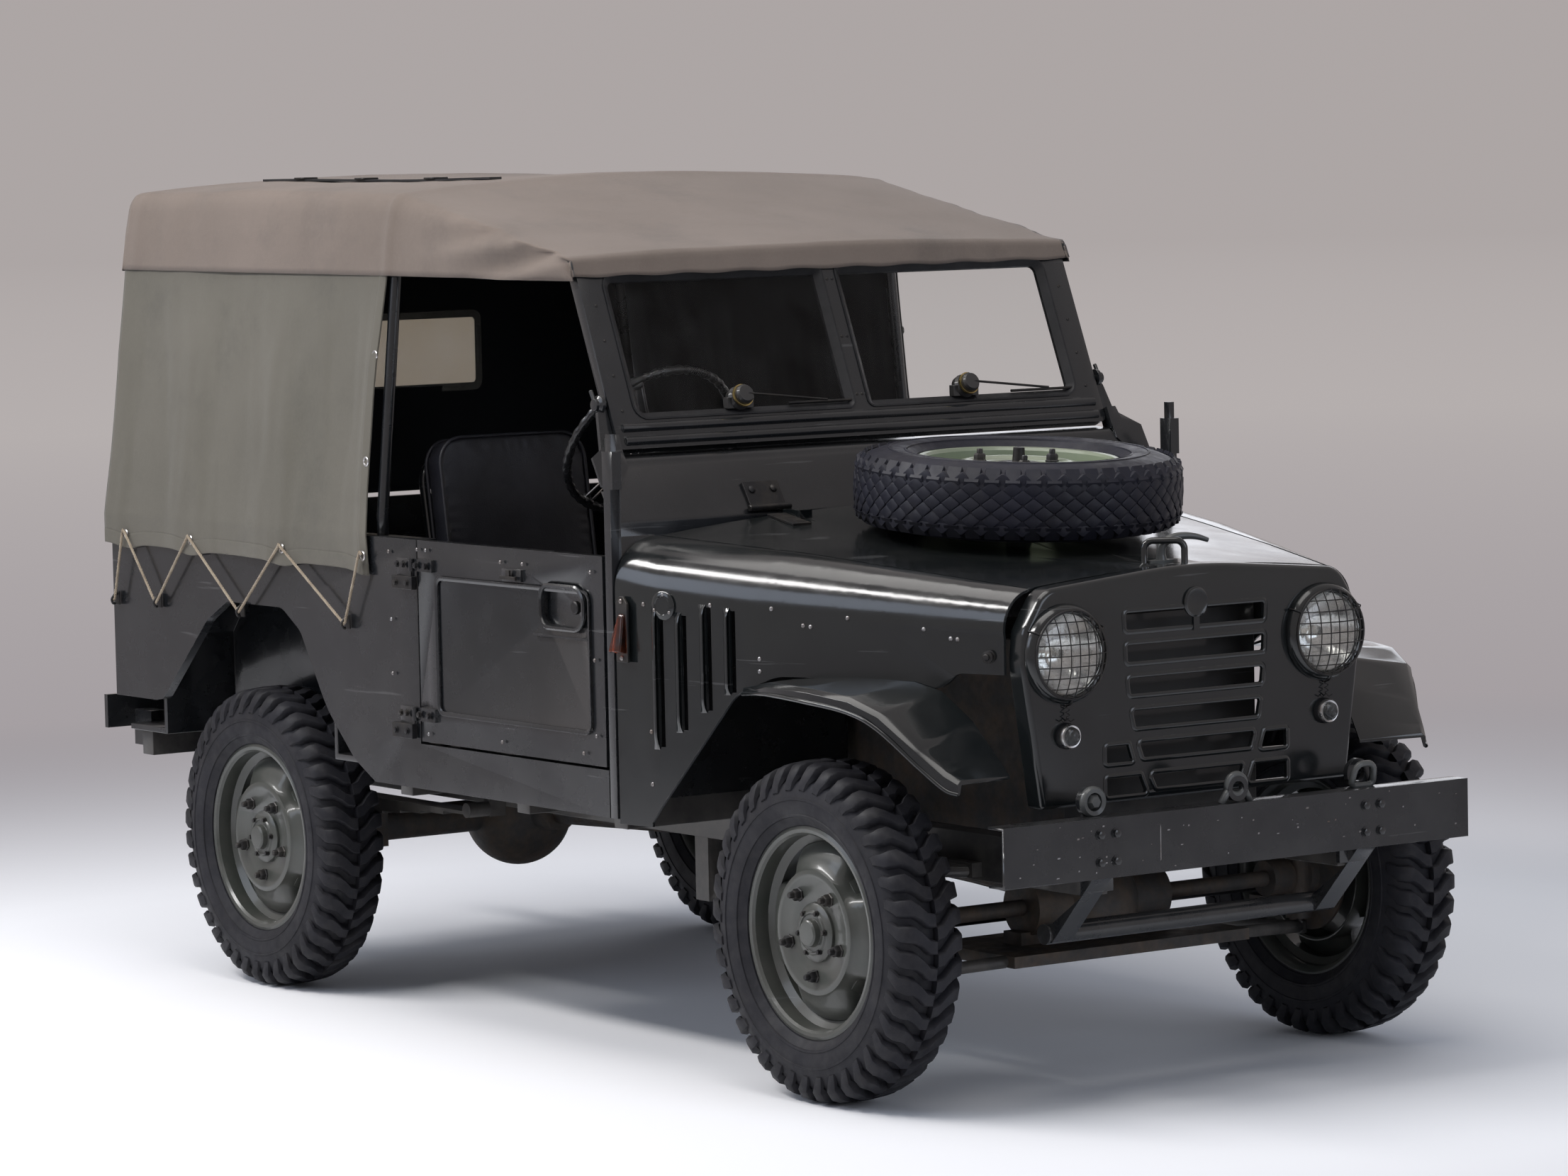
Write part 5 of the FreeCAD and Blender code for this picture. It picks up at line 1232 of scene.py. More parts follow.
def headlamp(side):
    centre = Vector((NOSE, side * HEADLAMP_Y, HEADLAMP_Z))
    ahead = (1, 0, 0)
    rim = bmesh.new()
    turned(rim, [(0.086, -0.010), (0.099, -0.002), (0.101, 0.004), (0.099, 0.012), (0.094, 0.019),
                 (0.088, 0.022),
                 (0.0835, 0.020), (0.0820, 0.010), (0.084, -0.010), (0.086, -0.010)], centre, ahead, 72)
    put_on(f"lamp_rim_{side_name(side)}", rim, BONNET_PAINT, "chassis", 0, 40)
    bowl = bmesh.new()
    curve = [(0.0835 * (step / 12) ** 0.5, -0.062 + 0.076 * step / 12) for step in range(1, 13)]
    turned(bowl, [(0, -0.062)] + curve + [(0.0845, 0.014)] + [(r + 0.001, a - 0.0015) for r,
                                                              a in reversed(curve)]
           + [(0, -0.0640)], centre, ahead, 64)
    put_on(f"lamp_bowl_{side_name(side)}", bowl, MIRROR, "chassis", 0, 60)
    glass = bmesh.new()
    rings = 14
    outer = [(0.0825 * math.sin(math.pi / 2 * step / rings),
              0.0145 + 0.0185 * math.cos(math.pi / 2 * step / rings))
             for step in range(rings + 1)]
    inner = [(radius * 0.965, along - 0.0035) for radius, along in reversed(outer[1:])]
    turned(glass, [(0, outer[0][1])] + outer[1:] + inner + [(0, outer[0][1] - 0.0035)], centre, ahead, 72)
    for vert in glass.verts:
        across_lamp = vert.co.y - centre.y
        if vert.co.x > centre.x + 0.017:
            vert.co.x += 0.0007 * math.sin(across_lamp * 2 * math.pi / 0.011)
    put_on(f"lamp_glass_{side_name(side)}", glass, LAMP_GLASS, "chassis", 0, 60)
    bulb = bmesh.new()
    turned(bulb, [(0, -0.055), (0.011, -0.055), (0.011, -0.035), (0.008, -0.032), (0.0115, -0.020),
                  (0.008, -0.010),
                  (0, -0.007)], centre, ahead, 20)
    put_on(f"lamp_bulb_{side_name(side)}", bulb, LAMP_GLASS, "chassis", 0, 60)
    guard = bmesh.new()

    def dome(y, z):
        share = min(1.0, math.hypot(y, z) / GUARD_REACH)
        return centre + Vector((0.026 + 0.026 * (1 - share ** 2.6), y, z))

    for step in range(-3, 4):
        offset = step * WIRE_PITCH
        half = math.sqrt(GUARD_REACH ** 2 - offset ** 2)
        for upright in (True, False):
            line = []
            for stop in range(17):
                far = -half + 2 * half * stop / 16
                line.append(dome(offset, far) if upright else dome(far, offset))
            lift = Vector((0.0011 if upright else -0.0011, 0, 0))
            pipe(guard, [spot + lift for spot in line], 0.0013, 6)
    ring = [centre + Vector((0.025, GUARD_REACH * math.cos(turn), GUARD_REACH * math.sin(turn)))
            for turn in angles(48)]
    pipe(guard, ring, 0.0026, 8, True)
    for angle in (30, 150, 270):
        way = Vector((0, math.cos(math.radians(angle)), math.sin(math.radians(angle))))
        pipe(guard, bent([centre + way * 0.088 + Vector((0.026, 0, 0)),
                          centre + way * 0.099 + Vector((0.019, 0, 0)),
                          centre + way * 0.104 + Vector((0.002, 0, 0))], 4), 0.0017, 6)
    # twist of wire that ties the guard down below the lamp
    foot = centre + Vector((0.004, 0, -0.100))
    twist = [foot + Vector((0.005 + 0.002 * math.sin(step * 1.9), 0.0055 * math.cos(step * 1.9),
                            -0.0032 * step))
             for step in range(10)]
    pipe(guard, twist, 0.0013, 5)
    for tail in (-1, 1):
        pipe(guard, [twist[-1], twist[-1] + Vector((0.001, tail * 0.008, -0.006)),
                     twist[-1] + Vector((0.002, tail * 0.016, -0.002))], 0.0013, 5)
    put_on(f"lamp_guard_{side_name(side)}", guard, BLACKENED, "chassis", 0, 60)


def small_lamp(side):
    """Side lamp: rubber foot, bright rim and ribbed glass dome."""
    centre = Vector((NOSE, side * SIDE_LAMP_Y, SIDE_LAMP_Z))
    foot = bmesh.new()
    turned(foot, [(0, -0.004), (0.0265, -0.004), (0.0265, 0.006), (0.0235, 0.012), (0, 0.012)], centre,
           (1, 0, 0), 36)
    put_on(f"side_lamp_foot_{side_name(side)}", foot, SEAL_RUBBER, "chassis", 0.0008)
    rim = bmesh.new()
    turned(rim, [(0.0185, 0.010), (0.0245, 0.010), (0.0250, 0.016), (0.0225, 0.020), (0.0185, 0.019),
                 (0.0185, 0.010)],
           centre, (1, 0, 0), 40)
    put_on(f"side_lamp_rim_{side_name(side)}", rim, BRIGHT_WIRE, "chassis", 0, 50)
    dome = bmesh.new()
    turned(dome, [(0, 0.012), (0.0190, 0.012), (0.0192, 0.019), (0.0170, 0.0225), (0.0178, 0.0240),
                  (0.0150, 0.0275),
                  (0.0120, 0.0285), (0.0120, 0.0305), (0.0085, 0.0330), (0.0060, 0.0325), (0, 0.0345)],
           centre,
           (1, 0, 0), 40)
    put_on(f"side_lamp_glass_{side_name(side)}", dome, LAMP_GLASS, "chassis", 0, 25)


def turn_lamp(side):
    """Orange wedge on a dark plate on the bonnet's side, with a screw at each end."""
    plate = bmesh.new()
    y = 0.7572
    slab(plate, [(0.648, side * y, 0.862), (0.690, side * y, 0.862), (0.690, side * y, 0.985),
                 (0.676, side * y, 1.000), (0.662, side * y, 1.000), (0.648, side * y, 0.985)],
         (0, side * 0.006, 0))
    put_on(f"turn_lamp_plate_{side_name(side)}", plate, BLACKENED, "chassis", 0.0015)
    wedge = bmesh.new()
    near, far = side * (y + 0.006), side * (y + 0.031)
    # the wedge is thickest low down at its rear
    corners = [(0.650, near, 0.880), (0.688, near, 0.880), (0.684, near, 0.965), (0.660, near, 0.965)]
    tops = [(0.652, far, 0.884), (0.686, side * (y + 0.024), 0.886), (0.680, side * (y + 0.012), 0.955),
            (0.664, side * (y + 0.014), 0.955)]
    lower = [wedge.verts.new(spot) for spot in corners]
    upper = [wedge.verts.new(spot) for spot in tops]
    capped(wedge, [lower, upper])
    put_on(f"turn_lamp_lens_{side_name(side)}", wedge, AMBER, "chassis", 0.004)


def tail_lamp(side):
    centre = Vector((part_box("tub_sides")[0].x, side * TAIL_LAMP_Y, TAIL_LAMP_Z))
    foot = bmesh.new()
    turned(foot, [(0, 0.0002), (0.040, 0.0002), (0.040, 0.014), (0.037, 0.018), (0, 0.018)], centre,
           (-1, 0, 0), 36)
    put_on(f"tail_lamp_foot_{side_name(side)}", foot, BLACKENED, "chassis", 0.001)
    lens = bmesh.new()
    turned(lens, [(0, 0.012), (0.034, 0.012), (0.034, 0.022), (0.030, 0.0265), (0.020, 0.0285),
                  (0, 0.0290)], centre,
           (-1, 0, 0), 36)
    put_on(f"tail_lamp_lens_{side_name(side)}", lens, RED_LENS, "chassis", 0, 40)


for side in (-1, 1):
    headlamp(side)
    small_lamp(side)
    turn_lamp(side)
    tail_lamp(side)
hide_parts("lamps")
stamped("turn_lamp_screws", screw_head(0.0055), both_sides(
    [((0.669, -0.7632, z), (0, -1, 0), (1, 0, 0)) for z in (0.871, 0.990)]), DULL_STEEL)

# %% [markdown]
# ## Canvas top
# The top is one piece of duck thrown over two hoops and buttoned to the windscreen. It is built as
# a grid: along the car it follows the hoops, across it follows a section that is flat on top and
# rolls over at the sides. Between the hoops it sags, at the hoops it strains, and over the door it
# gathers into pinched folds.

# %% Roof sheet
# stations of the top: x, hem half width, hem z, shoulder half width, shoulder z, top half width,
# top z, crown z
TOP_STATIONS = [
    (-1.5360, 0.7060, 1.660, 0.6900, 1.770, 0.610, 1.846, 1.868),
    (-1.0000, 0.7060, 1.658, 0.6920, 1.772, 0.612, 1.850, 1.876),
    (-0.3300, 0.7040, 1.656, 0.6900, 1.768, 0.610, 1.842, 1.872),
    (0.3440, 0.6700, 1.650, 0.6680, 1.678, 0.642, 1.701, 1.712),
]
HOOP_X = (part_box("canopy_frame")[0].x + 0.02, -0.33)
# lower edge of the front hem: its height, the x of the cloth there, and how far it leans back for
# each metre up
RAIL_HEM_Z, RAIL_FACE_X, RAIL_SLOPE = 1.656, 0.3705, 0.4155
REAR_HEM_Z = 1.657


def station_at(x):
    """Section numbers at any x, in a straight line between two stations."""
    for first, second in zip(TOP_STATIONS, TOP_STATIONS[1:]):
        if x <= second[0]:
            share = (x - first[0]) / (second[0] - first[0])
            return [a + (b - a) * share for a, b in zip(first, second)]
    return list(TOP_STATIONS[-1])


def top_section(x, count):
    """Even points over the car from the right hem to the left, and how far each lies along the cloth."""
    _, hem, hem_z, shoulder, shoulder_z, top, top_z, crown = station_at(x)
    bend = ((shoulder + top) / 2 + (shoulder - top) * 0.26,
            (shoulder_z + top_z) / 2 + (top_z - shoulder_z) * 0.26)
    right = [(-hem, hem_z), (-(hem + shoulder) / 2 - 0.001, (hem_z + shoulder_z) / 2),
             (-shoulder, shoulder_z),
             (-bend[0], bend[1]), (-top, top_z), (-top * 0.5, top_z + (crown - top_z) * 0.75), (0, crown)]
    spots = right + [(-y, z) for y, z in reversed(right[:-1])]
    curve = bent([Vector((x, y, z)) for y, z in spots], 12)
    reach = [0.0]
    for a, b in zip(curve, curve[1:]):
        reach.append(reach[-1] + (b - a).length)
    result = []
    spot = 0
    for index in range(count + 1):
        target = reach[-1] * index / count
        while spot < len(reach) - 2 and reach[spot + 1] < target:
            spot += 1
        share = (target - reach[spot]) / max(1e-9, reach[spot + 1] - reach[spot])
        result.append((curve[spot].lerp(curve[spot + 1], share), target - reach[-1] / 2))
    return result


def woven(grid, uvs, open_at=None):
    """Faces over a grid of points, with their flat UV in metres; none where open_at says so."""
    work = bmesh.new()
    layer = work.loops.layers.uv.new("cut")
    verts = [[work.verts.new(spot) for spot in row] for row in grid]
    for i in range(len(grid) - 1):
        for j in range(len(grid[0]) - 1):
            if open_at and open_at((grid[i][j] + grid[i + 1][j + 1]) / 2):
                continue
            corners = [(i, j), (i + 1, j), (i + 1, j + 1), (i, j + 1)]
            face = work.faces.new([verts[a][b] for a, b in corners])
            for loop, (a, b) in zip(face.loops, corners):
                loop[layer].uv = uvs[a][b]
    return work


def cloth_piece(name, grid, uvs, finish, thick, replaced=(), fine=True):
    """Sheet of cloth from a grid of points; its thickness goes inward."""
    work = woven(grid, uvs)
    bmesh.ops.remove_doubles(work, verts=work.verts, dist=1e-6)
    mesh = mesh_from(name, work)
    piece = placed(name, mesh)
    mesh.materials.append(finish)
    thicken(piece, thick)
    if fine:
        finer(piece)
    mesh.shade_smooth()
    return carried(piece, "chassis", replaced)


def bell(value, centre, width):
    return math.exp(-((value - centre) / width) ** 2)


# about half the roof's girth, from its ridge to its hem
HALF_GIRTH = 1.03
# folds over the door: slope, height of the middle, depth, width
DOOR_FOLDS = [(0.34, 0.30, 0.017, 0.10), (0.18, 0.58, 0.014, 0.09), (0.05, 0.80, 0.010, 0.08)]


def roof_sheet():
    rows, columns = 140, 120
    rear, front = TOP_STATIONS[0][0], TOP_STATIONS[-1][0]
    grid, uvs = [], []
    for i in range(rows + 1):
        x = rear + (front - rear) * i / rows
        grid.append([])
        uvs.append([])
        for spot, far in top_section(x, columns):
            share = abs(far) / HALF_GIRTH
            flat_top = max(0.0, 1 - (abs(spot.y) / 0.60) ** 4)
            # sag between the hoops, and in front of the front hoop
            bay = (x - HOOP_X[0]) / (HOOP_X[1] - HOOP_X[0])
            sag = 0.010 * math.sin(math.pi * min(1, max(0, bay))) ** 2 if 0 < bay < 1 else 0.0
            ahead = (x - HOOP_X[1]) / (front - HOOP_X[1])
            if ahead > 0:
                sag += 0.007 * math.sin(math.pi * min(1.0, ahead))
            lift = -sag * flat_top
            lift += 0.0022 * bell(x, HOOP_X[1], 0.018) + 0.0018 * bell(x, HOOP_X[0], 0.018)
            # slow unevenness and finer creases
            lift += 0.0035 * (noise.noise(Vector((x * 3.1, spot.y * 2.4, 1.7))) - 0.1)
            lift += 0.0012 * noise.noise(Vector((x * 11, spot.y * 9, 4.2)))
            normal = Vector((0, spot.y / 0.7 if abs(spot.y) > 0.60 else 0,
                             1 if abs(spot.y) < 0.685 else 0.12))
            normal.normalize()
            moved = spot + normal * lift
            # folds that run from the front corner back over the door
            if ahead > -0.15 and abs(spot.y) > 0.45:
                side = -1 if spot.y < 0 else 1
                down = (spot.z - 1.62) / 0.22
                for slope, centre, depth, wide in DOOR_FOLDS:
                    line = down - centre + slope * (1 - ahead) * 1.6
                    strength = max(0.0, min(1.0, ahead * 2.2)) * bell(ahead, 0.72, 0.40)
                    fold = bell(line, 0, wide) - 0.6 * bell(line, wide * 1.5, wide)
                    moved.y += side * depth * strength * fold
            # the hem hangs in small waves
            hem = max(0.0, (share - 0.90) / 0.10)
            moved.y += math.copysign(0.0045 * hem * math.sin(x * 19 + spot.y), spot.y)
            moved.z += 0.004 * hem * math.sin(x * 8.5)
            if abs(spot.y) > 0.55 and abs(x - HOOP_X[1]) < 0.03:
                moved.y += math.copysign(0.003 * bell(x, HOOP_X[1], 0.012), spot.y)
            grid[-1].append(moved)
            uvs[-1].append((x, far))
    # the front edge turns down over the windscreen's top rail and leans with it
    turns = 6
    for step in range(1, turns + 1):
        grid.append([])
        uvs.append([])
        for spot, far in top_section(front, columns):
            low = min(spot.z, RAIL_HEM_Z + 0.0035 * math.sin(far * 21) ** 2)
            z = spot.z + (low - spot.z) * step / turns
            wave = 0.0022 * math.sin(far * 34) ** 2 * step / turns
            grid[-1].append(Vector((RAIL_FACE_X + (RAIL_HEM_Z - z) * RAIL_SLOPE + wave, spot.y, z)))
            uvs[-1].append((front + spot.z - z, far))
    # the rear end hangs down to the curtain
    hang = []
    for step in range(8, 0, -1):
        hang.append([])
        uvs.insert(8 - step, [])
        for spot, far in top_section(rear, columns):
            share = step / 8
            z = spot.z + (REAR_HEM_Z - spot.z) * share
            ripple = 0.0018 * math.sin(spot.y * 17 + 1.3) * share
            hang[-1].append(Vector((rear - 0.0005 + ripple - 0.002 * math.sin(math.pi * share),
                                    spot.y * 0.9995, z)))
            uvs[8 - step].append((rear - (spot.z - z), far))
    piece = cloth_piece("canvas_roof", hang + grid, uvs, ROOF_CANVAS, 0.0022, replaced=("canopy_top",),
                        fine=False)
    return piece


roof = roof_sheet()
print("roof faces", len(roof.data.polygons))

# %% [markdown]
# ### Side and rear curtains
# Each curtain hangs from under the roof's hem, flares over the tub's rail, and is pulled to the
# body by a rope through brass rings. So the lower edge is scalloped: it dips at each ring and lifts
# between them.

# %% Curtains
# ring places along the lower edge: x
HEM_RINGS = [-1.430, -1.120, -0.700, -0.345]
SIDE_Y = -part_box("tub_sides")[0].y
# the curtains are tucked up behind the roof's hem by a finger's width
CURTAIN_TOP = 1.667


# a curtain's line from the hoop out to the tub's rail: height and half width at each
HOOP_LINE, RAIL_LINE = (1.654, 0.702), (1.085, 0.771)
CURTAIN_REAR, CURTAIN_FRONT = -1.5305, -0.3290


def curtain_y(z):
    """How far out the curtain hangs at a height."""
    if z > RAIL_LINE[0]:
        share = max(0.0, HOOP_LINE[0] - z) / (HOOP_LINE[0] - RAIL_LINE[0])
        return HOOP_LINE[1] + (RAIL_LINE[1] - HOOP_LINE[1]) * share ** 1.15
    return RAIL_LINE[1] + 0.0005


def side_curtain(side):
    rows, columns = 96, 116
    rear, front = CURTAIN_REAR, CURTAIN_FRONT
    grid, uvs = [], []
    for i in range(rows + 1):
        grid.append([])
        uvs.append([])
        for j in range(columns + 1):
            x = rear + (front - rear) * j / columns
            scallop = 0.0
            for ring in HEM_RINGS:
                scallop = max(scallop, bell(x, ring, 0.055))
            low = 1.0135 - 0.011 * scallop - 0.010 * (x - rear) / (front - rear)
            z = CURTAIN_TOP + (low - CURTAIN_TOP) * i / rows
            down = i / rows
            # upright folds: sharper near the front edge, and straining lines above each ring
            fold = 0.0058 * math.sin(x * 15 + 2.2 * noise.noise(Vector((x * 2, z * 1.2, 3.0))))
            fold += 0.0052 * noise.noise(Vector((x * 7.0, z * 2.1, 8.1 + side)))
            fold += 0.0026 * noise.noise(Vector((x * 22.0, z * 5.0, 2.1)))
            for ring in HEM_RINGS:
                fold -= 0.0030 * bell(x, ring + (z - 1.02) * 0.10, 0.035) * down ** 3
            fold += 0.004 * bell(x, front - 0.035, 0.018) * (0.4 + 0.6 * down)
            fold = (fold + 0.002) * min(1.0, 5.0 * (CURTAIN_TOP - z)) - 0.002
            y = curtain_y(z) + 0.0015 + max(-0.0035, fold)
            bow = 0.014 * math.sin(math.pi * down) ** 0.8 * bell(x, front, 0.10)
            # the free rear edge is drawn in at half height and flares again below
            back = 0.009 * math.sin(math.pi * min(1.0, down * 1.15)) ** 1.5 * bell(x, rear, 0.16)
            grid[-1].append(Vector((x - bow + back, side * y, z)))
            uvs[-1].append((x, z))
    if side > 0:
        grid = [list(reversed(row)) for row in grid]
        uvs = [list(reversed(row)) for row in uvs]
    piece = cloth_piece(f"side_curtain_{side_name(side)}", grid, uvs, SIDE_CANVAS, 0.0018, fine=False)
    return piece, grid


curtains = {}
for side in (-1, 1):
    curtains[side] = side_curtain(side)
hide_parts("side_curtains")


def hems(side):
    """Doubled edge of the curtain, a strip that lies on its surface."""
    piece, grid = curtains[side]
    for part, picked in (("low", grid[-6:]), ("front",
                                              [row[-4:] if side < 0 else row[:4] for row in grid])):
        strip = [[spot + Vector((0, side * 0.0013, 0)) for spot in row] for row in picked]
        strip_uv = [[(spot.x + 0.4, spot.z) for spot in row] for row in strip]
        hem = cloth_piece(f"curtain_hem_{part}_{side_name(side)}", strip, strip_uv, SIDE_CANVAS, 0.0014)


for side in (-1, 1):
    hems(side)


# window in the rear curtain: half width, bottom, top, and the x of the cloth there
WINDOW_HALF, WINDOW_LOW, WINDOW_HIGH, REAR_FACE_X = 0.292, 1.339, 1.521, -1.5345


def in_window(spot):
    return abs(spot.y) < WINDOW_HALF - 0.001 and WINDOW_LOW - 0.001 < spot.z < WINDOW_HIGH + 0.001


def rear_curtain():
    rows, columns = 40, 80
    work_grid, work_uv = [], []
    for i in range(rows + 1):
        work_grid.append([])
        work_uv.append([])
        z = 1.656 + (1.089 - 1.656) * i / rows
        half = curtain_y(z) - 0.0005
        for j in range(columns + 1):
            y = -half + 2 * half * j / columns
            ripple = 0.0030 * math.sin(y * 13 + 0.8) * (0.3 + 0.7 * i / rows)
            ripple += 0.0020 * noise.noise(Vector((y * 6, z * 3, 5.5)))
            near_window = bell(y, 0, 0.34) * bell(z, 1.43, 0.13)
            # the side edges wrap forward round the corner to meet the side curtains
            wrap = 0.016 * max(0.0, 1 - (half - abs(y)) / 0.04) ** 2
            work_grid[-1].append(Vector((REAR_FACE_X + wrap + ripple * (1 - min(1, 1.2 * near_window)), y,
                                         z)))
            work_uv[-1].append((y, z))
    work = woven(work_grid, work_uv, in_window)
    loose = [vert for vert in work.verts if not vert.link_faces]
    bmesh.ops.delete(work, geom=loose, context="VERTS")
    bmesh.ops.recalc_face_normals(work, faces=work.faces)
    if sum(face.normal.x for face in work.faces) > 0:
        bmesh.ops.reverse_faces(work, faces=work.faces)
    piece = put_on("rear_curtain_cloth", work, SIDE_CANVAS, "chassis", 0, 0, ("rear_curtain",), 0.0018)
    frame_strip = bmesh.new()
    loop = rounded_loop([(-WINDOW_HALF, WINDOW_LOW, 0.02), (-WINDOW_HALF, WINDOW_HIGH, 0.02),
                         (WINDOW_HALF, WINDOW_HIGH, 0.02), (WINDOW_HALF, WINDOW_LOW, 0.02)],
                        lambda y, z: Vector((REAR_FACE_X - 0.0007, y, z)))
    border(frame_strip, loop, (-1, 0, 0), [(-0.010, -0.001), (-0.010, 0.0018), (0.016, 0.0018),
                                           (0.016, -0.001)])
    put_on("rear_window_hem", frame_strip, HEM_CANVAS, "chassis", 0.0006)


rear_curtain()

# %% [markdown]
# ### Lacing
# The rope is taut, so it runs straight from ring to hook. Three strands are wound round the run to
# give the lay of real cotton rope. Rings and hooks are set down by the tree.

# %% Rope, rings and hooks
# the rope's turning points on the right side, from the rear forward: x, z
LACING_RUN = [(-1.495, 0.880), (-1.430, 1.040), (-1.290, 0.884), (-1.120, 1.040), (-0.900, 0.884),
              (-0.700, 1.040),
              (-0.430, 0.884), (-0.345, 1.040)]


# rope: radius, and length of one turn of its strands
ROPE_RADIUS, ROPE_LAY = 0.0034, 0.022


def laid_rope(work, route):
    """Three strands wound round a route."""
    run = [Vector(spot) for spot in route]
    fine = []
    for a, b in zip(run, run[1:]):
        steps = max(1, int((b - a).length / 0.0035))
        fine += [a.lerp(b, step / steps) for step in range(steps)]
    fine.append(run[-1])
    for strand in range(3):
        line, reach = [], 0.0
        for index, spot in enumerate(fine):
            after = fine[min(index + 1, len(fine) - 1)] - fine[max(index - 1, 0)]
            angle = 2 * math.pi * (reach / ROPE_LAY + strand / 3)
            line.append(spot + ways_round(after, [angle])[0] * ROPE_RADIUS * 0.50)
            if index < len(fine) - 1:
                reach += (fine[index + 1] - spot).length
        pipe(work, line, ROPE_RADIUS * 0.56, 5)


def lacing(side):
    rope, rings, hooks = bmesh.new(), [], []
    route = []
    for x, z in LACING_RUN:
        low = z < 1.0
        y = SIDE_Y + (0.0125 if low else 0.0165)
        turn = -0.006 if low else 0.006
        for step in (-1, 0, 1):
            route.append(Vector((x + step * 0.006, side * (y + (0.0015 if step == 0 else 0)),
                                 z + (turn if step == 0 else 0))))
        if low:
            hooks.append(((x, side * (SIDE_Y + 0.0002), z), (0, side, 0), (0, 0, 1)))
        else:
            rings.append(((x, side * (SIDE_Y + 0.0105), z - 0.004), (0, side, 0), (0, 0, 1)))
    laid_rope(rope, route)
    return put_on(f"lacing_rope_{side_name(side)}", rope, ROPE, "chassis", 0, 60), rings, hooks


def hook_shape():
    """Bent hook on a small plate, standing along +Z and opening down (-X)."""
    work = bmesh.new()
    slab(work, [(-0.016, -0.010, 0), (0.016, -0.010, 0), (0.016, 0.010, 0), (-0.016, 0.010, 0)],
         (0, 0, 0.0025))
    pipe(work, bent([(0.010, 0, 0.001), (0.008, 0, 0.009), (-0.002, 0, 0.017), (-0.012, 0, 0.015),
                     (-0.014, 0, 0.008)], 5), 0.0032, 8)
    return work


def ring_shape():
    work = bmesh.new()
    turned(work, [(0.0065, -0.001), (0.0105, -0.001), (0.0115, 0.0005), (0.0100, 0.0022), (0.0075, 0.0020),
                  (0.0065, 0.0005), (0.0065, -0.001)], (0, 0, 0), (0, 0, 1), 24)
    return work


all_rings, all_hooks = [], []
for side in (-1, 1):
    rope, rings, hooks = lacing(side)
    all_rings += rings
    all_hooks += hooks
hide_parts("lacing")
for side in (-1, 1):
    for x, z in ((-0.352, 1.245), (-0.350, 1.480)):
        all_rings.append(((x, side * (curtain_y(z) + 0.0070), z), (0, side, 0), (0, 0, 1)))
stamped("lacing_rings", ring_shape(), all_rings, BRIGHT_WIRE)
stamped("lacing_hooks", hook_shape(), all_hooks, BLACKENED)

# %% [markdown]
# ## Small fittings
# A field car is covered with small hardware, and each item sits on a panel that slopes. The next
# helper finds the panel under a straight line, so that a screw or a bracket always lies on the
# sheet and stands square to it.


# %% Find the sheet
SKINS = {}


def touch(node, start, way):
    """Where a straight line meets a frame node, and the direction that faces out of the sheet there."""
    if node not in SKINS:
        mesh = frame["nodes"][node].data
        SKINS[node] = BVHTree.FromPolygons([vert.co.copy() for vert in mesh.vertices],
                                           [tuple(face.vertices) for face in mesh.polygons])
    spot, normal, _, _ = SKINS[node].ray_cast(Vector(start), Vector(way).normalized())
    if normal.dot(Vector(way)) > 0:
        normal = -normal
    return spot, normal


def on_side(x, z, side=-1):
    """Place on the bonnet's side panel and the way out of it, found on the right, mirrored to the left."""
    return [Vector((v.x, -side * v.y, v.z)) for v in touch("bonnet_sides", (x, -0.95, z), (0, 1, 0))]


def screws(name, places, radius, finish=DULL_STEEL, body="chassis", seed=4):
    """Slotted screws at (point, outward direction), each turned its own way."""
    chance = random.Random(seed)
    spots = []
    for spot, out in places:
        spots.append((spot, out, ways_round(out, [chance.uniform(0, math.pi)])[0]))
    stamped(name, screw_head(radius), spots, finish, body)


# %% [markdown]
# ### Bonnet
# The side panel carries a row of screws along its shoulder, screw pairs that hold the stiffeners
# inside, and four pressed louvres. A louvre is a slit whose rear edge is pushed out into a
# half-round hood, so each gets a lip that is proud behind the slit and dies away at both ends.

# %% Bonnet screws, louvre hoods and covers
side_spots = [tuple(on_side(x, z)) for x, z in (
    (0.722, 0.985), (0.900, 0.990), (1.052, 0.988), (1.229, 0.975), (1.400, 0.958), (1.126, 0.956),
    (1.143, 0.954),
    (1.459, 0.941), (1.474, 0.940), (1.022, 0.884), (1.022, 0.858), (0.738, 0.610), (0.738, 0.720))]
screws("bonnet_side_screws", both_sides(side_spots), 0.0046)

# louvres: x, bottom z, top z, as in the frame
LOUVRES = [(0.762, 0.690, 0.980), (0.822, 0.728, 0.966), (0.886, 0.772, 0.985), (0.948, 0.812, 0.980)]


def louvre_hoods():
    work = bmesh.new()
    for side in (-1, 1):
        for along, low, high in LOUVRES:
            steps = 22
            rows = []
            for index in range(steps + 1):
                share = index / steps
                z = low - 0.006 + (high - low + 0.012) * share
                swell = min(1.0, math.sin(math.pi * share) * 3.2) ** 0.6 if 0 < share < 1 else 0.0
                row = []
                for back, proud in ((0.016, -0.0025), (0.016, 0.0004), (0.0120, 0.0052), (0.0060, 0.0098),
                                    (0.0005, 0.0112), (-0.0012, 0.0100), (0.0045, 0.0075), (0.0100, 0.0035),
                                    (0.0140, -0.0025)):
                    spot, out = on_side(along - max(back, 0.001), min(max(z, low + 0.010), high - 0.004))
                    reach = proud * swell if proud > 0.001 else proud
                    moved = Vector((along - back, spot.y, z)) + Vector((out.x, out.y, 0)) * reach
                    row.append(work.verts.new((moved.x, moved.y * -side, moved.z)))
                rows.append(row)
            capped(work, rows)
    put_on("louvre_hoods", work, BONNET_PAINT, "chassis", 0, 50)


louvre_hoods()


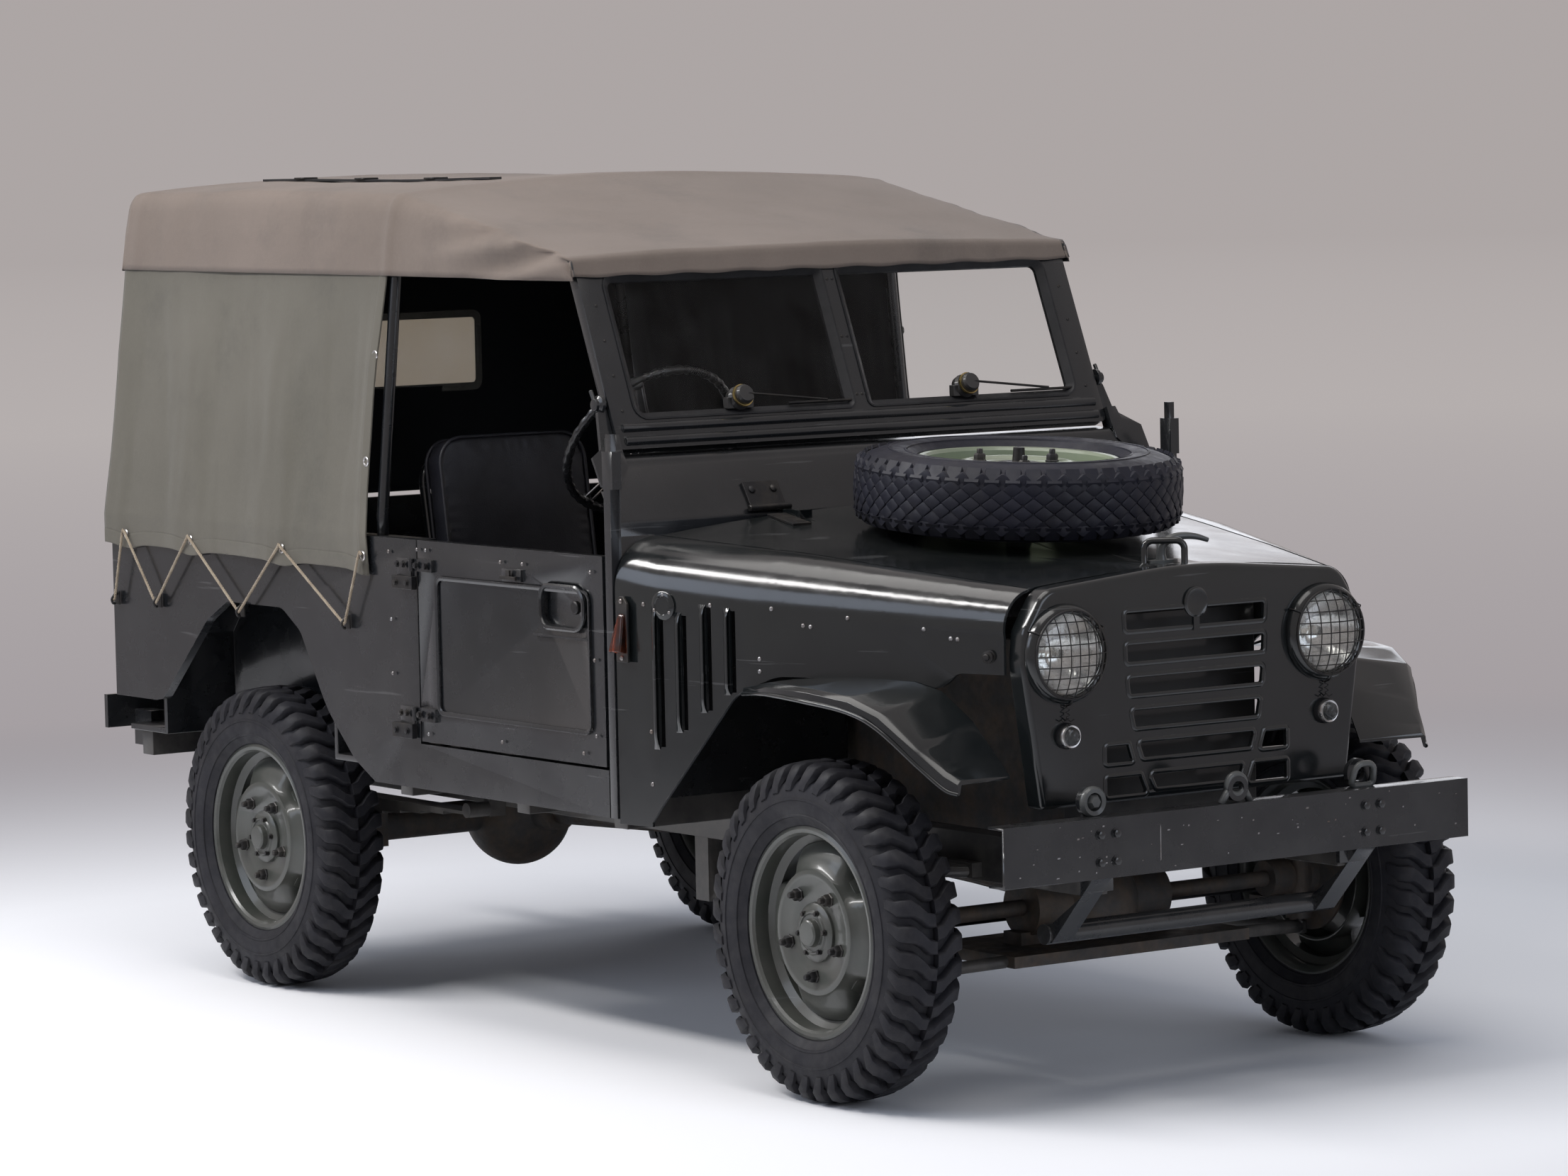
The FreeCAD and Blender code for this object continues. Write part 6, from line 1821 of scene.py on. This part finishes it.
def side_covers():
    """Round cover behind the shoulder with three screws, and the stack of washers at the front edge."""
    cover, stack, holders = bmesh.new(), bmesh.new(), []
    for side in (-1, 1):
        spot, out = on_side(0.780, 0.985, side)
        turned(cover, [(0, -0.002), (0.030, -0.002), (0.0305, 0.0035), (0.0275, 0.0062), (0.020, 0.0072),
                       (0.0185, 0.0052), (0, 0.0050)], spot, out, 40)
        for way in ways_round(out, angles(3, math.radians(25))):
            holders.append((spot + out * 0.0060 + way * 0.0235, out))
        foot, away = on_side(1.545, 0.908, side)
        turned(stack, [(0, -0.002), (0.013, -0.002), (0.013, 0.003), (0.009, 0.004), (0.009, 0.008),
                       (0.0125, 0.009),
                       (0.0125, 0.013), (0.007, 0.014), (0.007, 0.019), (0.005, 0.021), (0, 0.021)], foot,
               away, 24)
    put_on("side_cover", cover, BONNET_PAINT, "chassis", 0, 40)
    put_on("edge_buffers", stack, BLACKENED, "chassis", 0, 40)
    screws("side_cover_screws", holders, 0.0036)


side_covers()


def lid_fittings():
    """Hinge brackets stay on the scuttle; their tongues and the grab handle ride on the lid."""
    hinge, pins, tongues = bmesh.new(), bmesh.new(), bmesh.new()
    for side in (-1, 1):
        low, high = side * 0.296, side * 0.388
        near, out = touch("cowl", (0.90, -0.342, 1.185), (-1, 0, 0))
        up_slope = Vector((-0.54, 0, 0.84))
        foot = Vector((near.x, low, near.z)) - up_slope * 0.030
        slab(hinge, [foot, foot + Vector((0, high - low, 0)),
                     foot + Vector((0, high - low, 0)) + up_slope * 0.062,
                     foot + up_slope * 0.062], out * 0.007)
        roll = Vector((near.x, 0, near.z)) - up_slope * 0.034 + out * 0.009
        bar(pins, roll + Vector((0, low - side * 0.008, 0)), roll + Vector((0, high + side * 0.008, 0)),
            0.0075, 14)
        for across_y in (0.314, 0.370):
            head = Vector((near.x, side * across_y, near.z)) + up_slope * 0.012 + out * 0.007
            turned(pins, [(0, -0.001), (0.0085, -0.001), (0.0085, 0.003), (0.005, 0.0055), (0, 0.006)],
                   head, out, 14)
        tongue = [(x, touch("bonnet_lid", (x, side * 0.342, 1.4), (0, 0, -1))[0].z - 0.001)
                  for x in (0.640, 0.664, 0.690, 0.735)]
        for (x0, z0), (x1, z1) in zip(tongue, tongue[1:]):
            slab(tongues, [(x0, side * 0.318, z0), (x1, side * 0.318, z1), (x1, side * 0.366, z1),
                           (x0, side * 0.366, z0)], (0, 0, 0.0055))
    put_on("lid_hinge_brackets", hinge, BLACKENED, "chassis", 0.0012)
    put_on("lid_hinge_pins", pins, BLACKENED, "chassis", 0, 40)
    put_on("lid_hinge_tongues", tongues, BLACKENED, "bonnet", 0.0008)

    handle = bmesh.new()
    base = touch("bonnet_lid", (1.512, 0.006, 1.4), (0, 0, -1))[0]
    ring = [base + Vector((0.018 * math.cos(turn), 0.036 * math.sin(turn), 0)) for turn in angles(28)]
    slab(handle, [spot - Vector((0, 0, 0.002)) for spot in ring], (0, 0, 0.0065))
    run = bent([base + Vector(step) for step in ((0, -0.004, 0.002), (0, -0.005, 0.020),
                                                 (0.002, -0.001, 0.036),
                                                 (0.006, 0.018, 0.0475), (0.012, 0.045, 0.0515),
                                                 (0.019, 0.073, 0.0485), (0.025, 0.098, 0.0405))], 6)
    count = len(run)
    sizes = [0.0098 - 0.0048 * (step / (count - 1)) ** 2 + 0.002 * bell(step, 0,
                                                                        3) for step in range(count)]
    pipe(handle, run, sizes, 14)
    put_on("lid_handle", handle, STAY_PAINT, "bonnet", 0, 60)


lid_fittings()
print("bonnet fittings set")

# %% [markdown]
# ### Wing edges
# The free edge of a wing is rolled round a wire, which stiffens it. It takes every knock, so it
# shines.

# %% Rolled wing edges
# outer edge of the wing, from the rear forward: x, y, z, depth of the lip
WING_EDGE = [(1.010, 0.696, 0.826, 0.014), (1.140, 0.728, 0.848, 0.026), (1.290, 0.738, 0.848, 0.030),
             (1.410, 0.722, 0.836, 0.032), (1.480, 0.700, 0.808, 0.034), (1.550, 0.655, 0.738, 0.036),
             (1.600, 0.628, 0.694, 0.036), (1.624, 0.612, 0.678, 0.030)]


def rolled_wing_edges():
    work = bmesh.new()
    for side in (-1, 1):
        run = bent([(x, side * y, z - lip + 0.002) for x, y, z, lip in WING_EDGE], 5)
        pipe(work, run, 0.0045, 10)
    put_on("wing_edges", work, BONNET_PAINT, "chassis", 0, 60)


rolled_wing_edges()


# %% [markdown]
# ### Windscreen
# Each pane sits in a black rubber channel inside the steel frame, with its corners rounded. Two
# knobs clamp the frame to its brackets, and the wiper motors sit low on the outside of the glass.

# %% Rubber channels, knobs and wipers
SCREEN_FOOT, SCREEN_LEAN = Vector((0.505, 0, 1.286)), math.radians(22.6)


def on_screen(out, across_y, up):
    """Car point on the leaning windscreen: distance ahead of its middle, y, distance up along it."""
    return SCREEN_FOOT + Vector((out * math.cos(SCREEN_LEAN) - up * math.sin(SCREEN_LEAN), across_y,
                                 out * math.sin(SCREEN_LEAN) + up * math.cos(SCREEN_LEAN)))


SCREEN_OUT = on_screen(1, 0, 0) - SCREEN_FOOT
# pane opening in the frame: inner half, outer half, bottom and top along the lean
PANE_INNER, PANE_OUTER, PANE_LOW, PANE_HIGH = 0.022, 0.590, 0.074, 0.398


def screen_fittings():
    rubber_channel, knobs, motors, glass_ring, arms = (bmesh.new() for _ in range(5))
    for side in (-1, 1):
        loop = rounded_loop([(side * PANE_INNER, PANE_LOW, 0.012), (side * PANE_INNER, PANE_HIGH, 0.012),
                             (side * PANE_OUTER, PANE_HIGH, 0.028), (side * PANE_OUTER, PANE_LOW, 0.028)],
                            lambda y, up: on_screen(0.003, y, up))
        border(rubber_channel, loop, SCREEN_OUT,
               [(-0.013, -0.008), (-0.013, 0.001), (-0.008, 0.005), (0.002, 0.0135),
                                                  (0.006, 0.0135), (0.006, -0.008)])
        knob = on_screen(0, side * 0.664, 0.112)
        turned(knobs, [(0, 0), (0.020, 0), (0.020, 0.008), (0.013, 0.012), (0.013, 0.019), (0, 0.021)],
               knob,
               (0, side, 0), 20)
        bar(knobs, knob + Vector((-0.016, side * 0.015, 0.030)),
            knob + Vector((0.004, side * 0.015, -0.004)), 0.0045)
    for y in (-0.322, 0.285):
        base = on_screen(0.014, y, 0.104)
        turned(motors, [(0, -0.010), (0.026, -0.010), (0.027, 0.004), (0.022, 0.012), (0.022, 0.030),
                        (0.018, 0.036),
                        (0, 0.037)], base, SCREEN_OUT, 28)
        block(motors, tuple(base + Vector((-0.008, -0.034, -0.020))),
              tuple(base + Vector((0.010, 0.034, 0.004))))
        turned(glass_ring, [(0.0225, 0.018), (0.0250, 0.018), (0.0250, 0.023), (0.0225, 0.023),
                            (0.0225, 0.018)], base,
               SCREEN_OUT, 28)
        pipe(arms, bent([base + SCREEN_OUT * 0.034, base + SCREEN_OUT * 0.036 + Vector((0, 0.05, -0.006)),
                         base + SCREEN_OUT * 0.026 + Vector((0, 0.16, -0.014)),
                         base + SCREEN_OUT * 0.016 + Vector((0, 0.225, -0.017))], 5), 0.0030, 6)
        blade = [on_screen(0.0105, y + 0.13 + step * 0.040, 0.089) for step in range(6)]
        pipe(arms, blade, 0.0036, 6)
    put_on("screen_rubber", rubber_channel, SEAL_RUBBER, "chassis", 0, 40)
    put_on("screen_knobs", knobs, BODY_PAINT, "chassis", 0.0012, 40)
    put_on("wiper_motors", motors, CHASSIS_BLACK, "chassis", 0.001, 40)
    put_on("wiper_rings", glass_ring, BRASS, "chassis", 0, 40)
    put_on("wiper_arms", arms, BLACKENED, "chassis", 0, 50)
    holders = []
    for along in range(-6, 7):
        if along:
            holders.append((on_screen(0.0138, along * 0.092, 0.4165), SCREEN_OUT))
    for side in (-1, 1):
        for up in (0.09, 0.17, 0.25, 0.33):
            holders.append((on_screen(0.0138, side * 0.624, up), SCREEN_OUT))
        for up in (0.10, 0.235, 0.37):
            holders.append((on_screen(0.0138, side * 0.007, up), SCREEN_OUT))
    screws("screen_screws", holders, 0.0034, BLACKENED)


screen_fittings()

# %% [markdown]
# ### Doors
# A door carries the bolts of its two strap hinges, a rim round its recess, a pressed cup with the
# push button, and a sprung catch near its top edge. All of it rides on the door, so it swings away
# with the panel.

# %% Door hardware
# outer face of the doors and the tub: y
SKIN = 0.766
# strap hinges: z of the middle of each
HINGE_Z = (0.6965, 1.0255)


def door_fittings(side):
    body = frame["nodes"][f"door_{side_name(side)}"]["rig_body"]
    boxes, trim = bmesh.new(), bmesh.new()
    straps = [((x, side * (SKIN + 0.0076), middle), (0, side, 0), (0, 0, 1)) for middle in HINGE_Z
              for x in (-0.125, -0.086)]
    stamped(f"door_strap_bolts_{side_name(side)}", hex_bolt(0.0062, 0.0058), straps, BLACKENED, body)
    # folded rim round the recess, and a bead under the cup
    loop = rounded_loop([(-0.058, 0.705, 0.020), (-0.058, 1.000, 0.020), (0.545, 1.000, 0.020),
                         (0.545, 0.705, 0.020)], lambda x, z: Vector((x, side * (SKIN - 0.0025), z)))
    border(trim, loop, (0, side, 0), [(-0.004, -0.0012), (-0.004, 0.0003), (0.0, 0.0022), (0.003, 0.0030),
                                      (0.0055, 0.0027), (0.0055, -0.0010)])
    cup = rounded_loop([(0.362, 0.922, 0.030), (0.362, 1.006, 0.030), (0.527, 1.006, 0.034),
                        (0.527, 0.922, 0.034)],
                       lambda x, z: Vector((x, side * (SKIN - 0.0005), z)))
    border(trim, cup, (0, side, 0), [(-0.0035, -0.010), (-0.0035, 0.0), (-0.001, 0.0035), (0.004, 0.0042),
                                     (0.008, 0.0015), (0.008, -0.002)])
    slab(trim, [(0.330, side * (SKIN - 0.0028), 0.8985), (0.543, side * (SKIN - 0.0028), 0.8985),
                (0.543, side * (SKIN - 0.0028), 0.9035), (0.330, side * (SKIN - 0.0028), 0.9035)],
         (0, side * 0.0022, 0))
    put_on(f"door_trim_{side_name(side)}", trim, BODY_PAINT, body, 0, 40)
    # push button in the cup
    turned(boxes, [(0, -0.012), (0.0145, -0.012), (0.0145, -0.004), (0.0115, -0.0015), (0, -0.0015)],
           (0.490, side * SKIN, 0.966), (0, side, 0), 24)
    # sprung catch near the top edge: cheeks and a tongue
    block(boxes, (0.222, min(side * (SKIN + 0.006), side * (SKIN + 0.012)), 1.0135),
          (0.284, max(side * (SKIN + 0.006), side * (SKIN + 0.012)), 1.0215))
    block(boxes, (0.246, min(side * (SKIN + 0.006), side * (SKIN + 0.011)), 1.0215),
          (0.260, max(side * (SKIN + 0.006), side * (SKIN + 0.011)), 1.0345))
    put_on(f"door_catch_{side_name(side)}", boxes, BLACKENED, body, 0.0008, 40)
    heads = [(Vector((x, side * (SKIN + 0.0002), z)), Vector((0, side, 0))) for x, z in (
        (-0.130, 1.060), (-0.094, 1.060), (0.210, 1.049), (0.297, 1.049), (0.560, 1.045), (0.570, 0.700),
        (0.570, 0.860), (-0.100, 0.655), (0.200, 0.660), (0.520, 0.660))]
    screws(f"door_screws_{side_name(side)}", heads, 0.0042, DULL_STEEL, body, 9)


for side in (-1, 1):
    door_fittings(side)


def hinge_boxes():
    """Dark covers with two bolts on the tub, behind each strap hinge, and screws on the tub and the post.
    """
    boxes, bolts, heads = bmesh.new(), [], []
    for side in (-1, 1):
        for low, high, rear, front in ((0.971, 1.000, -0.223, -0.139), (0.641, 0.674, -0.236, -0.152)):
            block(boxes, (rear, min(side * (SKIN - 0.002), side * (SKIN + 0.011)), low),
                  (front, max(side * (SKIN - 0.002), side * (SKIN + 0.011)), high))
            for x in (rear + 0.018, front - 0.020):
                bolts.append(((x, side * (SKIN + 0.011), (low + high) / 2), (0, side, 0), (1, 0, 0)))
        for middle in HINGE_Z:
            for x in (-0.204, -0.180):
                bolts.append(((x, side * (SKIN + 0.0058), middle), (0, side, 0), (1, 0, 0)))
        heads += [(Vector((x, side * SKIN, z)), Vector((0, side, 0))) for x, z in (
            (-0.250, 1.050), (-0.500, 1.050), (-0.800, 1.050), (-1.100, 1.050), (-1.400, 1.050),
            (-0.245, 0.900),
            (-0.245, 0.780))]
    put_on("hinge_boxes", boxes, BLACKENED, "chassis", 0.0015)
    stamped("hinge_box_bolts", hex_bolt(0.0058, 0.0056), bolts, BLACKENED)
    screws("tub_screws", heads, 0.0042)


hinge_boxes()

# %% [markdown]
# ### Bumper, rings and roof strap
# The bumper's stays are bolted through the channel. On its top edge stand a round eye with a nut, a
# D-shaped eye, and a ring on two legs. A dark strap with small buckles runs along the roof, to the
# right of its ridge; it also stands in, as painted shade, for the shaded crown of the roof.

# %% Bumper bolts and rings
# front face of the bumper: x
FACE = 1.760


def bumper_fittings():
    bolts, rings, scratch = [], bmesh.new(), bmesh.new()
    for side in (-1, 1):
        for y in (0.325, 0.365):
            for z in (0.506, 0.561):
                bolts.append(((FACE - 0.0003, side * y, z), (1, 0, 0), (0, 0, 1)))
    # right ring: round plate with a bolt through it
    middle = Vector((1.712, -0.349, 0.622))
    turned(rings, [(0.0165, 0.0), (0.029, 0.0), (0.0315, 0.003), (0.031, 0.010), (0.027, 0.014),
                   (0.0185, 0.012),
                   (0.0165, 0.0)], middle, (1, 0, 0), 36)
    turned(rings, [(0, -0.006), (0.0165, -0.006), (0.0165, 0.010), (0.011, 0.018), (0, 0.019)], middle,
           (1, 0, 0), 6)
    # left ring: a D-shaped eye that lies back on the bumper's top edge
    left = Vector((1.722, 0.349, 0.617))
    loop = rounded_loop([(-0.030, -0.020, 0.010), (-0.024, 0.026, 0.020), (0.024, 0.026, 0.020),
                         (0.030, -0.020, 0.010)],
                        lambda y, z: left + Vector((0.010 * (z + 0.02) / 0.04, y, z)))
    pipe(rings, loop, 0.0068, 10, True)
    # middle ring on two short legs
    crown = Vector((1.741, 0, 0.6295))
    ring = [crown + Vector((0, 0.0225 * math.cos(turn), 0.0205 * math.sin(turn))) for turn in angles(32)]
    pipe(rings, ring, 0.0072, 10, True)
    for leg in (-1, 1):
        bar(rings, crown + Vector((0, leg * 0.020, -0.010)), Vector((1.738, leg * 0.038, 0.5925)), 0.0075)
    put_on("bumper_rings", rings, STAY_PAINT, "chassis", 0, 45)
    stamped("bumper_bolts", hex_bolt(0.0085, 0.008), bolts, BODY_PAINT)
    # scrape down the face and small chips where the paint has gone
    chance = random.Random(31)
    for y, z, wide, tall in [(-0.212, 0.533, 0.0012, 0.075)] + [
            (chance.uniform(-0.58, 0.58), chance.uniform(0.482, 0.586), chance.uniform(0.0012, 0.0042),
             chance.uniform(0.0012, 0.0038)) for _ in range(46)]:
        slab(scratch, [(FACE + 0.00002, y - wide, z - tall / 2),
                       (FACE + 0.00002, y + wide * 0.7, z - tall * 0.45),
                       (FACE + 0.00002, y + wide, z + tall * 0.4),
                       (FACE + 0.00002, y - wide * 0.6, z + tall / 2)],
             (0.0003, 0, 0))
    put_on("paint_chips", scratch, DULL_STEEL, "chassis", 0)


bumper_fittings()


def roof_strap():
    """Strap with buckles along the canvas roof; its dark band is also painted shade on the roof's crown."""
    strap, buckles = bmesh.new(), bmesh.new()
    run = []
    for step in range(41):
        x = -1.46 + 1.02 * step / 40
        spot = top_section(x, 40)[12][0]
        # behind the front hoop the strap sinks with the canvas
        sag = 0.008 * math.sin(math.pi * min(1.0, (x + 1.48) / 1.15)) ** 2 if x < HOOP_X[1] else 0
        run.append(Vector((x, spot.y, spot.z - 0.0005 - sag)))
    wide = Vector((0, 0.016, 0))
    for a, b in zip(run, run[1:]):
        slab(strap, [a - wide, b - wide, b + wide, a + wide], (0, 0, 0.0050))
    for index in (7, 18, 30):
        middle = run[index] + Vector((0, 0, 0.0065))
        loop = rounded_loop([(-0.019, -0.021, 0.004), (-0.019, 0.021, 0.004), (0.019, 0.021, 0.004),
                             (0.019, -0.021, 0.004)], lambda a, b: middle + Vector((a, b, 0)))
        pipe(buckles, loop, 0.0024, 6, True)
        bar(buckles, middle - wide * 1.25, middle + wide * 1.25, 0.0020, 8)
    # the dark strap is partly painted shade: it stands for the shaded crown behind the near shoulder
    put_on("roof_strap", strap, SEAL_RUBBER, "chassis", 0, 40)
    put_on("roof_buckles", buckles, BLACKENED, "chassis", 0, 50)


roof_strap()
print("fittings set")

# %% [markdown]
# ## Seats
# A seat pad is a sewn bag of leathercloth over springs and horsehair. The stuffing pushes the
# panels out, but the piped seams hold, so each face is crowned and the sides pull in between the
# corners. That is just what a cloth simulation with inner pressure and pinned seams gives. All six
# pads are blown up together, because one run of twenty frames costs less than six. How far a point
# may move is capped, so no pad leaves its place.

# %% Sewing patterns of the pads
# pad, centre, length direction, width direction, stuffing direction, length, width, thickness,
# corner radius
SEAT_LEAN = math.radians(9)
BACK_UP = Vector((-math.sin(SEAT_LEAN), 0, math.cos(SEAT_LEAN)))
BACK_OUT = Vector((math.cos(SEAT_LEAN), 0, math.sin(SEAT_LEAN)))
AHEAD, LEFT, UP = Vector((1, 0, 0)), Vector((0, 1, 0)), Vector((0, 0, 1))
PADS = []
for side in (-1, 1):
    PADS += [
        (f"cushion_{side_name(side)}", Vector((0, side * 0.405, 0.810)), AHEAD, LEFT, UP, 0.414, 0.374,
         0.066, 0.050),
        (f"back_{side_name(side)}", Vector((-0.268, side * 0.405, 0.868)) + BACK_UP * 0.215, BACK_UP, -LEFT,
         BACK_OUT,
         0.414, 0.384, 0.060, 0.060),
        (f"bench_{side_name(side)}", Vector((-0.940, side * 0.6385, 0.944)), AHEAD, LEFT, UP, 0.684, 0.171,
         0.036,
         0.030)]
MESH_STEP = 0.008
# inner pressure, frames of the run, and the most that a point may move
PRESSURE, FRAMES, MOST_SWELL = 4.0, 20, 0.014
# points along one seam, and how far from it the cloth is held fast and starts to be free
SEAM_POINTS, HELD, FREE = 400, 0.007, 0.013


def seam_loop(pad, level, inset=0.0):
    """Outline of a pad at a height of the given share of its thickness."""
    _, centre, long, wide, out, length, width, thick, corner = pad
    a, b = length / 2 - inset, width / 2 - inset
    return rounded_loop([(-a, -b, corner), (-a, b, corner), (a, b, corner), (a, -b, corner)],
                        lambda u, v: centre + long * u + wide * v + out * (thick * level), 8)


def pad_pattern(pad):
    """Even mesh of the unstuffed pad, and the share by which each point is held by a seam."""
    name, out, thick = pad[0], pad[4], pad[7]
    work = bmesh.new()
    slab(work, seam_loop(pad, -0.5), out * thick)
    piece = placed("seat_" + name, mesh_from(name + "_pattern", work))
    even = piece.modifiers.new("even", "REMESH")
    even.mode, even.voxel_size = "VOXEL", MESH_STEP
    mesh = bpy.data.meshes.new_from_object(piece.evaluated_get(bpy.context.evaluated_depsgraph_get()))
    piece.modifiers.clear()
    piece.data = mesh
    seams = KDTree(2 * SEAM_POINTS)
    for index, level in enumerate((-0.5, 0.5)):
        loop = seam_loop(pad, level)
        count = len(loop)
        for step in range(SEAM_POINTS):
            place = step / SEAM_POINTS * count
            first = int(place)
            spot = loop[first].lerp(loop[(first + 1) % count], place - first)
            seams.insert(spot, index * SEAM_POINTS + step)
    seams.balance()
    group = piece.vertex_groups.new(name="seams")
    for vert in mesh.vertices:
        far = seams.find(vert.co)[2]
        hold = max(0.0, min(1.0, (FREE - far) / (FREE - HELD)))
        if hold:
            group.add([vert.index], hold, "REPLACE")
    return piece


# %% Stuff the pads
def stuff(pieces):
    """Blow up all the pads with pressure for twenty frames and keep the result in their meshes."""
    scene = bpy.context.scene
    for piece in pieces:
        cloth = piece.modifiers.new("stuffing", "CLOTH")
        rule = cloth.settings
        rule.quality = 4
        rule.use_pressure, rule.uniform_pressure_force = True, PRESSURE
        rule.effector_weights.gravity = 0
        rule.vertex_group_mass = "seams"
        rule.tension_stiffness = rule.compression_stiffness = 18
        rule.bending_stiffness = 0.6
        cloth.collision_settings.use_collision = False
        cloth.point_cache.frame_start, cloth.point_cache.frame_end = 1, FRAMES
    for frame_number in range(1, FRAMES + 1):
        scene.frame_set(frame_number)
    graph = bpy.context.evaluated_depsgraph_get()
    results = [[vert.co.copy() for vert in piece.evaluated_get(graph).data.vertices] for piece in pieces]
    scene.frame_set(1)
    for piece, result in zip(pieces, results):
        piece.modifiers.clear()
        for vert, spot in zip(piece.data.vertices, result):
            move = spot - vert.co
            if move.length > MOST_SWELL:
                move *= MOST_SWELL / move.length
            vert.co += move


def crown(piece, pad):
    """Stand-in for the stuffing while other pieces are worked on: a plain bulge."""
    _, centre, long, wide, out, length, width, _, _ = pad
    for vert in piece.data.vertices:
        away = vert.co - centre
        share = (1 - (2 * away.dot(long) / length) ** 2) * (1 - (2 * away.dot(wide) / width) ** 2)
        vert.co += out * math.copysign(0.012 * max(0.0, share), away.dot(out))


pads = [pad_pattern(pad) for pad in PADS]
stuff(pads)


def wrinkled(piece, pad):
    """Sat-in hollows and small tucks along the seams; then finish and one subdivision."""
    _, centre, long, wide, out, length, width, _, _ = pad
    for vert in piece.data.vertices:
        away = vert.co - centre
        u, v, w = away.dot(long), away.dot(wide), away.dot(out)
        edge = max(abs(2 * u / length), abs(2 * v / width))
        along = u if abs(2 * v / width) > abs(2 * u / length) else v
        tuck = 0.0012 * math.sin(along * 190 + 3 * math.sin(along * 31)) * max(0.0,
                                                                               1 - abs(edge - 0.90) / 0.10)
        slack = 0.0030 * noise.noise(Vector((u * 9, v * 9, 3.3 if w > 0 else 7.7)))
        seat_hollow = 0.004 * bell(u, 0.0, 0.12) * bell(v, 0.0, 0.11) if w > 0 else 0.0
        vert.co += out * (tuck + slack * (1 - min(1.0, edge) ** 4) - seat_hollow)
    mesh = piece.data
    mesh.materials.clear()
    mesh.materials.append(LEATHER)
    piece.vertex_groups.clear()
    finer(piece)
    mesh.shade_smooth()
    carried(piece, "chassis", ())


piping = bmesh.new()
for piece, pad in zip(pads, PADS):
    wrinkled(piece, pad)
    for level in (-0.5, 0.5):
        pipe(piping, seam_loop(pad, level, -0.0005), 0.0042, 7, True)
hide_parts("seat_pads")
put_on("seat_piping", piping, LEATHER, "chassis", 0, 60)
print("pads stuffed:", [piece.name for piece in pads])


# %% [markdown]
# ### Steering wheel
# The wheel is a steel ring moulded in black bakelite with finger grips below, on three pairs of
# sprung spokes.

# %% Steering wheel
def steering_wheel():
    hub = Vector((0.170, -0.350, 1.290))
    lean = math.radians(52)
    axis = Vector((-math.sin(lean), 0, math.cos(lean)))
    side_way = Vector((0, 1, 0))
    fore = side_way.cross(axis)

    def at(radius, angle, rise=0.0):
        return hub + (fore * math.cos(angle) + side_way * math.sin(angle)) * radius + axis * rise

    rim, steel = bmesh.new(), bmesh.new()
    turns = angles(180)
    pipe(rim, [at(0.198, turn) for turn in turns],
         [0.0098 + 0.0011 * math.cos(45 * turn) for turn in turns], 12, True)
    turned(rim, [(0, -0.020), (0.026, -0.020), (0.034, -0.006), (0.034, 0.006), (0.028, 0.013),
                 (0.021, 0.015),
                 (0.020, 0.0185), (0.010, 0.0215), (0, 0.022)], hub, axis, 36)
    for angle in (90, 210, 330):
        turn = math.radians(angle)
        for shift in (-1, 1):
            bar(steel, at(0.028, turn + shift * 0.30, -0.003), at(0.196, turn + shift * 0.060), 0.0030, 8)
        bar(rim, at(0.183, turn), at(0.197, turn), 0.0150, 14)
    put_on("wheel_rim_and_hub", rim, BAKELITE, "steering_wheel", 0, 50, ("steering_wheel",))
    put_on("wheel_spokes", steel, DULL_STEEL, "steering_wheel", 0, 50)


steering_wheel()
